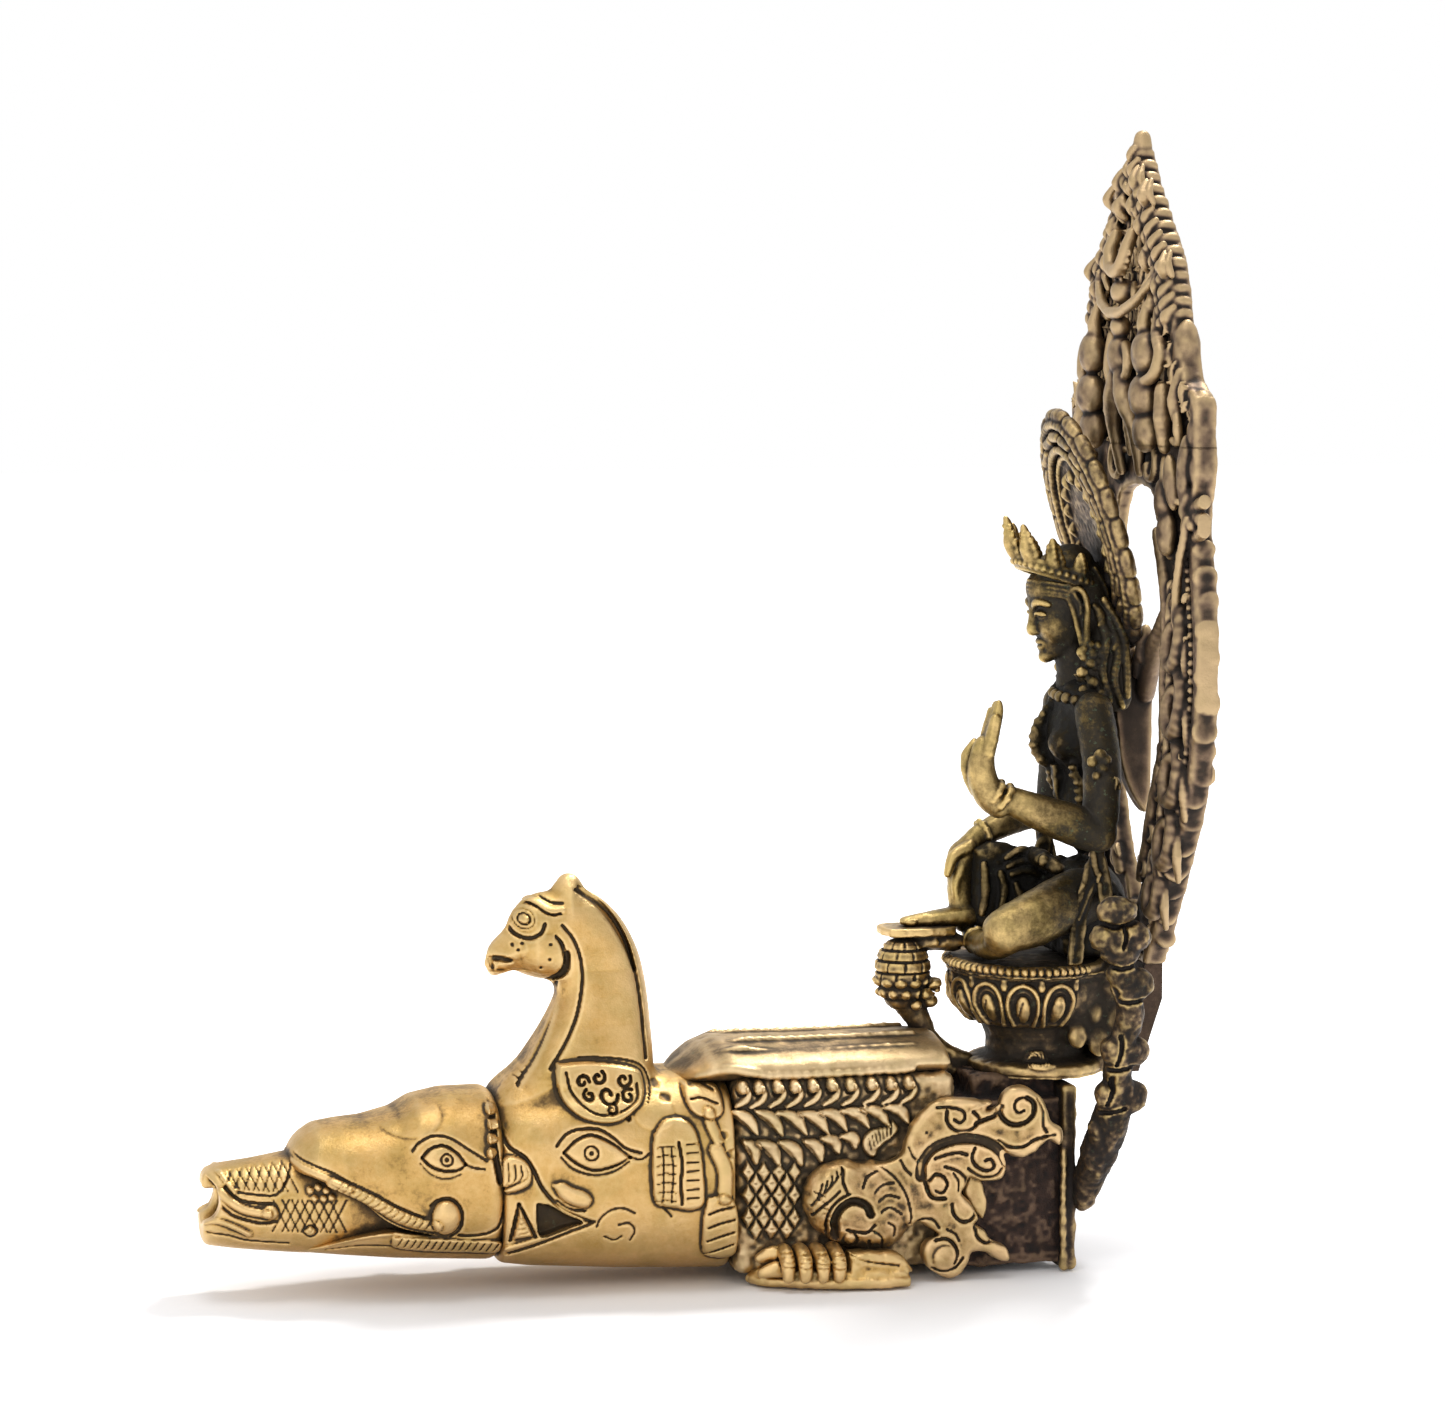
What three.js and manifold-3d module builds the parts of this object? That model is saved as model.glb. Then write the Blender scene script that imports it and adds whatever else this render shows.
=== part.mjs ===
// Brass makara water spout with a seated goddess and a leaf-shaped aureole.
// Lengths are in millimetres. X runs from the nozzle to the back, Y away from the near side, Z up.

import * as THREE from 'three';
import { mergeVertices } from 'three/addons/utils/BufferGeometryUtils.js';
import Module from 'manifold-3d';

const wasm = await Module();
wasm.setup();

// Fits shared by all pieces
const clearance = 0.3;
const overrun = 4;
const castWall = 3.2;

// Trunk, the scaled body between the heads and the inlet box
const trunkLength = 50;
const trunkHeight = 43;
const trunkWidth = 39;
const trunkLift = 3;
const trunkEdge = 6;
const coverSetback = 1;
const coverHeight = 5.5;
const coverOverhang = 6;

// Makara heads and nozzle
const rearHeadLength = 50.7;
const rearHeadHeight = 42;
const rearHeadWidth = 42;
const rearHeadLift = 4;
const plaqueThickness = 1.5;
const frontHeadLength = 44.8;
const frontHeadHeight = 37.4;
const frontHeadWidth = 37;
const frontHeadLift = 6;
const lipRadius = 1.3;
const tuskRadius = 2.3;
const nozzleLength = 44;
const nozzleHeight = 22;
const nozzleWidth = 23;
const nozzleLift = 11;
const nozzleSeat = 25.5;
const nozzleBore = 8;
const ductHeight = 26;
const ductWidth = 25;
const ductLift = 12;

// Bird on the rear head
const birdHeight = 48;
const birdLength = 37;
const birdWidth = 26;
const birdFront = 52;
const crestRadius = 2.4;

// Feet and haunch scrolls
const footLength = 34;
const footWidth = 13;
const footHeight = 4;
const footFront = 2.6;
const toeLength = 15;
const toeRadius = 1.7;
const toeCount = 5;
const scrollThickness = 4.6;
const haunchRadius = 11.5;
const haunchX = 26.6;
const haunchLift = 17.6;
const tailLength = 47;
const tailHeight = 42;

// Inlet box, back stand and its side branches
const boxLength = 23;
const boxHeight = 37;
const boxWidth = 35;
const boxLift = 2;
const boxWall = 2.6;
const standThickness = 4.2;
const standWidth = 40;
const standHeight = 42;
const legWidth = 7.5;
const archHeight = 25;
const branchReach = 17;
const branchRise = 66;
const branchRadius = 3.4;
const lobeRadius = 5.4;

// Lotus throne
const discRadiusX = 15.4;
const discRadiusY = 17;
const discThickness = 2.8;
const waistRadius = 11.6;
const waistHeight = 8.8;
const bowlRadius = 19.2;
const bowlFoot = 12.4;
const bowlHeight = 11.4;
const bowlStretch = 1.06;
const bowlBack = 15.6;
const petalCount = 14;
const petalRadius = 3.6;
const seatThickness = 2.2;
const seatBead = 0.9;
const seatBeadCount = 44;

// Foot rest in front of the throne
const budRadius = 6.4;
const budHeight = 15.4;
const budX = -29.7;
const budY = 4;
const restLength = 15.4;
const restWidth = 13;
const restThickness = 1.8;
const stemRadius = 2.3;

// Goddess
const backX = 10;
const torsoHeight = 47;
const torsoDepth = 17.4;
const torsoWidth = 25.4;
const hipHeight = 15.6;
const hipDepth = 21;
const hipWidth = 27;
const headHeight = 24;
const headDepth = 18.4;
const headWidth = 15.6;
const neckRadius = 4.4;
const armRadius = 3.9;
const legRadius = 6.6;
const handLength = 20.5;
const crownBand = 2.6;
const crownTilt = 0.34;
const crownSpike = 2;
const earringRadius = 2.5;
const ribbonRadius = 1.7;

// Nimbus, web and aureole
const nimbusHeight = 51;
const nimbusWidth = 38;
const nimbusThickness = 1.8;
const nimbusLean = 0.315;
const nimbusBeadCount = 20;
const webThickness = 5;
const webHeight = 37;
const webArm = 1.6;
const aureoleSetback = 23.5;
const aureoleLift = 67;
const aureoleHeight = 181.5;
const aureoleWidth = 93.4;
const aureoleThickness = 3.2;
const borderWidth = 3.4;
const borderThickness = 5.4;
const holeHeight = 94;
const holeWidth = 48;
const holeLift = 13;
const crestLift = 116;
const reliefRadius = 4.4;
const finialRadius = 2.3;
const tangWidth = 17;
const tangThickness = 4;

// Facets round a hull, a limb and a bead
const hullSides = 16;
const limbSides = 6;
const beadSides = 6;

const polished = new THREE.MeshStandardMaterial({ color: 0xb08a4a, roughness: 0.35, metalness: 1 });
const aged = new THREE.MeshStandardMaterial({ color: 0x6d5838, roughness: 0.55, metalness: 0.9 });
const dark = new THREE.MeshStandardMaterial({ color: 0x3c3226, roughness: 0.7, metalness: 0.8 });
const rusty = new THREE.MeshStandardMaterial({ color: 0x4a3226, roughness: 0.85, metalness: 0.5 });

// Solids

function solid(geometry) {
  const bare = geometry.clone();
  bare.deleteAttribute('normal');
  bare.deleteAttribute('uv');
  const merged = mergeVertices(bare, clearance / 1000);
  return new wasm.Manifold(new wasm.Mesh({
    numProp: 3,
    vertProperties: new Float32Array(merged.attributes.position.array),
    triVerts: new Uint32Array(merged.index.array),
  }));
}

function surface(body) {
  const mesh = body.getMesh();
  const geometry = new THREE.BufferGeometry();
  geometry.setAttribute('position', new THREE.BufferAttribute(new Float32Array(mesh.vertProperties), 3));
  geometry.setIndex(new THREE.BufferAttribute(new Uint32Array(mesh.triVerts), 1));
  geometry.computeVertexNormals();
  return geometry;
}

function join(...geometries) {
  return geometries.map(solid).reduce((whole, next) => whole.add(next));
}

// The largest connected body that is left after a cut
function largest(body) {
  return body.decompose().sort((a, b) => b.volume() - a.volume())[0];
}

// The same body with its skin pushed outwards by the clearance
function grown(body) {
  const geometry = surface(body);
  const position = geometry.attributes.position;
  const normal = geometry.attributes.normal;
  for (let i = 0; i < position.count; i++) {
    position.setXYZ(
      i,
      position.getX(i) + normal.getX(i) * clearance,
      position.getY(i) + normal.getY(i) * clearance,
      position.getZ(i) + normal.getZ(i) * clearance,
    );
  }
  return solid(geometry);
}

function clearOf(body, ...neighbours) {
  return largest(neighbours.reduce((rest, next) => rest.subtract(grown(next)), body));
}

function mirrored(geometry) {
  const copy = (geometry.index ? geometry.clone() : mergeVertices(geometry)).scale(1, -1, 1);
  const index = copy.index;
  for (let i = 0; i < index.count; i += 3) {
    const first = index.getX(i);
    index.setX(i, index.getX(i + 2));
    index.setX(i + 2, first);
  }
  copy.computeVertexNormals();
  return copy;
}

function block(x0, x1, y0, y1, z0, z1) {
  return new THREE.BoxGeometry(x1 - x0, y1 - y0, z1 - z0)
    .translate((x0 + x1) / 2, (y0 + y1) / 2, (z0 + z1) / 2);
}

function ball(x, y, z, rx, ry = rx, rz = rx, sides = beadSides) {
  return new THREE.SphereGeometry(1, sides, Math.round(sides * 0.7))
    .rotateX(Math.PI / 2)
    .scale(rx, ry, rz)
    .translate(x, y, z);
}

// A closed skin over rings that all have the same number of points
function skin(rings) {
  const count = rings[0].length;
  const points = rings.flat();
  const triangles = [];
  for (let r = 0; r + 1 < rings.length; r++) {
    for (let i = 0; i < count; i++) {
      const a = r * count + i;
      const b = r * count + (i + 1) % count;
      triangles.push(a, b, b + count, a, b + count, a + count);
    }
  }
  const middles = [rings[0], rings[rings.length - 1]].map((ring) => {
    const sum = ring.reduce((total, point) => total.add(point), new THREE.Vector3());
    return sum.divideScalar(count);
  });
  const last = (rings.length - 1) * count;
  for (let i = 0; i < count; i++) {
    const next = (i + 1) % count;
    triangles.push(points.length, next, i);
    triangles.push(points.length + 1, last + i, last + next);
  }
  const all = [...points, ...middles];
  const geometry = new THREE.BufferGeometry().setFromPoints(all);
  geometry.setIndex(signedVolume(all, triangles) < 0 ? triangles.reverse() : triangles);
  geometry.computeVertexNormals();
  return geometry;
}

function signedVolume(points, triangles) {
  let sum = 0;
  for (let i = 0; i < triangles.length; i += 3) {
    const [a, b, c] = [points[triangles[i]], points[triangles[i + 1]], points[triangles[i + 2]]];
    sum += a.dot(b.clone().cross(c));
  }
  return sum;
}

// A point list on a superellipse: squareness 2 is an ellipse, more is boxier
function oval(halfWidth, halfHeight, squareness, sides) {
  return Array.from({ length: sides }, (_, i) => {
    const turn = (i / sides) * Math.PI * 2;
    const across = Math.cos(turn);
    const up = Math.sin(turn);
    return [
      halfWidth * Math.sign(across) * Math.abs(across) ** (2 / squareness),
      halfHeight * Math.sign(up) * Math.abs(up) ** (2 / squareness),
    ];
  });
}

// A hull lofted along X. Rows of shares: along, low, high, wide
function hullAlong(size, shares, squareness) {
  return skin(shares.map(([along, low, high, wide]) => {
    const x = size.start + along * size.length;
    const middle = size.lift + (low + high) / 2 * size.height;
    const half = (high - low) / 2 * size.height;
    return oval(wide * size.width / 2, half, squareness, hullSides)
      .map(([y, z]) => new THREE.Vector3(x, y, middle + z));
  }));
}

// A hull lofted upwards. Rows of shares: up, forward place, depth, width
function hullUp(size, shares, squareness) {
  return skin(shares.map(([up, forward, deep, wide]) => {
    const z = size.lift + up * size.height;
    const x = size.x + forward * size.depth;
    return oval(deep * size.depth / 2, wide * size.width / 2, squareness, hullSides)
      .map(([dx, dy]) => new THREE.Vector3(x + dx, dy, z));
  }));
}

// A limb through hand-placed points, thick as the radii say, with rounded ends
function limb(points, radii, sides = limbSides, flat = 1, steps = Math.ceil((points.length - 1) * 1.5)) {
  const curve = new THREE.CatmullRomCurve3(points.map((p) => new THREE.Vector3(...p)));
  const rings = [];
  let side = new THREE.Vector3(0, 1, 0);
  const ringAt = (centre, tangent, radius) => {
    side = side.clone().addScaledVector(tangent, -side.dot(tangent)).normalize();
    const up = new THREE.Vector3().crossVectors(tangent, side);
    rings.push(oval(radius, radius * flat, 2, sides)
      .map(([a, b]) => centre.clone().addScaledVector(side, a).addScaledVector(up, b)));
  };
  for (let i = 0; i <= steps; i++) {
    const t = i / steps;
    const place = t * (radii.length - 1);
    const low = Math.min(Math.floor(place), radii.length - 2);
    const radius = THREE.MathUtils.lerp(radii[low], radii[low + 1], place - low);
    const centre = curve.getPoint(t);
    const tangent = curve.getTangent(t);
    if (i === 0) ringAt(centre.clone().addScaledVector(tangent, -radius * 0.7), tangent, radius * 0.6);
    ringAt(centre, tangent, radius);
    if (i === steps) ringAt(centre.clone().addScaledVector(tangent, radius * 0.7), tangent, radius * 0.6);
  }
  return skin(rings);
}

function outlineShape(points) {
  return new THREE.Shape(points.map(([a, b]) => new THREE.Vector2(a, b)));
}

// An outline in Y and Z, thick along X from the given place
function plateAcross(shape, x, thickness) {
  return new THREE.ExtrudeGeometry(shape, { depth: thickness, bevelEnabled: false, curveSegments: 8 })
    .rotateX(Math.PI / 2)
    .rotateZ(Math.PI / 2)
    .translate(x, 0, 0);
}

// An outline in X and Z, thick along Y from the given place
function plateAlong(shape, y, thickness, bevel) {
  return new THREE.ExtrudeGeometry(shape, {
    depth: thickness - bevel * 2,
    bevelEnabled: bevel > 0,
    bevelThickness: bevel,
    bevelSize: bevel,
    bevelOffset: -bevel,
    bevelSegments: 2,
    curveSegments: 2,
  }).rotateX(Math.PI / 2).translate(0, y + thickness - bevel, 0);
}

const pieces = new THREE.Group();

function addPiece(group, name, body, material) {
  const mesh = new THREE.Mesh(body.isBufferGeometry ? body : surface(body), material);
  mesh.name = name;
  group.add(mesh);
  return mesh;
}

// Spout, from the trunk forward to the nozzle

const spout = new THREE.Group();
const rearHeadStart = -clearance - rearHeadLength;
const frontHeadStart = rearHeadStart - clearance - frontHeadLength;
const nozzleStart = frontHeadStart + nozzleSeat - nozzleLength;
const trunkTop = trunkLift + trunkHeight;
const coverLength = coverOverhang + trunkLength - coverSetback;

function nozzleBody() {
  const shares = [
    [0, 0.1, 0.72, 0.58],
    [0.05, 0.04, 0.8, 0.7],
    [0.12, 0.03, 0.83, 0.72],
    [0.26, 0.0, 0.92, 0.84],
    [0.44, 0.0, 1, 0.95],
    [0.72, 0.06, 0.88, 1],
    [1, 0.14, 0.7, 0.94],
  ];
  const size = {
    start: nozzleStart, length: nozzleLength, lift: nozzleLift, height: nozzleHeight, width: nozzleWidth,
  };
  return solid(hullAlong(size, shares, 2.4));
}

function nozzleDuct() {
  const middle = nozzleLift + nozzleHeight * 0.42;
  return solid(block(
    nozzleStart - overrun,
    nozzleStart + nozzleLength + overrun,
    -nozzleBore / 2,
    nozzleBore / 2,
    middle - nozzleBore / 2,
    middle + nozzleBore / 2,
  ));
}

// The upper lip's rim runs back to a round tusk. Rows of shares: along, up, out
const lipShares = [
  [0.05, 0.7, 0.6], [0.12, 0.57, 0.8], [0.26, 0.46, 0.9], [0.45, 0.36, 0.93], [0.68, 0.28, 0.96],
];

function frontHeadBody() {
  const snoutShares = [
    [0, 0.59, 0.7, 0.42],
    [0.04, 0.5, 0.765, 0.64],
    [0.14, 0.45, 0.82, 0.82],
    [0.3, 0.38, 0.845, 0.91],
    [0.46, 0.31, 0.87, 0.94],
    [0.62, 0.21, 0.965, 0.96],
    [0.8, 0.08, 1, 0.98],
    [1, 0.01, 1, 1],
  ];
  const jawShares = [
    [0.02, 0.09, 0.16, 0.5],
    [0.2, 0.065, 0.23, 0.72],
    [0.5, 0.03, 0.31, 0.88],
    [0.85, 0.005, 0.4, 0.95],
  ];
  const size = {
    start: frontHeadStart,
    length: frontHeadLength,
    lift: frontHeadLift,
    height: frontHeadHeight,
    width: frontHeadWidth,
  };
  const lips = [-1, 1].flatMap((side) => {
    const points = lipShares.map(([along, up, out]) => [
      size.start + along * size.length, side * out * size.width / 2, size.lift + up * size.height,
    ]);
    const [x, y, z] = points[points.length - 1];
    return [limb(points, [lipRadius, lipRadius], 5, 1, 4), ball(x, y, z + tuskRadius, tuskRadius)];
  });
  return join(hullAlong(size, snoutShares, 2.5), hullAlong(size, jawShares, 2.5), ...lips);
}

function rearHeadBody(inset, extra) {
  const shares = [
    [0, 0.06, 0.965, 0.87],
    [0.15, 0.05, 0.99, 0.91],
    [0.4, 0.03, 1, 0.95],
    [0.7, 0.01, 1, 0.98],
    [1, 0, 1, 1],
  ];
  const size = {
    start: rearHeadStart - extra,
    length: rearHeadLength + extra * 2,
    lift: rearHeadLift + inset,
    height: rearHeadHeight - inset * 2,
    width: rearHeadWidth - inset * 2,
  };
  return solid(hullAlong(size, shares, 3));
}

// Plaques that stand out from the rear head's sides and a sunk mouth, in shares of its length and height
const wingShares = [
  [0.245, 0.965], [0.25, 0.94], [0.288, 0.871], [0.408, 0.807], [0.517, 0.824], [0.607, 0.921],
  [0.612, 0.965],
];
const earShares = [
  [0.629, 0.748], [0.686, 0.824], [0.797, 0.798], [0.84, 0.595], [0.844, 0.367], [0.647, 0.388],
];
const pawShares = [[0.872, 0.41], [0.943, 0.426], [0.99, 0.317], [0.99, 0.095], [0.864, 0.095]];
const mouthShares = [[0.128, 0.41], [0.233, 0.371], [0.331, 0.3], [0.233, 0.248], [0.136, 0.238]];

function headPlate(shares, out, thickness) {
  const points = shares.map(([along, up]) => [
    rearHeadStart + along * rearHeadLength, rearHeadLift + up * rearHeadHeight,
  ]);
  return plateAlong(outlineShape(points), -out * rearHeadWidth / 2, thickness, 0);
}

function rearHeadSides() {
  const foot = rearHeadLift + wingShares[3][1] * rearHeadHeight;
  const lean = new THREE.Matrix4().makeShear(0, 0, 0, 0, 0, 0.45);
  const wing = headPlate(wingShares, 0.945, plaqueThickness * 2)
    .translate(0, 0, -foot)
    .applyMatrix4(lean)
    .translate(0, 0, foot);
  const plates = [
    wing, headPlate(earShares, 1.02, plaqueThickness * 2), headPlate(pawShares, 1.04, plaqueThickness * 2),
  ];
  const mouth = headPlate(mouthShares, 1, rearHeadWidth * 0.1);
  const both = (geometries) => [...geometries, ...geometries.map((geometry) => mirrored(geometry))];
  return rearHeadBody(0, 0).add(join(...both(plates))).subtract(join(...both([mouth])));
}

function headDuct(start, end) {
  return solid(block(start, end, -ductWidth / 2, ductWidth / 2, ductLift, ductLift + ductHeight));
}

function birdBody() {
  const neckShares = [
    [-0.12, 0.23, 0.94, 1.03],
    [0.04, 0.23, 0.94, 1.05],
    [0.1, 0.24, 0.83, 0.98],
    [0.17, 0.305, 0.69, 0.83],
    [0.25, 0.338, 0.62, 0.75],
    [0.36, 0.356, 0.57, 0.67],
    [0.5, 0.35, 0.52, 0.58],
    [0.62, 0.34, 0.45, 0.54],
    [0.75, 0.25, 0.39, 0.46],
  ];
  const headShares = [
    [0, 0.5, 0.55, 0.1],
    [0.06, 0.495, 0.64, 0.2],
    [0.18, 0.48, 0.76, 0.36],
    [0.36, 0.455, 0.83, 0.49],
    [0.6, 0.44, 0.84, 0.54],
    [0.8, 0.44, 0.74, 0.54],
    [0.9, 0.44, 0.62, 0.48],
    [0.945, 0.44, 0.53, 0.36],
  ];
  const birdStart = -birdFront;
  const neck = hullUp({
    x: birdStart + birdLength * 0.33, lift: trunkTop, height: birdHeight, depth: birdLength, width: birdWidth,
  }, neckShares, 2);
  const head = hullAlong({
    start: birdStart, length: birdLength, lift: trunkTop, height: birdHeight, width: birdWidth,
  }, headShares, 2);
  const crestX = birdStart + birdLength * 0.5;
  const crestZ = trunkTop + birdHeight * 0.875;
  const crest = ball(crestX, 0, crestZ, crestRadius * 1.2, crestRadius, crestRadius);
  return join(neck, head, crest);
}

const trunkOutline = new THREE.Shape();
const trunkHalf = trunkWidth / 2;
trunkOutline.moveTo(-trunkHalf + trunkEdge, trunkLift);
trunkOutline.lineTo(trunkHalf - trunkEdge, trunkLift);
trunkOutline.quadraticCurveTo(trunkHalf, trunkLift, trunkHalf, trunkLift + trunkEdge);
trunkOutline.lineTo(trunkHalf, trunkTop - trunkEdge / 2);
trunkOutline.lineTo(trunkHalf - trunkEdge / 2, trunkTop);
trunkOutline.lineTo(-trunkHalf + trunkEdge / 2, trunkTop);
trunkOutline.lineTo(-trunkHalf, trunkTop - trunkEdge / 2);
trunkOutline.lineTo(-trunkHalf, trunkLift + trunkEdge);
trunkOutline.quadraticCurveTo(-trunkHalf, trunkLift, -trunkHalf + trunkEdge, trunkLift);

const nozzle = nozzleBody();
const frontHead = frontHeadBody();
const rearHead = rearHeadSides();
const trunk = solid(plateAcross(trunkOutline, 0, trunkLength));
const nozzleEnd = nozzleStart + nozzleLength;
const trunkDuct = solid(block(
  -overrun,
  trunkLength + overrun,
  -trunkHalf + castWall * 1.3,
  trunkHalf - castWall * 1.3,
  trunkLift + castWall,
  trunkTop - castWall,
));

addPiece(spout, 'spout_nozzle', nozzle.subtract(nozzleDuct()), polished);
addPiece(
  spout,
  'front_makara_head',
  clearOf(frontHead, nozzle).subtract(headDuct(nozzleEnd, frontHeadStart + frontHeadLength + overrun)),
  polished,
);
addPiece(
  spout,
  'rear_makara_head',
  rearHead.subtract(rearHeadBody(castWall, overrun)),
  polished,
);
addPiece(spout, 'bird_bust', clearOf(birdBody(), rearHead), polished);
addPiece(spout, 'makara_trunk', trunk.subtract(trunkDuct), aged);

// Cover with three ridges, ramped at its front end
function coverBody() {
  const half = trunkHalf - trunkEdge / 2;
  const ridgeShares = [
    [1, 0], [1, 0.16], [0.84, 0.3], [0.72, 0.22], [0.56, 0.6], [0.44, 0.52],
    [0.28, 0.86], [0.14, 0.8], [0, 1],
  ];
  const right = ridgeShares.map(([across, up]) => [across * half, up * coverHeight]);
  const left = right.slice(0, -1).reverse().map(([across, up]) => [-across, up]);
  const ridged = plateAcross(outlineShape([...right, ...left]), -coverOverhang, coverLength)
    .translate(0, 0, trunkTop + clearance);
  const ramp = block(-coverLength, 0, -trunkWidth, trunkWidth, 0, trunkHeight)
    .rotateY(Math.PI / 5)
    .translate(-coverOverhang, 0, trunkTop);
  return solid(ridged).subtract(solid(ramp));
}

addPiece(spout, 'trunk_cover', clearOf(coverBody(), rearHead, birdBody()), aged);

// Feet: a sole plate with five toes
function footBody() {
  const end = footFront + footLength;
  const inner = -trunkHalf + footWidth * 0.3;
  const outer = -trunkHalf - footWidth * 0.72;
  const sole = new THREE.Shape();
  sole.moveTo(footFront + footHeight, inner);
  sole.lineTo(end, inner);
  sole.quadraticCurveTo(end + footHeight / 2, outer, end - footHeight, outer);
  sole.lineTo(footFront + footLength * 0.4, outer);
  sole.quadraticCurveTo(footFront, outer + footHeight / 2, footFront, inner - footHeight);
  const plate = new THREE.ExtrudeGeometry(sole, { depth: footHeight, bevelEnabled: false, curveSegments: 4 });
  const toes = Array.from({ length: toeCount }, (_, i) => {
    const y = outer + toeRadius + (i * (footWidth - toeRadius * 2)) / toeCount;
    const z = footHeight + toeRadius * 0.7;
    const tip = footFront + toeRadius * (1 + i * 0.3);
    const middle = tip + toeLength / 2;
    return limb([[tip, y, z - toeRadius / 2], [middle, y, z + toeRadius / 2], [tip + toeLength, y, z]],
      [toeRadius * 0.8, toeRadius, toeRadius * 0.9], limbSides, 1, 1);
  });
  return join(plate, ...toes);
}

const nearFoot = largest(footBody().subtract(grown(trunk)));
addPiece(spout, 'near_foot', nearFoot, polished);
addPiece(spout, 'far_foot', mirrored(surface(nearFoot)), polished);

// Haunch disc with a spiral and the scrolled tail plaque behind it, one plate on each side
const scrollFace = -trunkHalf - clearance - scrollThickness;

function curl(x, z, radius, turns, start, direction) {
  const steps = Math.round(turns * 7);
  const points = Array.from({ length: steps + 1 }, (_, i) => {
    const share = i / steps;
    const reach = radius * (1 - share * 0.72);
    const turn = start + direction * share * turns * Math.PI * 2;
    return [x + reach * Math.cos(turn), scrollFace + scrollThickness / 2, z + reach * Math.sin(turn)];
  });
  const thick = radius * 0.26;
  return limb(points, [thick, thick, thick * 0.7], 5, 1, steps);
}

function scrollBody() {
  const tailX = haunchX;
  const tailZ = haunchLift;
  const place = ([along, up]) => new THREE.Vector2(tailX + along * tailLength, tailZ + up * tailHeight);
  const upperShares = [
    [-0.02, 0.2], [0.1, 0.26], [0.2, 0.44], [0.3, 0.55], [0.45, 0.57], [0.6, 0.5], [0.72, 0.53],
    [0.86, 0.55], [0.93, 0.42], [1, 0.34], [0.88, 0.27], [0.72, 0.2], [0.62, 0.3], [0.68, 0.16], [0.6, 0.08],
    [0.46, 0.04], [0.5, -0.08], [0.6, -0.2], [0.74, -0.31], [0.66, -0.35], [0.5, -0.28], [0.46, -0.36],
    [0.34, -0.38], [0.24, -0.28], [0.28, -0.18], [0.2, -0.12], [0.08, -0.16],
  ];
  const outline = new THREE.Shape();
  const points = upperShares.map(place);
  outline.moveTo(points[0].x, points[0].y);
  outline.splineThru(points.slice(1));
  const bevel = scrollThickness * 0.3;
  const tail = plateAlong(outline, scrollFace + scrollThickness * 0.3, scrollThickness * 0.7, 0);
  const haunch = new THREE.CylinderGeometry(haunchRadius * 0.86, haunchRadius, scrollThickness, 24)
    .rotateX(Math.PI)
    .translate(haunchX, scrollFace + scrollThickness / 2, haunchLift);
  const curls = [
    curl(haunchX - haunchRadius * 0.1, haunchLift - haunchRadius * 0.2, haunchRadius * 0.52, 1.2, 1, 1),
    curl(tailX + tailLength * 0.76, tailZ + tailHeight * 0.46, tailHeight * 0.12, 1.3, 2.4, -1),
    curl(tailX + tailLength * 0.6, tailZ + tailHeight * 0.2, tailHeight * 0.09, 1.1, 2, -1),
    curl(tailX + tailLength * 0.37, tailZ - tailHeight * 0.25, tailHeight * 0.08, 1.1, 4, 1),
  ];
  return join(haunch, tail, ...curls);
}

const nearScroll = clearOf(scrollBody(), nearFoot);
addPiece(spout, 'near_haunch_scroll', nearScroll, polished);
addPiece(spout, 'far_haunch_scroll', mirrored(surface(nearScroll)), polished);

// Inlet box: four walls, open to the duct in front and to the back
const boxStart = trunkLength + clearance;
const boxEnd = boxStart + boxLength;
const boxHalf = boxWidth / 2;
const boxOuter = solid(block(boxStart, boxEnd, -boxHalf, boxHalf, boxLift, boxLift + boxHeight));
const boxInner = solid(block(
  boxStart - overrun,
  boxEnd + overrun,
  -boxHalf + boxWall,
  boxHalf - boxWall,
  boxLift + boxWall,
  boxLift + boxHeight - boxWall,
));
addPiece(spout, 'inlet_box', boxOuter.subtract(boxInner), rusty);

// Back stand: an upright plate on two legs, with the inlet window above the arch
function standBody() {
  const half = standWidth / 2;
  const inner = half - legWidth;
  const outline = outlineShape([
    [-half, 0], [-inner, 0], [-inner, archHeight * 0.62], [-inner * 0.6, archHeight * 0.9], [0, archHeight],
    [inner * 0.6, archHeight * 0.9], [inner, archHeight * 0.62], [inner, 0], [half, 0],
    [half, standHeight], [-half, standHeight],
  ]);
  return solid(plateAcross(outline, boxEnd + clearance, standThickness));
}

const stand = standBody();
const standX = boxEnd + clearance + standThickness / 2;
addPiece(spout, 'back_stand', stand, dark);

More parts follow.
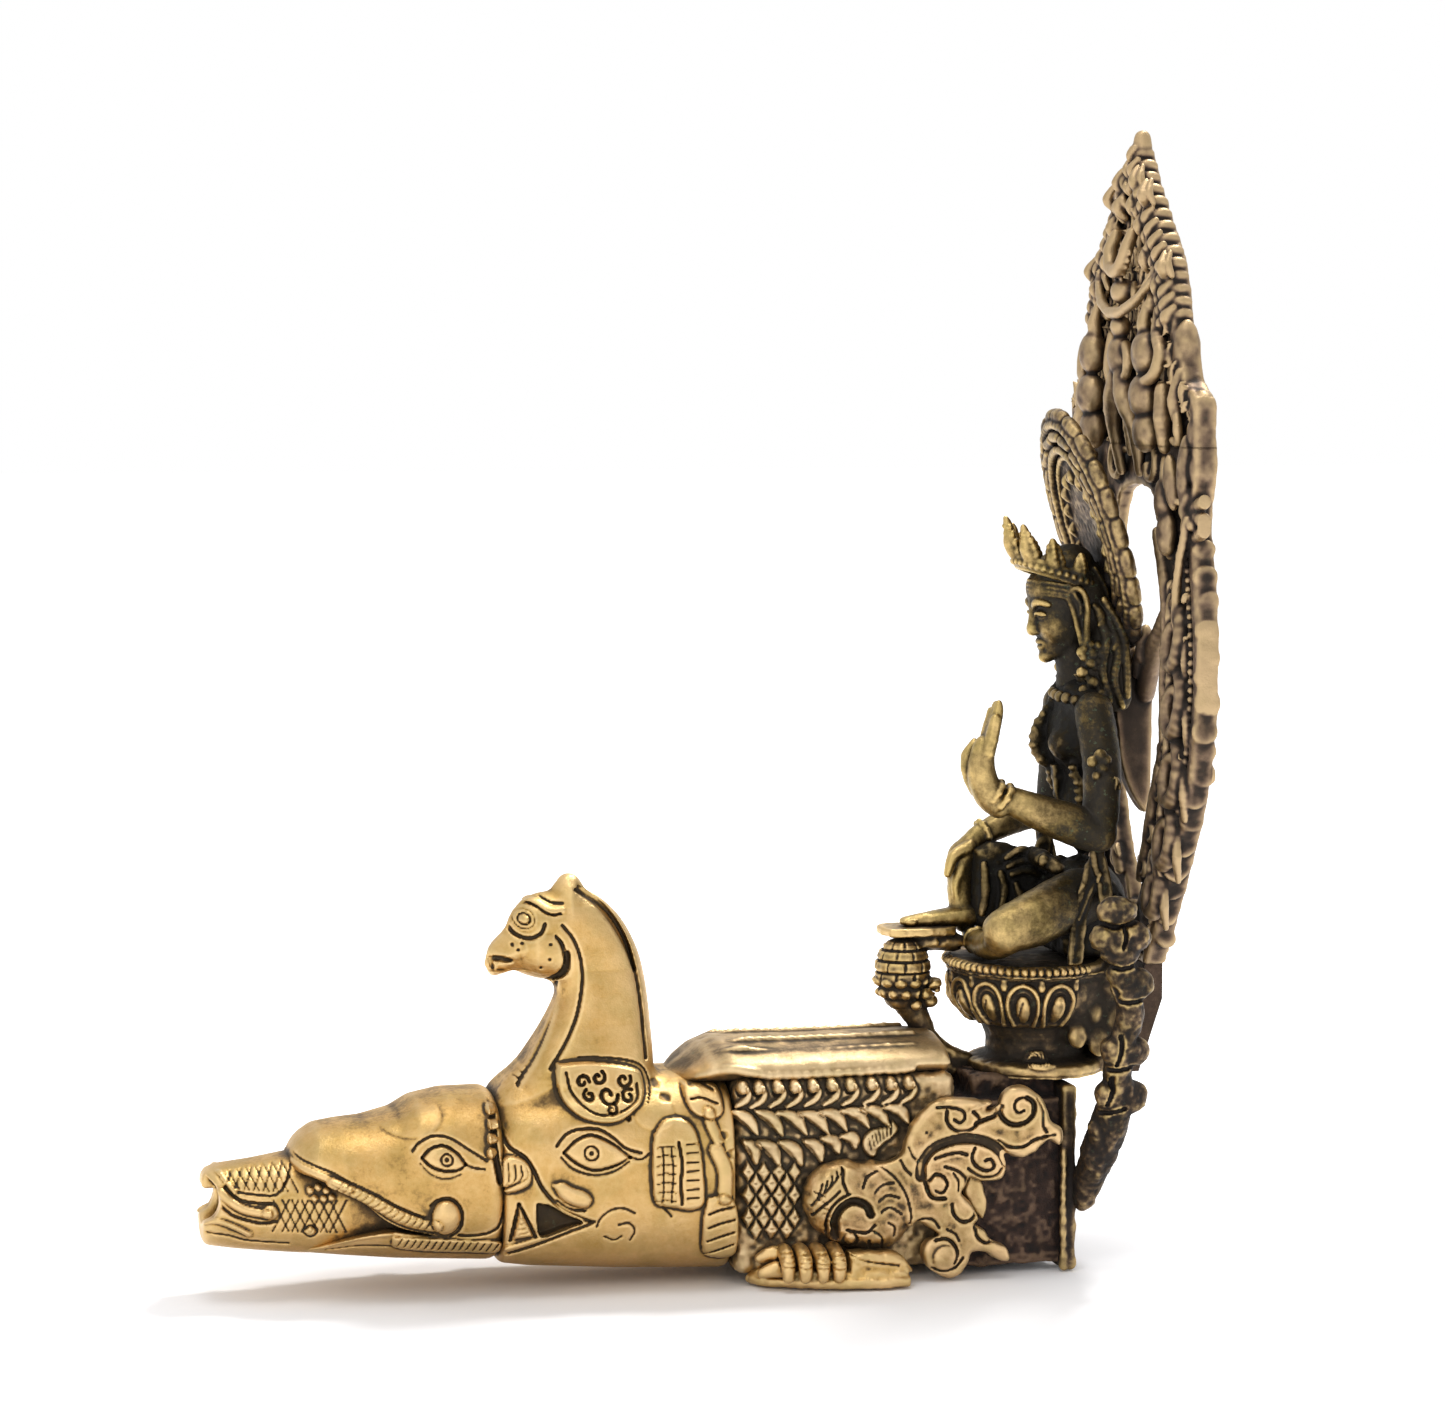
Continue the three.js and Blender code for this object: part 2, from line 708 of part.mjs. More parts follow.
// Side branches: a stem with leaf lobes that leaves the stand low down and reaches up past the throne
function branchBody() {
  const foot = -standWidth / 2;
  const lift = archHeight * 0.6;
  const stemShares = [[0, 0], [0.25, 0.16], [0.55, 0.4], [0.8, 0.62], [0.95, 0.82], [1, 1]];
  const leanShares = [0, 0.3, 0.55, 0.75, 0.9, 1];
  const lean = standThickness * 1.6;
  const stem = stemShares.map(([out, up], i) => [
    standX + leanShares[i] * lean, foot - out * branchReach - branchRadius, lift + up * branchRise,
  ]);
  const lobeShares = [[0.4, 0.85, 0.9], [0.56, 0.86, 0.95], [0.8, 0.9, 0.95], [0.92, 1.1, 1], [1, 0.8, 0.8]];
  const curve = new THREE.CatmullRomCurve3(stem.map((p) => new THREE.Vector3(...p)));
  const lobes = lobeShares.map(([along, wide, tall]) => {
    const p = curve.getPoint(along);
    return ball(p.x, p.y, p.z, lobeRadius * wide, lobeRadius * 0.8, lobeRadius * 0.72 * tall);
  });
  const radii = [1.15, 1, 0.9, 0.9, 0.8].map((share) => share * branchRadius);
  return join(limb(stem, radii, limbSides, 1, stem.length), ...lobes);
}

const nearBranch = clearOf(branchBody(), stand);
addPiece(spout, 'near_side_branch', nearBranch, dark);
addPiece(spout, 'far_side_branch', mirrored(surface(nearBranch)), dark);
pieces.add(spout);

// Throne, built up from the top edge of the stand

const throne = new THREE.Group();
const throneX = boxEnd;
const discLift = standHeight + clearance;
throne.position.set(throneX, 0, discLift);

function ovalPlate(radiusX, radiusY, thickness, z) {
  return new THREE.CylinderGeometry(1, 1, thickness, 36)
    .rotateX(Math.PI / 2)
    .scale(radiusX, radiusY, 1)
    .translate(0, 0, z + thickness / 2);
}

const waistLift = discThickness + clearance;
const bowlLift = waistLift + waistHeight + clearance;
const seatLift = bowlLift + bowlHeight + clearance;
const seatTop = seatLift + seatThickness;

function waistBody() {
  const profileShares = [[0, 0], [1, 0], [0.92, 0.25], [0.86, 0.6], [0.95, 1], [0, 1]];
  const points = profileShares.map(([out, up]) => new THREE.Vector2(out * waistRadius, up * waistHeight));
  return solid(new THREE.LatheGeometry(points, 28).rotateX(Math.PI / 2).translate(0, 0, waistLift));
}

// The bowl's wall swells into two staggered rows of petals
function bowlBody() {
  const profileShares = [
    [0, 0, 0.1], [0.12, 0.3, 0.6], [0.34, 0.72, 1], [0.58, 0.9, 0.9], [0.8, 0.94, 0.5], [1, 1, 0],
  ];
  const steps = petalCount * 3;
  const rings = profileShares.map(([up, out, swell]) => Array.from({ length: steps }, (_, i) => {
    const turn = (i / steps) * Math.PI * 2;
    const bulge = Math.abs(Math.cos(turn * petalCount / 2)) * swell * petalRadius * 0.42;
    const radius = THREE.MathUtils.lerp(bowlFoot, bowlRadius - petalRadius * 0.2, out) + bulge;
    return new THREE.Vector3(
      radius * Math.cos(turn), radius * bowlStretch * Math.sin(turn), bowlLift + up * bowlHeight,
    );
  }));
  const back = block(bowlBack, bowlRadius * 2, -bowlRadius * 2, bowlRadius * 2, 0, bowlLift + bowlHeight * 2);
  return solid(skin(rings)).subtract(solid(back));
}

function seatBody() {
  const steps = seatBeadCount * 2;
  const rim = Array.from({ length: steps }, (_, i) => {
    const turn = (i / steps) * Math.PI * 2;
    const radius = bowlRadius + (i % 2 === 0 ? seatBead : 0);
    return [radius * Math.cos(turn), radius * bowlStretch * Math.sin(turn)];
  });
  const plate = new THREE.ExtrudeGeometry(outlineShape(rim), { depth: seatThickness, bevelEnabled: false })
    .translate(0, 0, seatLift);
  const back = block(bowlBack, bowlRadius * 2, -bowlRadius * 2, bowlRadius * 2, 0, seatTop * 2);
  return solid(plate).subtract(solid(back));
}

addPiece(throne, 'throne_base_disc', ovalPlate(discRadiusX, discRadiusY, discThickness, 0), aged);
addPiece(throne, 'throne_waist', waistBody(), dark);
addPiece(throne, 'lotus_bowl', bowlBody(), aged);
addPiece(throne, 'seat_plate', seatBody(), aged);

// Foot rest: a bud on a curved stem that grows from the base disc, under a thin plate
const restTop = seatTop + legRadius;
const budTop = restTop - restThickness - clearance;

function budBody() {
  const profileShares = [
    [0, 0], [0.42, 0], [0.8, 0.16], [0.9, 0.36], [0.86, 0.46], [1, 0.58], [0.98, 0.78], [0.72, 0.95],
    [0.5, 1], [0, 1],
  ];
  const points = profileShares.map(([out, up]) => new THREE.Vector2(out * budRadius, up * budHeight));
  return solid(new THREE.LatheGeometry(points, 16).rotateX(Math.PI / 2))
    .translate([budX, budY, budTop - budHeight]);
}

const bud = budBody();
const stemFoot = solid(ovalPlate(discRadiusX, discRadiusY, discThickness, 0));
const budFootZ = budTop - budHeight;
const stemX = coverLength - coverOverhang - throneX + clearance * 2 + stemRadius * 1.1;
const coverRise = trunkTop + clearance + coverHeight - discLift;
const stemBody = solid(limb([
  [budX + budRadius * 0.3, budY, budFootZ + stemRadius],
  [stemX, budY * 0.9, coverRise + stemRadius],
  [-discRadiusX * 1.12, budY * 0.6, discThickness * 0.9],
  [-discRadiusX * 0.86, budY * 0.3, discThickness * 0.4],
], [stemRadius * 0.9, stemRadius, stemRadius, stemRadius * 0.9]));
const restPlate = solid(ovalPlate(restLength / 2, restWidth / 2, restThickness, 0)
  .translate(budX + restLength * 0.2, budY + restWidth * 0.2, restTop - restThickness));

addPiece(throne, 'foot_rest_bud', bud, aged);
addPiece(throne, 'foot_rest_stem', clearOf(stemBody, bud, stemFoot), dark);
addPiece(throne, 'foot_plate', restPlate, aged);
pieces.add(throne);

// Goddess, seated on the seat plate and facing the nozzle

const goddess = new THREE.Group();
goddess.position.set(throneX, 0, discLift + seatTop + clearance);
const restHeight = legRadius - clearance;
const waistZ = hipHeight + clearance;
const neckZ = waistZ + torsoHeight;

const hips = solid(hullUp({ x: backX, lift: 0, height: hipHeight, depth: hipDepth, width: hipWidth }, [
  [0, 0, 0.92, 0.94],
  [0.35, 0, 1, 1],
  [0.72, 0.01, 0.86, 0.88],
  [1, 0, 0.7, 0.74],
], 2));

const torsoShares = [
  [0, 0, 0.84, 0.76],
  [0.16, 0.05, 0.7, 0.62],
  [0.34, 0.03, 0.76, 0.66],
  [0.55, -0.04, 0.92, 0.84],
  [0.68, -0.09, 1, 0.92],
  [0.82, -0.03, 0.9, 1],
  [0.9, 0.01, 0.72, 0.96],
  [0.96, 0.04, 0.56, 0.6],
  [1, 0.05, 0.48, 0.36],
];
const torsoHull = hullUp({
  x: backX, lift: waistZ, height: torsoHeight, depth: torsoDepth, width: torsoWidth,
}, torsoShares, 2);
const breastX = backX - torsoDepth * 0.37;
const breastZ = waistZ + torsoHeight * 0.68;
const breastRadius = torsoWidth * 0.17;
const torso = join(
  torsoHull,
  ball(breastX, -torsoWidth * 0.2, breastZ, breastRadius),
  ball(breastX, torsoWidth * 0.2, breastZ, breastRadius),
);

// Head with a plain oval face, a small nose, ears and a knot of hair
function headBody() {
  const base = neckZ + clearance;
  const middle = base + headHeight * 0.72;
  const skull = ball(backX - headDepth * 0.15, 0, middle, headDepth / 2, headWidth / 2, headHeight * 0.4, 10);
  const jaw = ball(backX - headDepth * 0.3, 0, base + headHeight * 0.44,
    headDepth * 0.37, headWidth * 0.39, headHeight * 0.34, 9);
  const neck = limb([
    [backX + neckRadius * 0.2, 0, base + neckRadius * 0.7],
    [backX, 0, base + headHeight * 0.4],
  ], [neckRadius, neckRadius], 9);
  const nose = limb([
    [backX - headDepth * 0.6, 0, middle],
    [backX - headDepth * 0.69, 0, base + headHeight * 0.53],
  ], [headWidth * 0.05, headWidth * 0.08], 4);
  const ears = [-1, 1].map((side) => limb([
    [backX, side * headWidth * 0.48, middle + headHeight * 0.04],
    [backX - headDepth * 0.03, side * headWidth * 0.5, base + headHeight * 0.42],
  ], [headWidth * 0.1, headWidth * 0.08], 5));
  const knot = ball(backX + headDepth * 0.22, 0, middle + headHeight * 0.26,
    headDepth * 0.24, headWidth * 0.3, headHeight * 0.2);
  return join(skull, jaw, neck, nose, ...ears, knot);
}

const head = headBody();

// Crown: a tilted band round the hair with leaf spikes that lean forward.
// Rows of shares: turn from the front, and the tip's place forward, across and up from the band
const spikeShares = [
  [0, 0.66, 0, 0.8], [0.2, 0.5, 0.53, 0.68], [0.4, 0.18, 1.06, 0.44], [0.58, -0.14, 1.16, 0.26],
];

function crownBody() {
  const bandZ = neckZ + headHeight * 0.945;
  const bandX = backX - headDepth * 0.28;
  const tilted = (geometry) => geometry.rotateY(crownTilt).translate(bandX, 0, bandZ);
  const band = new THREE.CylinderGeometry(headWidth * 0.52, headWidth * 0.49, crownBand, 12)
    .rotateX(Math.PI / 2)
    .scale(1.18, 1, 1);
  const spike = (side, [turn, ahead, across, up]) => {
    const angle = turn * Math.PI;
    const foot = [-Math.cos(angle) * headWidth * 0.56, side * Math.sin(angle) * headWidth * 0.48, 0];
    const tip = [-ahead * headDepth, side * across * headWidth / 2, up * headHeight * 0.5];
    return limb([foot, tip], [crownSpike, crownSpike * 0.3], 4, 1, 1);
  };
  const spikes = spikeShares.flatMap((row) => (row[0] > 0 ? [-1, 1] : [1]).map((side) => spike(side, row)));
  return join(...[band, ...spikes].map(tilted));
}

const crown = clearOf(crownBody(), head);

// Arms and legs run through hand-placed joints
function placed(points) {
  return points.map(([forward, across, up]) => [
    backX + forward * torsoDepth, across * torsoWidth, up * (waistZ + torsoHeight),
  ]);
}

const shoulderShares = [0.02, 0.5, 0.91];
const leftElbowShares = [-0.17, 0.69, 0.48];
const leftWristShares = [-1.35, 0.61, 0.6];
const rightElbowShares = [-0.2, 0.72, 0.48];
const rightWristShares = [-0.95, 0.5, 0.42];

function leftSide([forward, across, up]) {
  return [forward, -across, up];
}

function handBody(wrist, tip, spread) {
  const [wx, wy, wz] = wrist;
  const reach = [tip[0] - wx, tip[1] - wy, tip[2] - wz];
  const at = (share, bow, side) => [
    wx + reach[0] * share + bow * spread[0],
    wy + reach[1] * share + side,
    wz + reach[2] * share + bow * spread[1],
  ];
  const palm = limb(
    [at(0, 0, 0), at(0.25, 0.7, 0), at(0.5, 1, 0)],
    [armRadius * 0.55, armRadius * 0.72, armRadius * 0.6],
  );
  const fingers = [-1.5, -0.5, 0.5, 1.5].map((row) => {
    const side = row * armRadius * 0.33;
    const end = 1 - Math.abs(row) * 0.07;
    return limb([at(0.4, 1, side), at(0.7, 0.7, side), at(end, 0, side)],
      [armRadius * 0.26, armRadius * 0.23, armRadius * 0.15], 4, 1, 2);
  });
  const thumb = limb([at(0.2, 0.7, 0), at(0.34, 1.7, 0), at(0.56, 1.9, 0)],
    [armRadius * 0.32, armRadius * 0.28, armRadius * 0.2], 4, 1, 2);
  return [palm, ...fingers, thumb];
}

function leftArmBody() {
  const [shoulder, elbow, wrist] = placed([shoulderShares, leftElbowShares, leftWristShares].map(leftSide));
  const outer = placed([leftSide([0, 0.66, 0.74])])[0];
  const upper = limb([shoulder, outer, elbow], [armRadius, armRadius * 0.92, armRadius * 0.84]);
  const lower = limb([elbow, wrist], [armRadius * 0.86, armRadius * 0.6]);
  const tip = [wrist[0], wrist[1], wrist[2] + handLength];
  const bracelet = ball(...wrist, armRadius * 0.78, armRadius * 0.9, armRadius * 0.9);
  return join(upper, lower, bracelet, ...handBody(wrist, tip, [-armRadius * 1.1, 0]));
}

function rightArmBody() {
  const [shoulder, elbow, wrist] = placed([shoulderShares, rightElbowShares, rightWristShares]);
  const outer = placed([[0, 0.66, 0.74]])[0];
  const upper = limb([shoulder, outer, elbow], [armRadius, armRadius * 0.92, armRadius * 0.84]);
  const lower = limb([elbow, wrist], [armRadius * 0.86, armRadius * 0.6]);
  const tip = [wrist[0] - handLength * 0.62, wrist[1], wrist[2] - handLength * 0.5];
  const bracelet = ball(...wrist, armRadius * 0.8, armRadius * 0.9, armRadius * 0.9);
  return join(upper, lower, bracelet, ...handBody(wrist, tip, [0, armRadius * 0.8]));
}

const kneeFoldShares = [[-0.1, -0.3], [-0.72, -0.5], [-1.42, -0.67]];
const shinFoldShares = [[-1.36, -0.62, 0.72], [-1.24, -0.1, 0.58], [-1.24, 0.16, 0.48], [-1.36, 0.36, 0.4]];

function leftLegBody() {
  const thigh = kneeFoldShares.map(([forward, across]) => [
    backX + forward * torsoDepth, across * torsoWidth, legRadius * 1.2,
  ]);
  const shin = shinFoldShares.map(([forward, across, up]) => [
    backX + forward * torsoDepth, across * torsoWidth, up * legRadius + clearance,
  ]);
  return join(
    limb(thigh, [legRadius, legRadius * 0.96, legRadius * 0.84]),
    limb(shin, [legRadius * 0.7, legRadius * 0.56, legRadius * 0.44, legRadius * 0.34]),
  );
}

const thighShares = [[0, 0.28, 1.4], [-0.6, 0.36, 2.1], [-1.18, 0.42, 2.66]];
const shinShares = [[-1.24, 0.42, 2.6], [-1.44, 0.4, 1.9], [-1.5, 0.37, 1.5]];

function rightLegBody() {
  const place = ([forward, across, up]) => [
    backX + forward * torsoDepth, across * torsoWidth, up * legRadius,
  ];
  const footRadius = legRadius * 0.32;
  const ankle = place(shinShares[2]);
  const footZ = restHeight + clearance + footRadius;
  const footPoints = [0, 0.5, 1].map((share) => [
    ankle[0] - share * legRadius * 1.7, ankle[1] - share * footRadius, footZ - clearance * share,
  ]);
  return join(
    limb(thighShares.map(place), [legRadius, legRadius * 0.92, legRadius * 0.76]),
    limb(shinShares.map(place), [legRadius * 0.76, legRadius * 0.56, legRadius * 0.46]),
    limb(footPoints, [footRadius, footRadius, footRadius * 0.8]),
  );
}

const restSolid = restPlate.translate([0, 0, -seatTop - clearance]);
const leftLegWhole = clearOf(leftLegBody(), hips, torso);
const seatCut = solid(block(-hipDepth * 3, hipDepth * 3, -hipWidth * 2, hipWidth * 2, -hipHeight, 0));
const leftLeg = largest(leftLegWhole.subtract(seatCut));
const rightLeg = clearOf(rightLegBody(), hips, torso, leftLeg, restSolid);
const leftArm = clearOf(leftArmBody(), torso, leftLeg);
const rightArm = clearOf(rightArmBody(), torso, rightLeg);

addPiece(goddess, 'hips', hips, aged);
addPiece(goddess, 'torso', clearOf(torso, head), aged);
addPiece(goddess, 'head', head, aged);
addPiece(goddess, 'crown', crown, aged);
addPiece(goddess, 'left_arm', leftArm, aged);
addPiece(goddess, 'right_arm', rightArm, aged);
addPiece(goddess, 'left_leg', leftLeg, aged);
addPiece(goddess, 'right_leg', rightLeg, aged);

// Earrings under the ears
function earring(side) {
  const y = side * (headWidth * 0.52 + earringRadius * 0.3);
  const z = neckZ + headHeight * 0.36;
  return join(
    ball(backX, y, z, earringRadius, earringRadius * 0.6, earringRadius),
    ball(backX, y, z - earringRadius * 1.2, earringRadius * 0.55, earringRadius * 0.5, earringRadius * 0.8),
  );
}

addPiece(goddess, 'near_earring', clearOf(earring(-1), head, torso), dark);
addPiece(goddess, 'far_earring', clearOf(earring(1), head, torso), dark);

// Ribbons that hang from the belt down to the seat on both sides
function ribbon() {
  return solid(limb([
    [backX + hipDepth * 0.2, -hipWidth * 0.42, hipHeight * 1.5],
    [backX + hipDepth * 0.12, -hipWidth * 0.62, hipHeight * 0.9],
    [backX - hipDepth * 0.05, -hipWidth * 0.73, hipHeight * 0.45],
    [backX - hipDepth * 0.2, -hipWidth * 0.73, ribbonRadius * 0.5],
  ], [ribbonRadius, ribbonRadius * 1.2, ribbonRadius * 1.2, ribbonRadius * 0.9], limbSides, 0.6));
}

const nearRibbon = clearOf(ribbon().subtract(seatCut), hips, torso, leftLeg, leftArm);
addPiece(goddess, 'near_ribbon', nearRibbon, dark);
const farWhole = solid(mirrored(surface(ribbon()))).subtract(seatCut);
const farRibbon = clearOf(farWhole, hips, torso, rightLeg, rightArm);
addPiece(goddess, 'far_ribbon', farRibbon, dark);
pieces.add(goddess);

// Aureole, a leaf-shaped ring behind the goddess

const aureole = new THREE.Group();
const aureoleX = throneX + aureoleSetback;
aureole.position.set(aureoleX, 0, aureoleLift);

const sideShares = [
  [0, 0.28], [0.063, 0.475], [0.143, 0.69], [0.221, 0.874], [0.319, 0.98], [0.402, 1], [0.495, 0.94],
  [0.554, 0.89], [0.61, 0.95], [0.66, 0.93], [0.7, 0.92], [0.72, 0.775], [0.785, 0.63], [0.86, 0.512],
  [0.917, 0.3], [0.954, 0.16], [1, 0.02],
];
const holeShares = [
  [0, 0.1], [0.13, 0.4], [0.26, 0.64], [0.4, 0.88], [0.62, 0.96], [0.73, 1], [0.8, 0.87], [0.86, 0.7],
  [0.975, 0.48], [1, 0.1],
];

function symmetric(shares, halfWidth, lift, height) {
  const near = shares.map(([up, wide]) => [-wide * halfWidth, lift + up * height]);
  const far = shares.map(([up, wide]) => [wide * halfWidth, lift + up * height]).reverse();
  return outlineShape([...near, ...far]);
}

function leafShape(inset) {
  return symmetric(sideShares, aureoleWidth / 2 - inset, inset * 0.6, aureoleHeight - inset * 2.4);
}

const reach = aureoleHeight * 2;
const holeCut = solid(plateAcross(
  symmetric(holeShares, holeWidth / 2, holeLift, holeHeight), -overrun * 3, overrun * 6,
));
const leaf = solid(plateAcross(leafShape(borderWidth + clearance), 0, aureoleThickness)).subtract(holeCut);
const borderOuter = solid(plateAcross(leafShape(0), 0, borderThickness));
const borderInner = solid(plateAcross(leafShape(borderWidth), -overrun, borderThickness + overrun * 2));
const border = borderOuter.subtract(borderInner).translate([aureoleThickness - borderThickness, 0, 0]);
const nearHalf = solid(block(-reach, reach, -reach, -clearance / 2, -reach, crestLift - clearance / 2));
const aboveCrest = solid(block(-reach, reach, -reach, reach, crestLift + clearance / 2, reach));
const nearSide = solid(block(-reach, reach, -reach, -clearance / 2, -reach, reach));

// Relief on the front face: rows of rounded bosses with shares for height, place across and size
const bandReliefShares = [
  [0.08, 0.3, 0.9], [0.17, 0.52, 1], [0.27, 0.68, 1.1], [0.38, 0.74, 1.1], [0.48, 0.72, 1.1],
  [0.58, 0.66, 1.2],
];
const crestReliefShares = [
  [0.68, 0, 1.2], [0.72, 0.26, 1.2], [0.69, 0.56, 1.2], [0.79, 0, 1.3], [0.79, 0.32, 1], [0.87, 0, 1.1],
];

function boss(up, across, scale) {
  return ball(0, -across * aureoleWidth / 2, up * aureoleHeight,
    reliefRadius * scale * 0.9, reliefRadius * scale * 0.8, reliefRadius * scale * 1.2);
}

function keepFront(body) {
  return body.subtract(solid(block(aureoleThickness / 2, overrun * 4, -reach, reach, -reach, reach)));
}

const bandBosses = keepFront(join(...bandReliefShares.map((row) => boss(...row)))).subtract(holeCut);
const nearBand = largest(leaf.intersect(nearHalf).add(bandBosses).subtract(grown(border)));
const crestBosses = keepFront(join(...crestReliefShares.flatMap(([up, across, scale]) => (
  across === 0 ? [boss(up, across, scale)] : [boss(up, across, scale), boss(up, -across, scale)]
))));
const crestPanel = largest(leaf.intersect(aboveCrest).add(crestBosses.intersect(aboveCrest))
  .subtract(grown(border)).subtract(holeCut));
const nearBorder = largest(border.intersect(nearSide));

addPiece(aureole, 'near_aureole_band', nearBand, dark);
addPiece(aureole, 'far_aureole_band', mirrored(surface(nearBand)), dark);
addPiece(aureole, 'crest_panel', crestPanel, dark);
addPiece(aureole, 'near_flame_border', nearBorder, aged);
addPiece(aureole, 'far_flame_border', mirrored(surface(nearBorder)), aged);

const finial = clearOf(
  solid(ball(0, 0, aureoleHeight + finialRadius * 0.3, finialRadius, finialRadius, finialRadius * 1.5)
    .translate(aureoleThickness - borderThickness / 2, 0, 0)),
  border,
  crestPanel,
);
addPiece(aureole, 'finial', finial, polished);

// Tang: a strip from the foot of the aureole forward and down to the throne's base disc
const tangTop = -clearance;
const discEdge = throneX + discRadiusX + clearance - aureoleX;
const tangFoot = discLift - aureoleLift;
const tang = solid(new THREE.ExtrudeGeometry(outlineShape([
  [0, tangTop], [tangThickness, tangTop], [tangThickness, tangTop - tangThickness * 2],
  [discEdge + tangThickness * 1.6, tangFoot], [discEdge, tangFoot], [discEdge, tangFoot + discThickness],
  [discEdge + tangThickness * 0.6, tangFoot + discThickness * 3],
]), { depth: tangWidth, bevelEnabled: false }).rotateX(Math.PI / 2).translate(0, tangWidth / 2, 0));
addPiece(aureole, 'aureole_tang', tang, dark);

// Web between the goddess's back and the aureole, with two arms that rise to the bands
const webFront = throneX + backX + torsoDepth * 0.46 + clearance - aureoleX;
const webLift = discLift + seatTop + waistZ + torsoHeight * 0.34 - aureoleLift;

function webBody() {
  const plate = block(
    webFront, aureoleThickness, -webThickness / 2, webThickness / 2, webLift, webLift + webHeight,
  );
  const arms = [-1, 1].map((side) => limb([
    [aureoleThickness / 2, side * webThickness * 0.3, webLift + webHeight * 0.7],
    [aureoleThickness / 2, side * holeWidth * 0.25, webLift + webHeight * 0.9],
    [aureoleThickness / 2, side * holeWidth * 0.5, webLift + webHeight * 1.3],
  ], [webArm, webArm * 0.9, webArm * 0.8]));
  return join(plate, ...arms);
}

const torsoInAureole = torso.translate([throneX - aureoleX, 0, discLift + seatTop + clearance - aureoleLift]);
const farBand = solid(mirrored(surface(nearBand)));
addPiece(aureole, 'back_web', clearOf(webBody(), torsoInAureole, nearBand, farBand), dark);

// Nimbus: an oval plate that leans forward over the head, with a ring of block beads on its front
function nimbusFrame(geometry) {
  return geometry
    .rotateY(-nimbusLean)
    .translate(webFront + nimbusThickness, 0, webLift + webHeight + clearance + nimbusThickness);
}

function nimbusBody() {
  const steps = 48;
  const points = Array.from({ length: steps }, (_, i) => {
    const turn = (i / steps) * Math.PI * 2;
    const scallop = 1 + 0.03 * Math.cos(turn * 12);
    return [
      nimbusWidth / 2 * Math.sin(turn) * scallop,
      nimbusHeight / 2 * (1 - Math.cos(turn) * scallop),
    ];
  });
  return solid(nimbusFrame(plateAcross(outlineShape(points), 0, nimbusThickness)));
}

// A flat ring with block beads round its outer edge
function nimbusRing() {
  const oval = (share, bead) => Array.from({ length: nimbusBeadCount * 4 }, (_, i) => {
    const turn = ((i + 0.5) / (nimbusBeadCount * 4)) * Math.PI * 2;
    const size = share + (i % 4 < 2 ? bead : 0);
    return new THREE.Vector2(
      nimbusWidth / 2 * size * Math.sin(turn),
      nimbusHeight / 2 * (1 - Math.cos(turn) * size),
    );
  });
  const ringShape = new THREE.Shape(oval(0.82, 0.07));
  ringShape.holes.push(new THREE.Path(oval(0.74, 0).filter((_, i) => i % 3 === 0).reverse()));
  const front = -nimbusThickness - clearance;
  return solid(nimbusFrame(plateAcross(ringShape, front, nimbusThickness)));
}

const nimbus = nimbusBody();
const ring = nimbusRing();
const crownInAureole = crown.translate([throneX - aureoleX, 0, discLift + seatTop + clearance - aureoleLift]);
const headInAureole = head.translate([throneX - aureoleX, 0, discLift + seatTop + clearance - aureoleLift]);
addPiece(
  aureole,
  'head_nimbus',
  clearOf(nimbus, nearBand, farBand, crestPanel, headInAureole, crownInAureole),
  dark,
);
addPiece(aureole, 'nimbus_bead_ring', clearOf(ring, nimbus, headInAureole, crownInAureole), aged);
pieces.add(aureole);

// The origin is the centre of the footprint on the ground
pieces.updateMatrixWorld(true);
const bounds = new THREE.Box3().setFromObject(pieces, true);
pieces.position.set(
  -(bounds.min.x + bounds.max.x) / 2,
  -(bounds.min.y + bounds.max.y) / 2,
  -bounds.min.z,
);

export default pieces;
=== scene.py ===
"""Brass makara spout statue with a seated goddess: the visible skin over the CAD frame.

Each piece is a distance field, shaped like clay, with lines drawn on the photo embossed on its skin.
"""
import math
import bpy
import numpy as np
import openvdb
from mathutils import Matrix, Vector


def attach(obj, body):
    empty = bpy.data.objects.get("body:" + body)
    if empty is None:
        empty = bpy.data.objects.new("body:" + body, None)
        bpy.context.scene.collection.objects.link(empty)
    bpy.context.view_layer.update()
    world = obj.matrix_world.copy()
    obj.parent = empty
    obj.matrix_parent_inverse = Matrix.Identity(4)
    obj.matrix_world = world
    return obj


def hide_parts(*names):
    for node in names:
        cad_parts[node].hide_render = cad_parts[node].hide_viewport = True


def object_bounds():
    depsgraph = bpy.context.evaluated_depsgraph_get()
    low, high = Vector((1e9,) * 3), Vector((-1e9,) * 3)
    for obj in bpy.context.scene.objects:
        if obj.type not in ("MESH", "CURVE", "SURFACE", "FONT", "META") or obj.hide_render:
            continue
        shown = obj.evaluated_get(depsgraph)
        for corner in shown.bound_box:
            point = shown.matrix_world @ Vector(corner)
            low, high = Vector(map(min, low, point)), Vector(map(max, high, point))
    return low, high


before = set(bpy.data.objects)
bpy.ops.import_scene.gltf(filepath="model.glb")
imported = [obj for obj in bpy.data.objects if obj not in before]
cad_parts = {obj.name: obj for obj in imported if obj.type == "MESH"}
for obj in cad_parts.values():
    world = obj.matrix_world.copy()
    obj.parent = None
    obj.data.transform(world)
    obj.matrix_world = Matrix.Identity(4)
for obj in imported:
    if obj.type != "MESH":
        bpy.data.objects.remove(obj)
cad_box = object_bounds()
MM = 0.001

# The grid's cell and the reach of the distance field on both sides of the skin, in mm
CELL = 0.3
BAND = 3.0

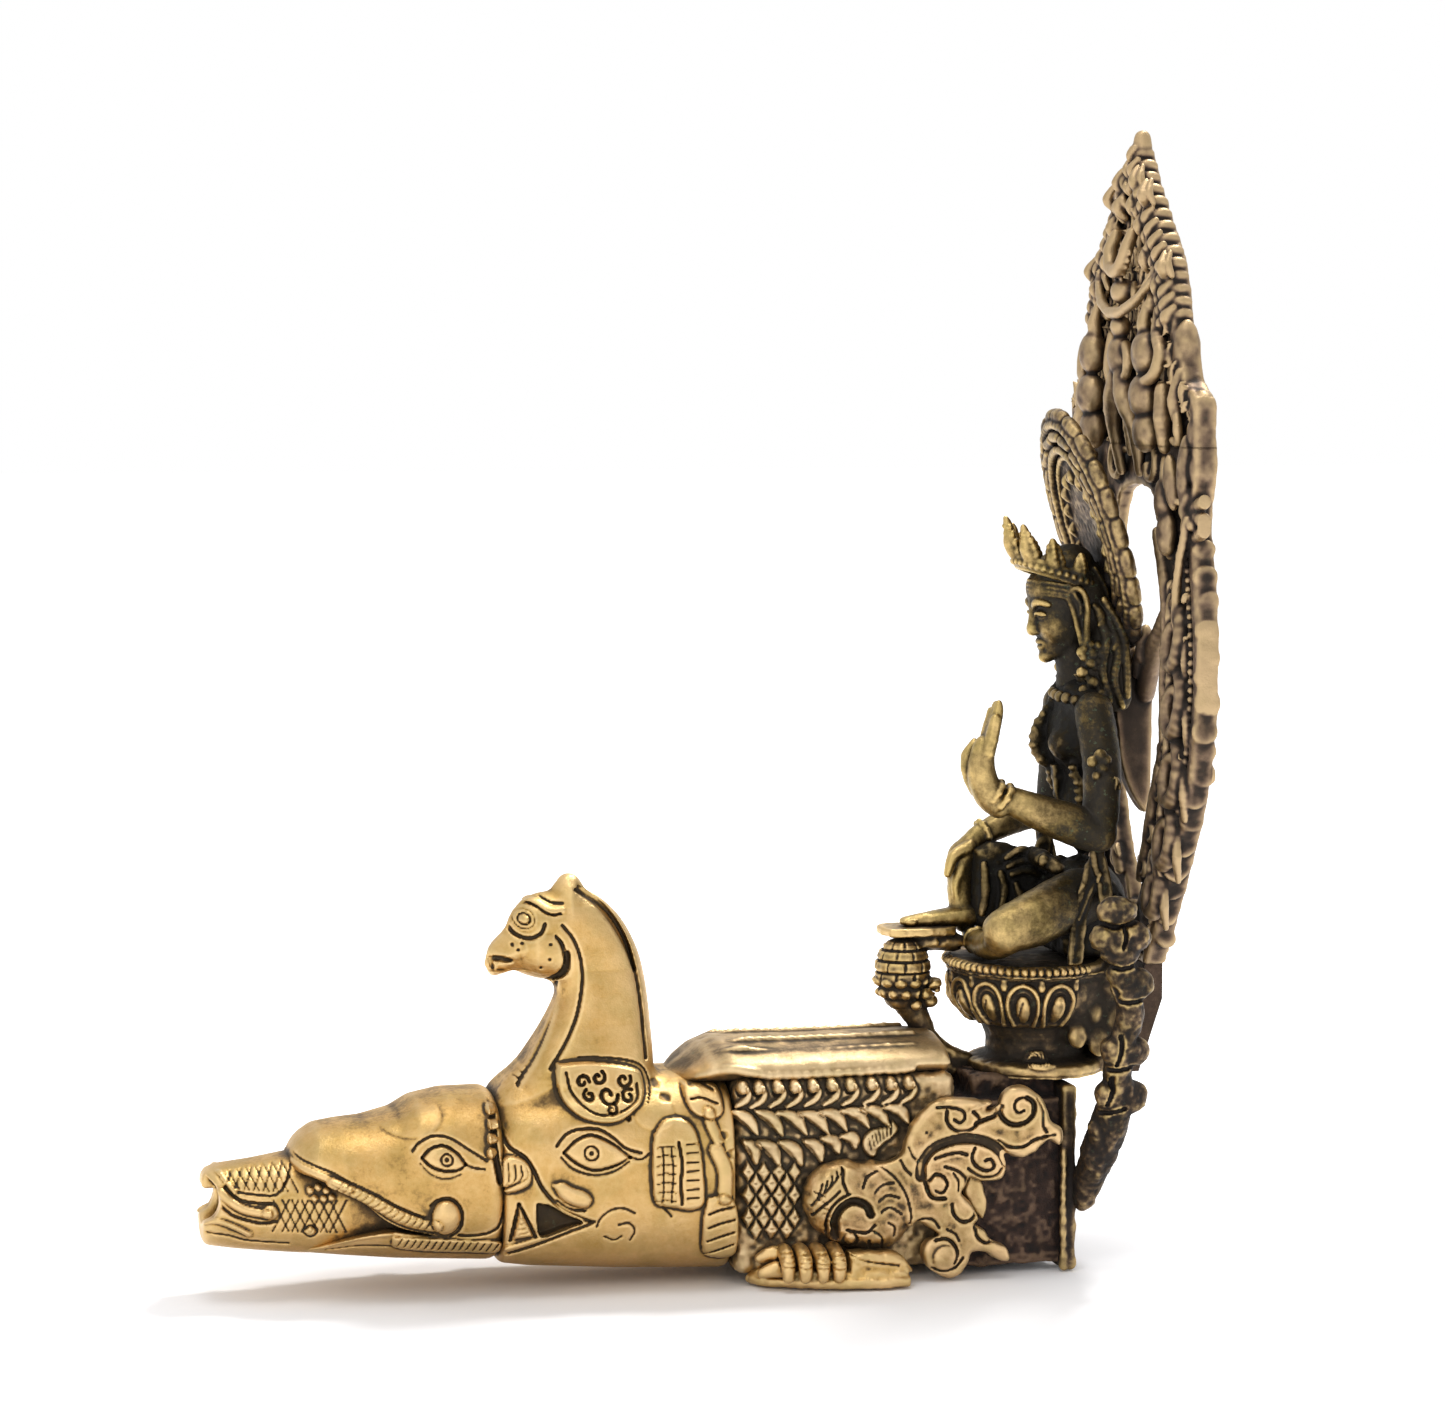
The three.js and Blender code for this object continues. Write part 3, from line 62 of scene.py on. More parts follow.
# The camera that took the photo: where it stands in mm, how it is turned, and its lens in pixels and in mm
EYE = np.array([-193.49, -873.60, 203.63])
AZIMUTH, ELEVATION = math.radians(13), math.radians(5)
LOOK = np.array([
    math.sin(AZIMUTH) * math.cos(ELEVATION),
    math.cos(AZIMUTH) * math.cos(ELEVATION),
    -math.sin(ELEVATION),
])
RIGHT = np.array([math.cos(AZIMUTH), -math.sin(AZIMUTH), 0])
UPWARD = np.cross(RIGHT, LOOK)
MIDDLE_U, MIDDLE_V = 722.5, 709
LENS_PIXELS = 4091
# The pixels that one mm takes in the photo
MM_PIXELS = 4.6
LENS, SENSOR = 101.92, 36


def sight(u, v):
    """The direction in which the camera sees a pixel of the photo."""
    return LOOK + RIGHT * (u - MIDDLE_U) / LENS_PIXELS + UPWARD * (MIDDLE_V - v) / LENS_PIXELS


def side(points, y):
    """Pixels seen on an upright plane at y, as (x, z) in millimetres."""
    rows = []
    for u, v in points:
        ray = sight(u, v)
        place = EYE + ray * (y - EYE[1]) / ray[1]
        rows.append((place[0], place[2]))
    return np.array(rows)


def front(points, x):
    """Pixels seen on an upright plane at x, as (y, z) in millimetres."""
    rows = []
    for u, v in points:
        ray = sight(u, v)
        place = EYE + ray * (x - EYE[0]) / ray[0]
        rows.append((place[1], place[2]))
    return np.array(rows)


def curve(points, steps=6):
    """A smooth line through points of any dimension."""
    p = np.asarray(points, float)
    if len(p) < 3:
        return p
    p = np.vstack([2 * p[0] - p[1], p, 2 * p[-1] - p[-2]])
    t = np.linspace(0, 1, steps, endpoint=False)[:, None]
    out = []
    for a, b, c, d in zip(p, p[1:], p[2:], p[3:]):
        out.append(0.5 * (2 * b + (c - a) * t + (2 * a - 5 * b + 4 * c - d) * t ** 2
                          + (3 * b - a - 3 * c + d) * t ** 3))
    return np.vstack([*out, p[-2:-1]])


def looped(points):
    """A smooth closed line through some points."""
    return curve(np.vstack([points, points[:1]]), 4)[:-1]


def circle(u, v, radius):
    """A closed ring of points round a pixel."""
    return [(u + radius * math.cos(a), v + radius * math.sin(a)) for a in np.linspace(0, 2 * math.pi, 13)]


def smooth_min(a, b, k):
    """The lower of two distances, blended over k."""
    h = np.maximum(k - np.abs(a - b), 0)
    return np.minimum(a, b) - h * h / (4 * k)


def ramp(x, low, high):
    """A smooth step from 0 at low to 1 at high."""
    t = np.clip((x - low) / (high - low), 0, 1)
    return t * t * (3 - 2 * t)


class Clay:
    """A distance field in millimetres on a grid, negative inside the metal."""

    def __init__(self, low, high, cell):
        self.low = np.array(low, float)
        self.cell = cell
        count = np.ceil((np.array(high) - self.low) / cell - 1e-6).astype(int) + 1
        if high[1] == 0:
            self.low[1] = -cell * (count[1] - 1)
        self.d = np.full(count, BAND, np.float32)

    def window(self, low, high):
        """The part of the grid within a box, and its coordinates."""
        a = np.floor((np.array(low) - self.low) / self.cell).astype(int)
        b = np.ceil((np.array(high) - self.low) / self.cell).astype(int) + 1
        a = np.clip(a, 0, self.d.shape)
        b = np.clip(b, 0, self.d.shape)
        if (b <= a).any():
            return None
        axes = [(self.low[i] + self.cell * np.arange(a[i], b[i])).astype(np.float32)
                for i in range(3)]
        cut = tuple(slice(a[i], b[i]) for i in range(3))
        return cut, axes[0][:, None, None], axes[1][None, :, None], axes[2][None, None, :]

    def add(self, shape, blend=0.5, cut=False):
        low, high, distance = shape
        reach = BAND + blend
        found = self.window(np.array(low) - reach, np.array(high) + reach)
        if found is None:
            return
        where, x, y, z = found
        value = distance(x, y, z)
        old = self.d[where]
        if cut:
            new = -smooth_min(-old, value, blend)
        else:
            new = smooth_min(old, value, blend)
        self.d[where] = np.clip(new, -BAND, BAND)

    def cut(self, shape, blend=0.5):
        self.add(shape, blend, True)

    def rope(self, points, radii, blend=0.5, flat=1.0, steps=5, cut=False):
        """A round strand through points; radii are spread evenly along it."""
        line = curve(points, steps)
        share = np.linspace(0, len(radii) - 1, len(line))
        thick = np.interp(share, range(len(radii)), radii)
        for i in range(len(line) - 1):
            self.add(segment(line[i], line[i + 1], thick[i], thick[i + 1], flat), blend, cut)

    def model(self, rows):
        """Ropes (a list of points) and blobs (one point), each with its radii, its blend and its tilt."""
        for place, radii, blend, *tilt in rows:
            if isinstance(place, list):
                self.rope(place, radii, blend)
            else:
                self.add(blob(place, radii, *tilt), blend)

    def emboss(self, relief, low=0.2, high=0.55, axis=1):
        """Moves the skin out by the relief's heights where it faces along -axis."""
        slope = np.gradient(self.d, self.cell, axis=axis)
        weight = ramp(-slope, low, high).astype(np.float32)
        heights = relief.h.astype(np.float32)
        heights = heights[:, None, :] if axis == 1 else heights[None, :, :]
        self.d = np.clip(self.d - heights * weight, -BAND, BAND)

    def rolled(self, radius):
        """A drawing of (arc length, z), to be wrapped round an upright axis of this clay."""
        top = self.low[2] + self.cell * (self.d.shape[2] - 1)
        reach = math.pi * radius
        return Relief(Clay((-reach, 0, self.low[2]), (reach, self.cell, top), self.cell))

    def wrap(self, relief, centre, stretch, radius, low=0.15, high=0.5):
        """Moves the skin out by a rolled drawing's heights where it faces away from the axis."""
        count = self.d.shape
        x = (self.low[0] + self.cell * np.arange(count[0]) - centre[0])[:, None]
        y = ((self.low[1] + self.cell * np.arange(count[1]) - centre[1]) / stretch)[None, :]
        far = np.maximum(np.hypot(x, y), 1e-3)
        slope = (np.gradient(self.d, self.cell, axis=0) * (x / far)[:, :, None]
                 + np.gradient(self.d, self.cell, axis=1) * (y / far)[:, :, None])
        column = (np.arctan2(y, x) * radius - relief.low[0]) / relief.cell
        column = np.clip(column, 0, relief.h.shape[0] - 1.001)
        base = column.astype(int)
        share = (column - base)[:, :, None].astype(np.float32)
        rows = np.minimum(np.arange(count[2]), relief.h.shape[1] - 1)
        heights = relief.h[base][:, :, rows] * (1 - share) + relief.h[base + 1][:, :, rows] * share
        self.d = np.clip(self.d - heights * ramp(slope, low, high), -BAND, BAND).astype(np.float32)

    def roughen(self, amount, size, seed):
        """Uneven casting: smooth seeded lumps of about the given size."""
        shape = np.array(self.d.shape)
        coarse = np.maximum((shape * self.cell / size).astype(int) + 2, 3)
        values = np.random.default_rng(seed).uniform(-1, 1, coarse).astype(np.float32)
        for axis in range(3):
            marks = np.linspace(0, coarse[axis] - 1.001, shape[axis])
            low = marks.astype(int)
            share = ramp(marks - low, 0, 1).astype(np.float32)
            share = share.reshape([-1 if i == axis else 1 for i in range(3)])
            values = np.take(values, low, axis) * (1 - share) + np.take(values, low + 1, axis) * share
        self.d = np.clip(self.d + amount * values, -BAND, BAND)

    def mirror(self):
        """Adds the other half of a clay whose last y plane is y = 0."""
        self.d = np.concatenate([self.d, self.d[:, -2::-1, :]], axis=1)


def segment(a, b, ra, rb, flat=1.0):
    """A round rod from a to b with a radius at each end, wider along y by flat."""
    a, b = np.asarray(a, np.float32), np.asarray(b, np.float32)
    r = max(ra, rb)
    low, high = np.minimum(a, b) - r, np.maximum(a, b) + r
    ab = b - a
    length = float(ab @ ab) or 1e-6

    def distance(x, y, z):
        px, py, pz = x - a[0], (y - a[1]), z - a[2]
        t = np.clip((px * ab[0] + py * ab[1] + pz * ab[2]) / length, 0, 1)
        dx, dy, dz = px - t * ab[0], (py - t * ab[1]) / flat, pz - t * ab[2]
        return np.sqrt(dx * dx + dy * dy + dz * dz) - (ra + (rb - ra) * t)

    return low, high, distance


def blob(centre, radii, tilt=0.0):
    """An ellipsoid, tilted about Y, in radians."""
    c = np.asarray(centre, np.float32)
    r = np.asarray(radii, np.float32)
    ct, st = math.cos(tilt), math.sin(tilt)
    reach = float(r.max())

    def distance(x, y, z):
        px, py, pz = x - c[0], y - c[1], z - c[2]
        px, pz = ct * px - st * pz, st * px + ct * pz
        k0 = np.sqrt((px / r[0]) ** 2 + (py / r[1]) ** 2 + (pz / r[2]) ** 2)
        k1 = np.sqrt((px / r[0] ** 2) ** 2 + (py / r[1] ** 2) ** 2 + (pz / r[2] ** 2) ** 2)
        return k0 * (k0 - 1) / np.maximum(k1, 1e-6)

    return c - reach, c + reach, distance


def slab(low, high, edge=0.5):
    """A box with rounded edges."""
    a, b = np.asarray(low, np.float32), np.asarray(high, np.float32)
    c, h = (a + b) / 2, (b - a) / 2 - edge

    def distance(x, y, z):
        qx, qy, qz = abs(x - c[0]) - h[0], abs(y - c[1]) - h[1], abs(z - c[2]) - h[2]
        outside = np.sqrt(np.maximum(qx, 0) ** 2 + np.maximum(qy, 0) ** 2 + np.maximum(qz, 0) ** 2)
        return outside + np.minimum(np.maximum(np.maximum(qx, qy), qz), 0) - edge

    return a, b, distance


def hull(x0, x1, top, bottom, half, square=2.4, round_end=2.0):
    """A body along X between two drawn lines of (x, z), with half widths as (x, y)."""
    top, bottom, half = (np.asarray(r, float) for r in (top, bottom, half))

    def distance(x, y, z):
        flat = x.ravel()
        up = np.interp(flat, top[:, 0], top[:, 1])
        down = np.interp(flat, bottom[:, 0], bottom[:, 1])
        wide = np.interp(flat, half[:, 0], half[:, 1])
        kernel = np.hanning(9)[1:-1]
        kernel = kernel / kernel.sum()

        def soft(row):
            pad = np.pad(row, 3, mode="edge")
            return np.convolve(pad, kernel, "valid").astype(np.float32)[:, None, None]

        up, down, wide = soft(up), soft(down), soft(wide)
        middle, tall = (up + down) / 2, (up - down) / 2
        dz = z - middle
        r = np.sqrt(y * y + dz * dz)
        k = ((abs(y) / wide) ** square + (abs(dz) / tall) ** square) ** (1 / square)
        body = r - r / np.maximum(k, 1e-4)
        ends = np.maximum(x0 - x, x - x1)
        return -smooth_min(-body, -ends, round_end)

    wide = half[:, 1].max()
    return ((x0, -wide, bottom[:, 1].min()), (x1, wide, top[:, 1].max()), distance)


def inside(px, pz, poly):
    """Signed distance to a closed outline, negative inside."""
    best = np.full(np.broadcast(px, pz).shape, 1e9, np.float32)
    odd = np.zeros(best.shape, bool)
    for (ax, az), (bx, bz) in zip(poly, np.roll(poly, -1, 0)):
        ex, ez = bx - ax, bz - az
        length = ex * ex + ez * ez
        if length < 1e-9:
            continue
        wx, wz = px - ax, pz - az
        t = np.clip((wx * ex + wz * ez) / length, 0, 1)
        best = np.minimum(best, (wx - t * ex) ** 2 + (wz - t * ez) ** 2)
        crosses = (az > pz) != (bz > pz)
        if bz != az:
            odd ^= crosses & (px < ex * (pz - az) / ez + ax)
    return np.where(odd, -1, 1) * np.sqrt(best)


def prism(points, start, end, edge=0.4, smooth=True, axis=1):
    """An outline drawn across an axis, with rounded edges, that runs along it from start to end."""
    poly = np.asarray(points, float)
    if smooth:
        poly = looped(poly)
    low, high = poly.min(0), poly.max(0)

    def distance(x, y, z):
        if axis == 1:
            flat, along = inside(x[:, 0, :], z[0], poly)[:, None, :], y
        elif axis == 2:
            flat, along = inside(x[:, :, 0], y[:, :, 0], poly)[:, :, None], z
        else:
            flat, along = inside(y[0], z[0], poly)[None], x
        return -smooth_min(-flat, -np.maximum(start - along, along - end), edge)

    low, high = list(low), list(high)
    low.insert(axis, start)
    high.insert(axis, end)
    return low, high, distance


def turned(centre, stretch, profile):
    """A body turned round an upright axis from (radius, z), wider along y by stretch."""
    poly = looped(np.asarray(profile, float))
    reach = poly[:, 0].max()
    step = 0.15
    table = inside(np.arange(0, reach + 8, step)[:, None], np.arange(
        poly[:, 1].min() - 8, poly[:, 1].max() + 8, step)[None, :], poly)
    bottom = poly[:, 1].min() - 8

    def distance(x, y, z):
        far = np.hypot(x - centre[0], (y - centre[1]) / stretch)[:, :, 0] / step
        base = np.minimum(far.astype(int), table.shape[0] - 2)
        share = np.clip(far - base, 0, 1)[:, :, None]
        rows = np.clip(((z.ravel() - bottom) / step).astype(int), 0, table.shape[1] - 1)
        return table[base][:, :, rows] * (1 - share) + table[base + 1][:, :, rows] * share

    low = (centre[0] - reach, centre[1] - reach * stretch, poly[:, 1].min())
    high = (centre[0] + reach, centre[1] + reach * stretch, poly[:, 1].max())
    return low, high, distance


class Relief:
    """Heights in millimetres over a drawing plane of (across, up)."""

    def __init__(self, clay, axis=1):
        keep = (0, 2) if axis == 1 else (1, 2)
        self.see = side if axis == 1 else front
        self.low = clay.low[list(keep)]
        self.cell = clay.cell
        shape = [clay.d.shape[i] for i in keep]
        self.h = np.zeros(shape, np.float32)
        self.plane = None

    def at(self, points):
        """Points on the drawing: pixels seen on the plane, or mm where no plane is set."""
        return self.see(points, self.plane) if self.plane is not None else np.asarray(points, float)

    def window(self, low, high):
        """The part of the grid within a box, and its coordinates."""
        a = np.clip(np.floor((low - self.low) / self.cell).astype(int), 0, self.h.shape)
        b = np.clip(np.ceil((high - self.low) / self.cell).astype(int) + 1, 0, self.h.shape)
        px = (self.low[0] + self.cell * np.arange(a[0], b[0])).astype(np.float32)[:, None]
        pz = (self.low[1] + self.cell * np.arange(a[1], b[1])).astype(np.float32)[None, :]
        return (slice(a[0], b[0]), slice(a[1], b[1])), px, pz

    def near(self, line, px, pz):
        """The distance to a line and the share of its length at the nearest place."""
        best = np.full((px.shape[0], pz.shape[1]), 1e9, np.float32)
        along = np.zeros_like(best)
        for i, ((ax, az), (bx, bz)) in enumerate(zip(line, line[1:])):
            ex, ez = bx - ax, bz - az
            length = max(ex * ex + ez * ez, 1e-9)
            wx, wz = px - ax, pz - az
            t = np.clip((wx * ex + wz * ez) / length, 0, 1)
            r = (wx - t * ex) ** 2 + (wz - t * ez) ** 2
            closer = r < best
            best = np.where(closer, r, best)
            along = np.where(closer, (i + t) / (len(line) - 1), along)
        return np.sqrt(best), along

    def line(self, points, width, height, taper=0.0, steps=5):
        """A ridge (height above 0) or a groove, with a round section."""
        path = curve(self.at(points), steps)
        where, px, pz = self.window(path.min(0) - width, path.max(0) + width)
        if 0 in self.h[where].shape:
            return
        r, along = self.near(path, px, pz)
        wide = width / 2 * (1 - taper * abs(2 * along - 1) ** 2)
        section = np.sqrt(np.clip(1 - (r / np.maximum(wide, 1e-3)) ** 2, 0, 1))
        self.h[where] += height * section

    def draw(self, rows):
        """Lines (a list of points) and domes (one point), each with its size, height and taper or tilt."""
        for place, *rest in rows:
            if isinstance(place, list):
                self.line(place, *rest)
            else:
                self.dome(place, *rest)

    def patch(self, points, height, edge=0.8, smooth=True):
        """A raised (or sunk) area with a rounded border."""
        poly = self.at(points)
        if smooth:
            poly = looped(poly)
        where, px, pz = self.window(poly.min(0) - edge, poly.max(0) + edge)
        if 0 in self.h[where].shape:
            return
        r = inside(px, pz, poly)
        self.h[where] += height * np.sqrt(np.clip(1 - (1 + np.clip(r, -edge, 0) / edge) ** 2, 0, 1))

    def dome(self, point, radii, height, tilt=0.0):
        """A round or oval bump (height above 0) or pit."""
        centre = self.at([point])[0]
        radii = np.atleast_1d(radii)
        a, b = radii[0], radii[-1]
        reach = max(a, b)
        where, px, pz = self.window(centre - reach, centre + reach)
        if 0 in self.h[where].shape:
            return
        dx, dz = px - centre[0], pz - centre[1]
        c, s = math.cos(tilt), math.sin(tilt)
        r = ((c * dx + s * dz) / a) ** 2 + ((c * dz - s * dx) / b) ** 2
        self.h[where] += height * np.sqrt(np.clip(1 - r, 0, 1))

    def ticks(self, points, length, pitch, width, height, lean=0.0):
        """Short cuts or ribs across a line."""
        places = spaced(curve(self.at(points), 8), pitch)
        keep, self.plane = self.plane, None
        for before, place, after in zip(places, places[1:], places[2:]):
            along = (after - before) / max(np.linalg.norm(after - before), 1e-6)
            across = np.array([-along[1], along[0]]) + lean * along
            ends = [place - across * length / 2, place + across * length / 2]
            self.line(ends, width, height)
        self.plane = keep

    def spiral(self, point, radius, turns, start, width, height, direction=1, shrink=0.8):
        """A ridge that winds inwards round a point."""
        centre = self.at([point])[0]
        count = max(int(turns * 10), 6)
        share = np.linspace(0, 1, count)
        reach = radius * (1 - shrink * share)
        turn = start + direction * share * turns * 2 * math.pi
        path = np.stack([centre[0] + reach * np.cos(turn), centre[1] + reach * np.sin(turn)], 1)
        keep, self.plane = self.plane, None
        self.line(path, width, height)
        self.plane = keep


def spaced(path, pitch):
    """Points at an even pitch along a line."""
    steps = np.linalg.norm(np.diff(path, axis=0), axis=1)
    reach = np.concatenate([[0], np.cumsum(steps)])
    count = max(int(round(reach[-1] / pitch)), 1)
    marks = np.linspace(0, reach[-1], count + 1)
    return np.stack([np.interp(marks, reach, path[:, i]) for i in range(path.shape[1])], 1)


def blurred(d, reach):
    """A box blur, three cells wide for each step of reach."""
    out = d
    for axis in range(3):
        size = 2 * reach + 1
        pad = [(reach + 1, reach) if i == axis else (0, 0) for i in range(3)]
        total = np.cumsum(np.pad(out, pad, mode="edge"), axis=axis, dtype=np.float64)
        high = np.take(total, range(size, total.shape[axis]), axis=axis)
        low = np.take(total, range(0, total.shape[axis] - size), axis=axis)
        out = ((high - low) / size).astype(np.float32)
    return out


def sampled(d, points):
    """Values of a grid at points given in cells."""
    base = np.clip(np.floor(points).astype(int), 0, np.array(d.shape) - 2)
    f = points - base
    total = 0
    for i in (0, 1):
        for j in (0, 1):
            for k in (0, 1):
                weight = (abs(1 - i - f[:, 0]) * abs(1 - j - f[:, 1]) * abs(1 - k - f[:, 2]))
                total = total + weight * d[base[:, 0] + i, base[:, 1] + j, base[:, 2] + k]
    return total


class Crowd:
    """How full of metal the space is, on one coarse grid for the whole object."""

    def __init__(self, cell):
        low, high = (np.array(corner) / MM for corner in cad_box)
        self.cell = cell
        self.low = low - 12
        count = np.ceil((high + 12 - self.low) / cell).astype(int) + 1
        self.full = np.zeros(count, np.float32)
        self.pieces = []

    def take(self, clay, piece, points):
        """Fills the grid where a clay has metal, and notes the piece's points."""
        first = np.maximum(np.ceil((clay.low - self.low) / self.cell).astype(int), 0)
        end = clay.low + clay.cell * (np.array(clay.d.shape) - 1)
        last = np.floor((end - self.low) / self.cell).astype(int)
        last = np.minimum(last, np.array(self.full.shape) - 1)
        picks = []
        for i in range(3):
            marks = (self.low[i] + self.cell * np.arange(first[i], last[i] + 1) - clay.low[i]) / clay.cell
            picks.append(np.clip(np.rint(marks).astype(int), 0, clay.d.shape[i] - 1))
        found = clay.d[np.ix_(*picks)]
        filled = np.clip(0.5 - found / self.cell, 0, 1)
        where = tuple(slice(first[i], last[i] + 1) for i in range(3))
        self.full[where] = np.maximum(self.full[where], filled)
        self.pieces.append((piece, points))

    def settle(self):
        """Gives every piece what surrounds it, from 0 on a free tip to 1 deep in a gap; the materials paint
        shade with it.
        """
        near = blurred(self.full, max(int(round(2.0 / self.cell)), 1))
        far = blurred(self.full, int(round(5.0 / self.cell)))
        for piece, points in self.pieces:
            places = (points - self.low) / self.cell
            for label, grid in (("near", near), ("far", far)):
                layer = piece.data.attributes.new(label, "FLOAT", "POINT")
                layer.data.foreach_set("value", sampled(grid, places).astype(np.float32))


def cast(clay, name, nodes, material, turn=None, keep=None):
    """Turns a clay into a piece that stands for CAD nodes; turn moves its points into place.

    With keep, only the layers within its (first, last) along y and along z are cast.
    """
    d = np.pad(clay.d, 1, constant_values=BAND)
    solid = d.copy()
    if keep:
        for axis, (first, last) in zip((1, 2), keep):
            layers = np.moveaxis(solid, axis, 0)
            layers[:first + 1] = BAND
            layers[last + 2:] = BAND
    grid = openvdb.FloatGrid(BAND)
    grid.copyFromArray(np.ascontiguousarray(solid))
    points, _, quads = grid.convertToPolygons(isovalue=0.0, adaptivity=0.0)
    points = points.astype(np.float32)
    # cavity: below 0 in hollows, above 0 on ridges; the materials darken the hollows with patina and painted
    # shade
    fine = blurred(d, max(int(round(0.7 / clay.cell)), 1))
    cavity = (sampled(fine, points) - sampled(d, points)) / 0.7
    places = (points - 1) * clay.cell + clay.low
    if turn:
        places = turn(places)
    mesh = bpy.data.meshes.new(name)
    mesh.vertices.add(len(places))
    mesh.vertices.foreach_set("co", (places * MM).astype(np.float32).ravel())
    mesh.loops.add(quads.size)
    mesh.loops.foreach_set("vertex_index", quads[:, ::-1].astype(np.int32).ravel())
    mesh.polygons.add(len(quads))
    mesh.polygons.foreach_set("loop_start", np.arange(0, quads.size, 4, dtype=np.int32))
    mesh.update(calc_edges=True)
    layer = mesh.attributes.new("cavity", "FLOAT", "POINT")
    layer.data.foreach_set("value", cavity.astype(np.float32))
    mesh.materials.append(material)
    piece = bpy.data.objects.new(name, mesh)
    bpy.context.scene.collection.objects.link(piece)
    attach(piece, "root")
    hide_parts(*nodes)
    if turn:
        crowd.pieces.append((piece, places))
    else:
        crowd.take(clay, piece, places)


def cast_side(clay, near, part, material):
    """Casts a part that both sides have, and flips the clay across y = 0 for the far side."""
    if not near:
        clay.low[1] = -(clay.low[1] + clay.cell * (clay.d.shape[1] - 1))
        clay.d = clay.d[:, ::-1, :]
    name = ("near_" if near else "far_") + part
    cast(clay, name + "_skin", [name], material)


def inflate(points, edge, thick, y0=0.0):
    """A drawn outline of (x, z) swollen to a pillow, as thick as said on each side of y0."""
    poly = looped(np.asarray(points, float))
    low, high = poly.min(0), poly.max(0)
    most = 20.0 if callable(thick) else thick

    def distance(x, y, z):
        s = inside(x[:, 0, :], z[0], poly)
        wide = thick(x[:, 0, :], z[0]) if callable(thick) else thick
        wide = np.broadcast_to(np.asarray(wide, np.float32), s.shape)[:, None, :]
        s, dy = s[:, None, :], abs(y - y0)
        thin = np.minimum(wide / edge, 1)
        over = np.where(wide > edge, np.maximum(dy - wide + edge, 0), dy / thin)
        return (np.sqrt(np.maximum(s + edge, 0) ** 2 + over ** 2) - edge) * thin

    return (low[0], y0 - most, low[1]), (high[0], y0 + most, high[1]), distance


crowd = Crowd(0.9)

# How much a hollow (patina and painted shade), a close neighbour and a crowded place (painted shade), a
# blotch and a speck count for the colour level
HOLLOW, CLOSE_SHADE, CROWDED_SHADE, BLOTCH, SPECK = 1.3, 0.9, 0.35, 0.34, 0.22
# Where the four colours lie on the way from dirt and painted shade to bright metal
DIRT_AND_SHADE_AT, PATINA_AT, BODY_AT, BRIGHT_AT = 0.2, 0.36, 0.52, 0.85
# The tints of brown stains and green mould
STAIN, MOULD = (0.74, 0.77, 0.66), (0.10, 0.13, 0.075)
# The depth of the grain in metres
GRAIN = 0.00022


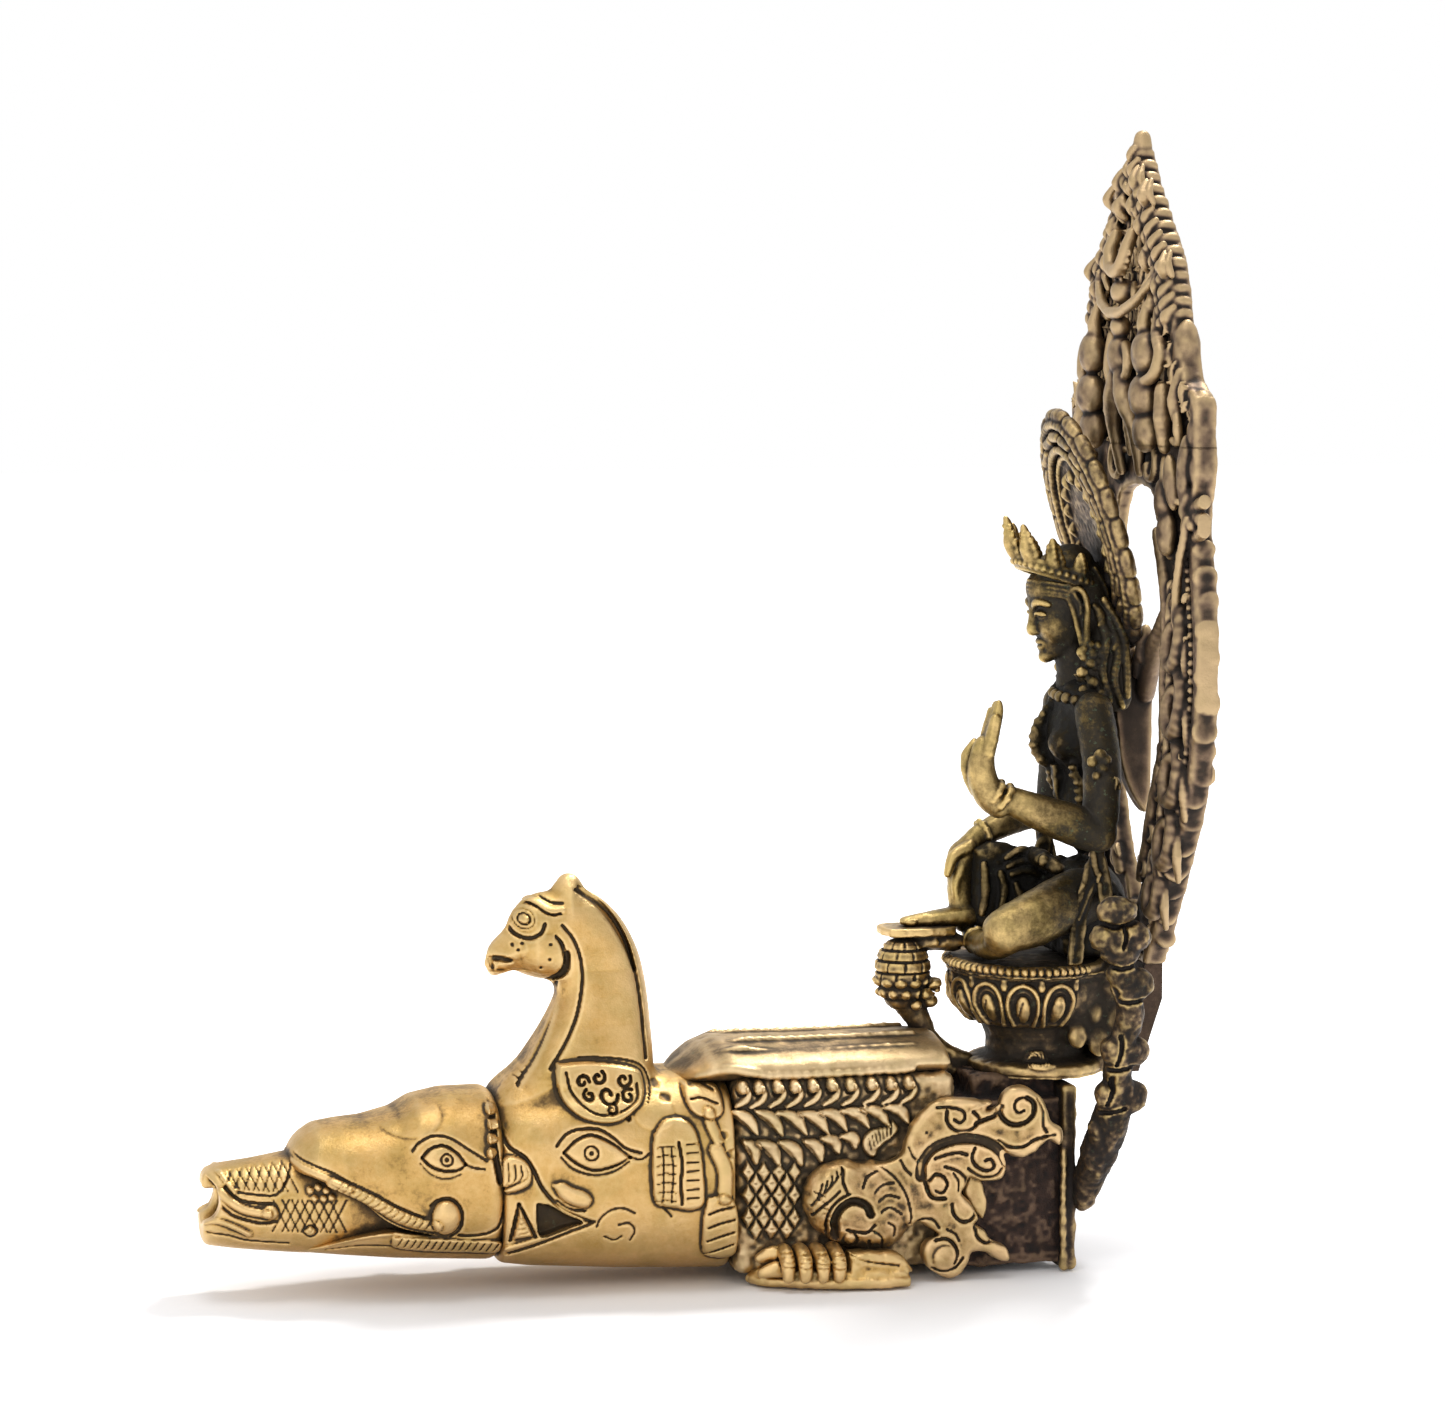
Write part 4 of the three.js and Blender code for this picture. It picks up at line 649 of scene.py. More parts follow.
def metal(name, dirt_and_shade, patina, body, bright, rough=(0.62, 0.36), shift=0.0, green=0.0, metallic=(0.55, 1.0),
          grain=1.0, spread=1.0, level_slope=None, mottle=1.0):
    """Cast brass: dark in its hollows with patina and painted shade, dark with painted shade where other
    parts crowd it, worn bright on its ridges, pitted and blotched.

    shift brightens it, spread sharpens it, mottle blotches it, and level_slope (from, to, amount, axis) makes
    one end brighter than the other, between two places in mm; for some metals this paints light falling on
    one side.
    """
    material = bpy.data.materials.new(name)
    material.use_nodes = True
    tree = material.node_tree
    shader = tree.nodes["Principled BSDF"]
    place = tree.nodes.new("ShaderNodeTexCoord").outputs["Object"]

    def node(kind, **settings):
        made = tree.nodes.new(kind)
        for key, value in settings.items():
            setattr(made, key, value)
        return made

    def plug(socket, value):
        if hasattr(value, "links"):
            tree.links.new(value, socket)
        else:
            socket.default_value = value

    def maths(operation, a, b, c=None):
        made = node("ShaderNodeMath", operation=operation)
        for socket, value in zip(made.inputs, (a, b, c)):
            if value is not None:
                plug(socket, value)
        return made.outputs[0]

    def noise(size, detail=3.0, roughness=0.6):
        made = node("ShaderNodeTexNoise")
        tree.links.new(place, made.inputs["Vector"])
        made.inputs["Scale"].default_value = 1 / (size * MM)
        made.inputs["Detail"].default_value = detail
        made.inputs["Roughness"].default_value = roughness
        return made.outputs["Fac"]

    def spread_over(value, source, goal):
        made = node("ShaderNodeMapRange")
        tree.links.new(value, made.inputs["Value"])
        made.inputs["From Min"].default_value, made.inputs["From Max"].default_value = source
        made.inputs["To Min"].default_value, made.inputs["To Max"].default_value = goal
        return made.outputs["Result"]

    def mix(factor, a, b, blend="MIX"):
        made = node("ShaderNodeMix", data_type="RGBA", blend_type=blend)
        plug(made.inputs["Factor"], factor)
        plug(made.inputs["A"], a if hasattr(a, "links") else (*a, 1))
        plug(made.inputs["B"], b if hasattr(b, "links") else (*b, 1))
        return made.outputs["Result"]

    cavity = node("ShaderNodeAttribute", attribute_name="cavity").outputs["Fac"]
    # near and far: how crowded the space round the skin is; the level below darkens crowded places as painted
    # shade between and under parts
    near = node("ShaderNodeAttribute", attribute_name="near").outputs["Fac"]
    far = node("ShaderNodeAttribute", attribute_name="far").outputs["Fac"]
    blotch = noise(5.0, 4.0, 0.65)
    speck = noise(0.9, 4.0, 0.7)
    # The level: hollows darken with patina and painted shade, crowded places with painted shade, blotches and
    # specks at random
    level = maths("MULTIPLY_ADD", cavity, HOLLOW * spread, 0.5 + shift)
    level = maths("MULTIPLY_ADD", maths("SUBTRACT", 0.5, near), CLOSE_SHADE * spread, level)
    level = maths("MULTIPLY_ADD", maths("SUBTRACT", 0.42, far), CROWDED_SHADE * spread, level)
    level = maths("MULTIPLY_ADD", maths("SUBTRACT", blotch, 0.5), BLOTCH * mottle, level)
    level = maths("MULTIPLY_ADD", maths("SUBTRACT", speck, 0.5), SPECK * mottle, level)
    # level_slope: the level rises towards one place and falls towards another along an axis
    if level_slope:
        start, end, amount, axis = level_slope
        axes = node("ShaderNodeSeparateXYZ")
        tree.links.new(place, axes.inputs[0])
        level = maths("ADD", spread_over(axes.outputs[axis], (start * MM, end * MM), (amount, -amount)),
                      level)
    colours = node("ShaderNodeValToRGB")
    steps = colours.color_ramp.elements
    steps[0].position, steps[0].color = DIRT_AND_SHADE_AT, (*dirt_and_shade, 1)
    steps[1].position, steps[1].color = BRIGHT_AT, (*bright, 1)
    for position, colour in ((PATINA_AT, patina), (BODY_AT, body)):
        steps.new(position).color = (*colour, 1)
    tree.links.new(level, colours.inputs["Fac"])
    tint = mix(maths("MULTIPLY", noise(2.2, 2.0, 0.5), 0.5), colours.outputs["Color"],
               tuple(0.82 * c for c in body))
    tint = mix(0.72, tint, colours.outputs["Color"])
    stain = maths("MULTIPLY", maths("SUBTRACT", noise(8.0, 3.0, 0.6), 0.42), 2.4 * mottle)
    stain = maths("MINIMUM", maths("MAXIMUM", stain, 0.0), 0.7)
    tint = mix(stain, tint, mix(1.0, tint, STAIN, "MULTIPLY"))
    if green:
        mould = maths("MULTIPLY", maths("GREATER_THAN", noise(1.6, 3.0, 0.7), 0.64),
                      maths("LESS_THAN", level, 0.46))
        tint = mix(maths("MULTIPLY", mould, green), tint, MOULD)
    tree.links.new(tint, shader.inputs["Base Color"])
    tree.links.new(spread_over(level, (0.25, 0.6), rough), shader.inputs["Roughness"])
    tree.links.new(spread_over(level, (0.25, 0.5), metallic), shader.inputs["Metallic"])
    height = maths("MULTIPLY_ADD", noise(0.45, 3.0, 0.7), 0.5, maths("MULTIPLY", noise(1.8, 4.0, 0.6), 1.0))
    bump = node("ShaderNodeBump")
    bump.inputs["Strength"].default_value = 0.55
    bump.inputs["Distance"].default_value = GRAIN * grain
    tree.links.new(height, bump.inputs["Height"])
    tree.links.new(bump.outputs["Normal"], shader.inputs["Normal"])
    return material


# Each metal: its dirt-and-shade, patina, body and bright colours, then its shift, spread, mottle and level
# slope
# polished_brass: level_slope lightens the rear head (towards x = -5) and darkens the front head (towards x =
# -48); the lighter rear is painted light bounced up from the floor
GOLD = metal("polished_brass", (0.022, 0.014, 0.008), (0.14, 0.082, 0.032), (0.56, 0.345, 0.118),
             (0.72, 0.50, 0.235), rough=(0.62, 0.40), shift=0.09, green=0.25, spread=1.25, mottle=1.25,
             level_slope=(-5, -48, 0.07, "X"))
OLIVE = metal("scroll_brass", (0.022, 0.014, 0.008), (0.11, 0.070, 0.034), (0.46, 0.295, 0.135),
              (0.72, 0.50, 0.26), rough=(0.64, 0.42), shift=-0.03, green=0.55, spread=1.3, mottle=1.6)
AGED = metal("aged_brass", (0.026, 0.018, 0.010), (0.14, 0.094, 0.050), (0.45, 0.315, 0.165),
             (0.72, 0.54, 0.31), rough=(0.66, 0.42), shift=0.03, green=0.3, spread=0.9)
RUST = metal("rough_brass", (0.012, 0.008, 0.007), (0.032, 0.018, 0.014), (0.062, 0.037, 0.028),
             (0.20, 0.125, 0.08), rough=(0.85, 0.6), shift=-0.05, grain=3.0, metallic=(0.2, 0.7))
THRONE = metal("throne_brass", (0.014, 0.010, 0.007), (0.060, 0.041, 0.026), (0.24, 0.165, 0.085),
               (0.70, 0.49, 0.22), rough=(0.7, 0.4), shift=-0.13, green=0.3, level_slope=(66, 92, 0.07, "X"),
               mottle=1.3)
# figure_brass: level_slope lightens the figure's front (towards x = 71) and darkens its back (towards x =
# 88): painted light where the key lamp falls on knee and hand, painted shade behind
SKIN = metal("figure_brass", (0.010, 0.008, 0.006), (0.034, 0.026, 0.015), (0.17, 0.118, 0.050),
             (0.62, 0.44, 0.18), rough=(0.62, 0.36), shift=-0.09, green=0.45, spread=0.62,
             level_slope=(71, 88, 0.19, "X"), mottle=1.9)
LEAF = metal("aureole_brass", (0.014, 0.010, 0.008), (0.050, 0.035, 0.026), (0.17, 0.115, 0.078),
             (0.50, 0.36, 0.20), rough=(0.75, 0.48), shift=-0.13, green=0.1, mottle=0.55,
             level_slope=(210, 130, 0.08, "Z"))
DISH = metal("nimbus_brass", (0.010, 0.007, 0.006), (0.034, 0.023, 0.016), (0.12, 0.080, 0.050),
             (0.60, 0.43, 0.20), rough=(0.72, 0.42), shift=-0.78, green=0.15, spread=1.3, mottle=1.4)
TWIG = metal("branch_brass", (0.010, 0.007, 0.006), (0.034, 0.023, 0.016), (0.12, 0.082, 0.052),
             (0.52, 0.37, 0.17), rough=(0.72, 0.42), shift=-0.27, green=0.15, mottle=1.7)
BARE = metal("bare_brass", (0.010, 0.007, 0.006), (0.028, 0.019, 0.015), (0.085, 0.057, 0.042),
             (0.36, 0.25, 0.13), rough=(0.75, 0.48), shift=-0.6)
# For the torso, hips, ribbons and drape: near black, partly dark patina and partly painted shade on a body
# that faces away from the light
SHADED_DARK_SKIN = metal("dark_and_shaded_figure_brass", (0.006, 0.005, 0.004), (0.013, 0.011, 0.008), (0.032, 0.024, 0.014),
                 (0.34, 0.24, 0.11), rough=(0.7, 0.45), shift=-0.13, green=0.2, spread=0.7, mottle=1.4)

# The sky's strength for all but what the camera sees, and the lamps: place, size, watts and target in metres
SKY = 0.68
LAMPS = (
    ("key", (-0.75, -0.9, 0.8), 0.6, 1.3, (0, 0, 0.08)),
    ("top", (-0.15, -0.1, 1.3), 0.5, 3.0, (-0.02, -0.05, 0)),
    ("fill", (-0.35, -0.9, 0.06), 0.7, 0.5, (0, 0, 0.08)),
    ("rim", (0.55, 0.5, 1.2), 0.22, 10, (0, 0, 0.08)),
)
# The floor's half width, and the glow that lifts it to white, between two distances from the object
FLOOR, FLOOR_COLOUR = 6, (0.94, 0.93, 0.94, 1)
FADE, GLOW = (0.035, 0.14), 0.62


def camera_rays(tree):
    """1 for the rays that shall see white: straight from the camera, mirrored or passed on."""
    path = tree.nodes.new("ShaderNodeLightPath")
    seen = path.outputs["Is Camera Ray"]
    for kind in ("Is Glossy Ray", "Is Transmission Ray"):
        either = tree.nodes.new("ShaderNodeMath")
        either.operation = "MAXIMUM"
        tree.links.new(seen, either.inputs[0])
        tree.links.new(path.outputs[kind], either.inputs[1])
        seen = either.outputs[0]
    return seen


def studio():
    """The photo's camera, a white sky, four lamps and a floor that fades to white."""
    scene = bpy.context.scene
    scene.view_settings.view_transform = "Standard"
    world = bpy.data.worlds.new("studio")
    world.use_nodes = True
    scene.world = world
    tree = world.node_tree
    background = tree.nodes["Background"]
    background.inputs["Color"].default_value = (1, 1, 1, 1)
    strength = tree.nodes.new("ShaderNodeMapRange")
    tree.links.new(camera_rays(tree), strength.inputs["Value"])
    strength.inputs["To Min"].default_value = SKY
    strength.inputs["To Max"].default_value = 1.0
    tree.links.new(strength.outputs["Result"], background.inputs["Strength"])

    data = bpy.data.cameras.new("camera")
    data.sensor_fit = "HORIZONTAL"
    data.sensor_width = SENSOR
    data.lens = LENS
    data.clip_start = 0.01
    camera = bpy.data.objects.new("camera", data)
    turn = Matrix([tuple(row) for row in (RIGHT, UPWARD, -LOOK)]).transposed().to_4x4()
    camera.matrix_world = Matrix.Translation(Vector(EYE * MM)) @ turn
    scene.collection.objects.link(camera)
    scene.camera = camera

    for name, spot, size, power, target in LAMPS:
        light = bpy.data.lights.new(name, "AREA")
        light.shape = "DISK"
        light.size = size
        light.energy = power
        holder = bpy.data.objects.new(name, light)
        holder.location = spot
        aim = Vector(target) - Vector(spot)
        holder.rotation_euler = aim.to_track_quat("-Z", "Y").to_euler()
        scene.collection.objects.link(holder)

    mesh = bpy.data.meshes.new("floor")
    corners = [(-FLOOR, -FLOOR, 0), (FLOOR, -FLOOR, 0), (FLOOR, FLOOR, 0), (-FLOOR, FLOOR, 0)]
    mesh.from_pydata(corners, [], [(0, 1, 2, 3)])
    floor = bpy.data.objects.new("floor", mesh)
    scene.collection.objects.link(floor)
    material = bpy.data.materials.new("floor")
    material.use_nodes = True
    tree = material.node_tree
    shader = tree.nodes["Principled BSDF"]
    shader.inputs["Base Color"].default_value = FLOOR_COLOUR
    shader.inputs["Roughness"].default_value = 0.9
    shader.inputs["Specular IOR Level"].default_value = 0
    shader.inputs["Emission Color"].default_value = (1, 1, 1, 1)
    coordinates = tree.nodes.new("ShaderNodeTexCoord")
    squash = tree.nodes.new("ShaderNodeVectorMath")
    squash.operation = "MULTIPLY"
    tree.links.new(coordinates.outputs["Object"], squash.inputs[0])
    squash.inputs[1].default_value = (0.5, 1.0, 1.0)
    distance = tree.nodes.new("ShaderNodeVectorMath")
    distance.operation = "LENGTH"
    tree.links.new(squash.outputs["Vector"], distance.inputs[0])
    fade = tree.nodes.new("ShaderNodeMapRange")
    tree.links.new(distance.outputs["Value"], fade.inputs["Value"])
    fade.inputs["From Min"].default_value, fade.inputs["From Max"].default_value = FADE
    fade.inputs["To Min"].default_value = 0.0
    fade.inputs["To Max"].default_value = GLOW
    glow = tree.nodes.new("ShaderNodeMath")
    glow.operation = "MULTIPLY"
    tree.links.new(camera_rays(tree), glow.inputs[0])
    tree.links.new(fade.outputs["Result"], glow.inputs[1])
    tree.links.new(glow.outputs[0], shader.inputs["Emission Strength"])
    mesh.materials.append(material)


def xz(points, y):
    """Pixels as (x, z) tuples on the upright plane at y."""
    return [tuple(p) for p in side(points, y)]


def nozzle():
    """The small fish snout at the front end, with its open mouth, tongue and cross-hatched scales."""
    clay = Clay((-109, -13.5, 8), (-60, 0, 36), CELL)
    top = side([(196, 1176), (203, 1169), (216, 1164), (250, 1159), (290, 1151), (340, 1150), (400, 1150)], 0)
    bottom = side([(196, 1243), (206, 1247), (234, 1250), (262, 1252), (300, 1254), (400, 1254)], -4)
    half = [(-107.5, 7.2), (-105, 8.6), (-98, 9.6), (-90, 10.8), (-82, 11.3), (-60, 11.4)]
    clay.add(hull(-107.5, -63.8, top, bottom, half, 2.5, 1.6), 0.1)
    clay.add(segment((-112, 0, 20.6), (-64, 0, 20.6), 4.2, 4.2), 0.8, True)
    mouth = [(192, 1180), (208, 1181), (218, 1190), (220, 1206), (214, 1219), (203, 1224), (192, 1226)]
    clay.cut(prism(side(mouth, -8), -14, -3), 1.0)
    r = Relief(clay)
    r.plane = -10.5
    snout = (
        ([(199, 1176), (210, 1172), (221, 1176), (229, 1186), (236, 1194)], 1.1, 0.7),
        ([(205, 1172), (206, 1168)], 0.6, 0.3),
        ([(202, 1228), (212, 1224), (222, 1224), (236, 1229), (250, 1236)], 1.2, 0.7),
        ([(222, 1194), (231, 1203), (243, 1210), (256, 1213), (268, 1214)], 2.0, 1.1),
        ((270, 1213), (1.9, 1.6), 1.2),
        ([(226, 1190), (240, 1201), (256, 1204), (272, 1204)], 0.6, -0.55),
        ([(220, 1206), (232, 1216), (246, 1221), (262, 1224), (276, 1222)], 0.7, -0.6),
        ([(208, 1236), (230, 1238), (250, 1243), (290, 1245)], 0.6, -0.4),
        ([(237, 1194), (258, 1196), (277, 1195), (290, 1178)], 0.6, -0.5),
    )
    r.draw(snout)
    for i in range(7):
        u = 226 + i * 9.5
        r.line([(u, 1192), (u + 17, 1156 - i)], 0.42, -0.34, steps=2)
        r.line([(u - 4, 1162 - i), (u + 15, 1192)], 0.42, -0.34, steps=2)
    for i in range(7):
        u = 273 + i * 9.5
        r.line([(u, 1232), (u + 16, 1200)], 0.42, -0.34, steps=2)
        r.line([(u, 1200), (u + 16, 1232)], 0.42, -0.34, steps=2)
    for u, v in ((310, 1190), (318, 1187), (326, 1190), (314, 1198), (323, 1198), (331, 1197)):
        r.dome((u, v), 0.85, 0.8)
    fish_eye = (
        ((310, 1231), 1.1, 0.8),
        ([(303, 1231), (310, 1225), (318, 1230), (311, 1237), (303, 1232)], 0.45, -0.35),
    )
    r.draw(fish_eye)
    clay.emboss(r)
    clay.mirror()
    cast(clay, "spout_nozzle_skin", ["spout_nozzle"], GOLD)


def almond(r, left, right, top, bottom, pupil, radius=1.25):
    """An almond eye: a swollen ball between two lids, with a cut ring for the pupil."""
    (lu, lv), (ru, rv) = left, right
    upper = [left, ((lu + top[0]) / 2 - 2, (lv + top[1]) / 2 - 3), top,
             ((ru + top[0]) / 2 + 2, (rv + top[1]) / 2 - 2), right]
    lower = [left, ((lu + bottom[0]) / 2 - 2, (lv + bottom[1]) / 2 + 2), bottom,
             ((ru + bottom[0]) / 2 + 2, (rv + bottom[1]) / 2 + 2), right]
    r.patch(upper + lower[-2:0:-1], 0.7, 1.6)
    r.line(upper, 0.62, -0.75)
    r.line(lower, 0.62, -0.75)
    r.line(circle(*pupil, radius * MM_PIXELS), 0.5, -0.6)
    r.dome(pupil, 0.6, -0.7)


def front_head():
    """The front makara head: almond eye, lip line, striped tusk and strap of beads."""
    clay = Clay((-91.5, -21, 5), (-41.5, 0, 47.5), CELL)
    top = side([(284, 1152), (289, 1142), (299, 1132), (313, 1123), (336, 1119), (361, 1116), (393, 1107),
                (412, 1095), (441, 1088), (482, 1086), (520, 1085)], 0)
    bottom = side([(284, 1252), (300, 1259), (400, 1264), (500, 1265), (530, 1266)], -10)
    half = [(-89.4, 7.6), (-87.6, 10.8), (-84, 13.4), (-78, 15.4), (-68, 16.8), (-58, 17.9), (-44, 18.4)]
    clay.add(hull(-89.6, -43.6, top, bottom, half, 2.5, 3.4), 0.1)
    mouth = [(270, 1156), (289, 1168), (300, 1176), (316, 1180), (332, 1186), (349, 1194), (366, 1204),
             (383, 1218), (404, 1228), (432, 1234), (410, 1233), (390, 1231), (366, 1236), (340, 1244),
             (318, 1253), (300, 1257), (270, 1258)]
    clay.cut(prism(side(mouth, -14), -24, 2, 0.5), 0.7)
    r = Relief(clay)
    r.plane = -16.5
    lips = (
        ([(298, 1133), (296, 1150), (301, 1163), (318, 1170), (333, 1175), (350, 1184), (374, 1195),
          (400, 1208), (427, 1219)], 0.55, -0.5),
        ([(291, 1152), (294, 1167), (307, 1174), (329, 1181), (349, 1190)], 1.5, 0.6),
        ([(334, 1186), (354, 1193), (374, 1202), (394, 1214), (414, 1222), (434, 1226)], 2.9, 1.2),
    )
    r.draw(lips)
    r.ticks([(334, 1186), (354, 1193), (374, 1202), (394, 1214), (414, 1222), (434, 1226)], 2.3, 1.45, 0.45,
            -0.45, 0.3)
    jowl = (
        ([(331, 1191), (352, 1199), (371, 1209), (392, 1222), (412, 1230), (434, 1233)], 0.6, -0.5),
        ((445, 1217), (3.2, 3.9), 2.3),
        ([(430, 1205), (438, 1199), (450, 1198), (459, 1206), (462, 1218), (459, 1231), (451, 1237)], 0.6,
         -0.6),
        ([(459, 1236), (474, 1236), (489, 1233), (500, 1224), (505, 1203)], 0.7, -0.7),
    )
    r.draw(jowl)
    almond(r, (422, 1158), (465, 1164), (444, 1146), (444, 1170), (446, 1159))
    lids = (
        ([(413, 1152), (420, 1144), (435, 1137), (451, 1139), (468, 1149), (486, 1160)], 0.6, -0.55),
        ([(465, 1164), (474, 1167), (484, 1168)], 0.5, -0.5),
        ([(420, 1163), (431, 1174), (446, 1178), (460, 1173)], 0.45, -0.25),
        ((412, 1120), (7, 4.4), 0.5),
    )
    r.draw(lids)
    r.patch([(394, 1238), (430, 1239), (470, 1241), (504, 1243), (504, 1256), (470, 1256), (430, 1255),
             (396, 1250)], 0.8, 0.8)
    r.ticks([(394, 1244), (430, 1247), (470, 1248), (504, 1250)], 2.0, 1.5, 0.45, -0.5, 0.35)
    chin = (
        ([(304, 1258), (340, 1247), (366, 1240), (392, 1236)], 0.9, 0.35),
        ([(330, 1257), (360, 1250), (392, 1249)], 0.5, -0.35),
        ([(497, 1092), (495, 1120), (494, 1150), (500, 1180)], 1.6, -0.9),
    )
    r.draw(chin)
    for u, v in ((494, 1113), (494, 1126), (492, 1139), (491, 1152)):
        r.dome((u, v), 1.25, 1.7)
    clay.emboss(r)
    clay.mirror()
    cast(clay, "front_head_skin", ["front_makara_head"], GOLD)


def rear_head():
    """The rear makara head with its ear and wing medallion, and the bird's neck and head on it."""
    clay = Clay((-50, -23.5, 1.5), (9, 0, 92.5), CELL)
    top = [(-50, 34), (-44, 38), (-38, 41.5), (-30, 44.6), (-20, 46), (-5, 46), (10, 45.6)]
    bottom = side([(488, 1264), (500, 1268), (530, 1271), (620, 1273), (740, 1272), (760, 1272)], -12)
    half = [(-50, 17), (-44, 18.6), (-36, 19.4), (-20, 20.2), (6.6, 21)]
    clay.add(hull(-44.0, 6.5, top, bottom, half, 3.0, 1.6), 0.1)
    breast = xz([(532, 1078), (516, 1090), (505, 1108), (502, 1127), (508, 1147), (524, 1159), (534, 1172),
                 (542, 1186), (558, 1180), (600, 1170), (640, 1120), (640, 1066)], -17)

    def bow(x, z):
        return np.interp(z, [24, 29, 34, 38, 42, 46, 51], [19.8, 19.4, 18.0, 15.6, 12.6, 9.6, 7]) + 0 * x

    clay.add(inflate(breast, 7, bow), 2.5)
    bird = xz([(484, 964), (488, 949), (497, 937), (505, 927), (509, 917), (514, 909), (523, 899),
               (536, 893), (549, 890), (555, 883), (564, 876), (573, 876), (580, 881), (586, 889),
               (602, 899), (620, 917), (634, 942), (642, 968), (646, 1000), (648, 1040), (648, 1068),
               (650, 1100), (505, 1100), (512, 1078), (523, 1058), (537, 1034), (549, 1010), (555, 994),
               (553, 984), (546, 979), (535, 977), (524, 974), (513, 970), (502, 973), (491, 975)], 0)

    def breadth(x, z):
        high = np.clip((z - 46) / 46, 0, 1)
        snout = np.clip((x + 45.5) / 11, 0.0, 1)
        low = np.interp(high, [0, 0.25, 0.5, 0.66, 0.8, 1], [13.0, 9.6, 7.2, 6.6, 6.2, 3.4])
        return low * np.where(high > 0.5, 0.22 + 0.78 * snout ** 0.8, 1)

    clay.add(inflate(bird, 7.5, breadth), 3.0)
    knob = side([(568, 881), (568, 882)], 0)
    clay.add(blob((knob[0][0], 0, knob[1][1]), (1.9, 1.9, 1.6)), 1.2)
    r = Relief(clay)
    r.plane = -18.5
    breast_line = [(517, 1073), (508, 1090), (504, 1105), (503, 1127), (509, 1147), (525, 1158),
                   (534, 1172), (542, 1188), (558, 1206), (574, 1215), (590, 1221)]
    r.line(breast_line, 0.9, -0.8)
    r.patch([(551, 1184), (562, 1181), (572, 1186), (584, 1190), (591, 1198), (586, 1206), (574, 1205),
             (560, 1198)], 1.1, 1.4)
    r.line([(556, 1200), (568, 1208), (584, 1210)], 0.6, -0.7)
    r.patch([(500, 1160), (512, 1156), (526, 1161), (531, 1172), (527, 1186), (502, 1192)], 1.3, 1.1)
    for k in range(4):
        r.line([(502, 1190), (508 + 6 * k, 1180 - k), (508 + 6 * k, 1163 + k)], 0.42, -0.4)
    fork = (
        ([(519, 1204), (515, 1222), (511, 1242)], 0.7, -0.7),
        ([(519, 1204), (528, 1222), (536, 1237)], 0.7, -0.7),
    )
    r.draw(fork)
    r.patch([(519, 1206), (513, 1240), (533, 1236)], 1.4, 1.0, False)
    r.ticks([(518, 1214), (524, 1238)], 2.2, 1.1, 0.4, -0.35)
    r.patch([(536, 1203), (550, 1205), (566, 1214), (583, 1222), (566, 1229), (546, 1237), (538, 1232)],
            -2.6, 1.0)
    jaw = (
        ([(500, 1261), (520, 1253), (546, 1242), (566, 1233), (584, 1226), (594, 1221)], 0.8, -0.7),
        ([(500, 1254), (520, 1247), (546, 1237), (566, 1229)], 1.3, 0.6),
    )
    r.draw(jaw)
    almond(r, (563, 1152), (629, 1156), (592, 1135), (593, 1169), (590, 1152), 1.5)
    lids = (
        ([(556, 1146), (566, 1135), (578, 1130), (597, 1129), (611, 1136), (624, 1147), (640, 1152)], 0.7,
         -0.7),
        ([(560, 1156), (572, 1168), (593, 1174), (613, 1170), (628, 1160)], 0.55, -0.45),
        ([(629, 1156), (640, 1158), (648, 1152)], 0.5, -0.5),
    )
    r.draw(lids)
    wing = [(562, 1068), (560, 1086), (566, 1105), (581, 1118), (600, 1123), (619, 1121), (635, 1111),
            (646, 1099), (648, 1084), (640, 1072), (600, 1066)]
    r.patch(wing, 1.7, 0.9)
    r.line([(570, 1076), (574, 1094), (587, 1109), (603, 1115), (622, 1111), (638, 1100), (640, 1086)],
           0.55, -0.65)
    for u, v, a, s, size in ((586, 1085, 0, 1, 1.5), (602, 1081, 1, -1, 1.6), (627, 1083, 0.5, -1, 1.7),
                             (592, 1098, 2, 1, 1.3), (610, 1097, 0, -1, 2.2), (630, 1098, 1, 1, 1.6),
                             (612, 1110, 1, -1, 1.2)):
        r.spiral((u, v), size, 1.0, a, 0.75, -0.95, s, 0.7)
    wing_edge = (
        ([(584, 1063), (610, 1063), (640, 1067), (652, 1076), (655, 1090), (650, 1104)], 0.55, -0.5, 0.6),
        ((629, 1119), 0.6, -0.8),
    )
    r.draw(wing_edge)
    whorls = (
        [(634, 1212), (622, 1207), (610, 1209), (600, 1217), (596, 1226)],
        [(604, 1236), (614, 1240), (621, 1236)],
        [(618, 1224), (628, 1222), (634, 1230), (630, 1240)],
    )
    for loop in whorls:
        r.line(loop, 0.5, -0.45)
    r.line([(659, 1201), (664, 1208), (670, 1215)], 0.5, -0.45)
    ear = [(652, 1133), (658, 1124), (665, 1118), (680, 1117), (692, 1125), (698, 1144), (701, 1170),
           (702, 1200), (690, 1208), (672, 1206), (654, 1202), (650, 1180), (650, 1150)]
    r.patch(ear, 1.3, 1.0)
    r.line([(676, 1140), (679, 1160), (678, 1180), (679, 1202)], 0.7, -0.9)
    for k in range(7):
        v = 1142 + 9 * k
        r.line([(684, v), (696, v - 1)], 0.4, -0.5)
        r.line([(654, v + 4), (663, v + 2), (673, v + 3)], 0.36, -0.4)
    for u in (660, 669):
        r.line([(u, 1146), (u + 1, 1170), (u, 1200)], 0.4, -0.5)
    r.patch([(688, 1080), (696, 1071), (706, 1080), (720, 1084), (724, 1108), (714, 1118), (694, 1114),
             (686, 1098)], 1.2, 1.1)
    leaf_ribs = (
        ([(694, 1088), (704, 1086), (716, 1092)], 0.6, -0.6),
        ([(692, 1100), (704, 1099), (718, 1104)], 0.6, -0.6),
        ([(708, 1112), (710, 1124), (716, 1138)], 2.6, 1.0),
        ([(714, 1148), (722, 1168), (722, 1194)], 3.4, 1.1),
    )
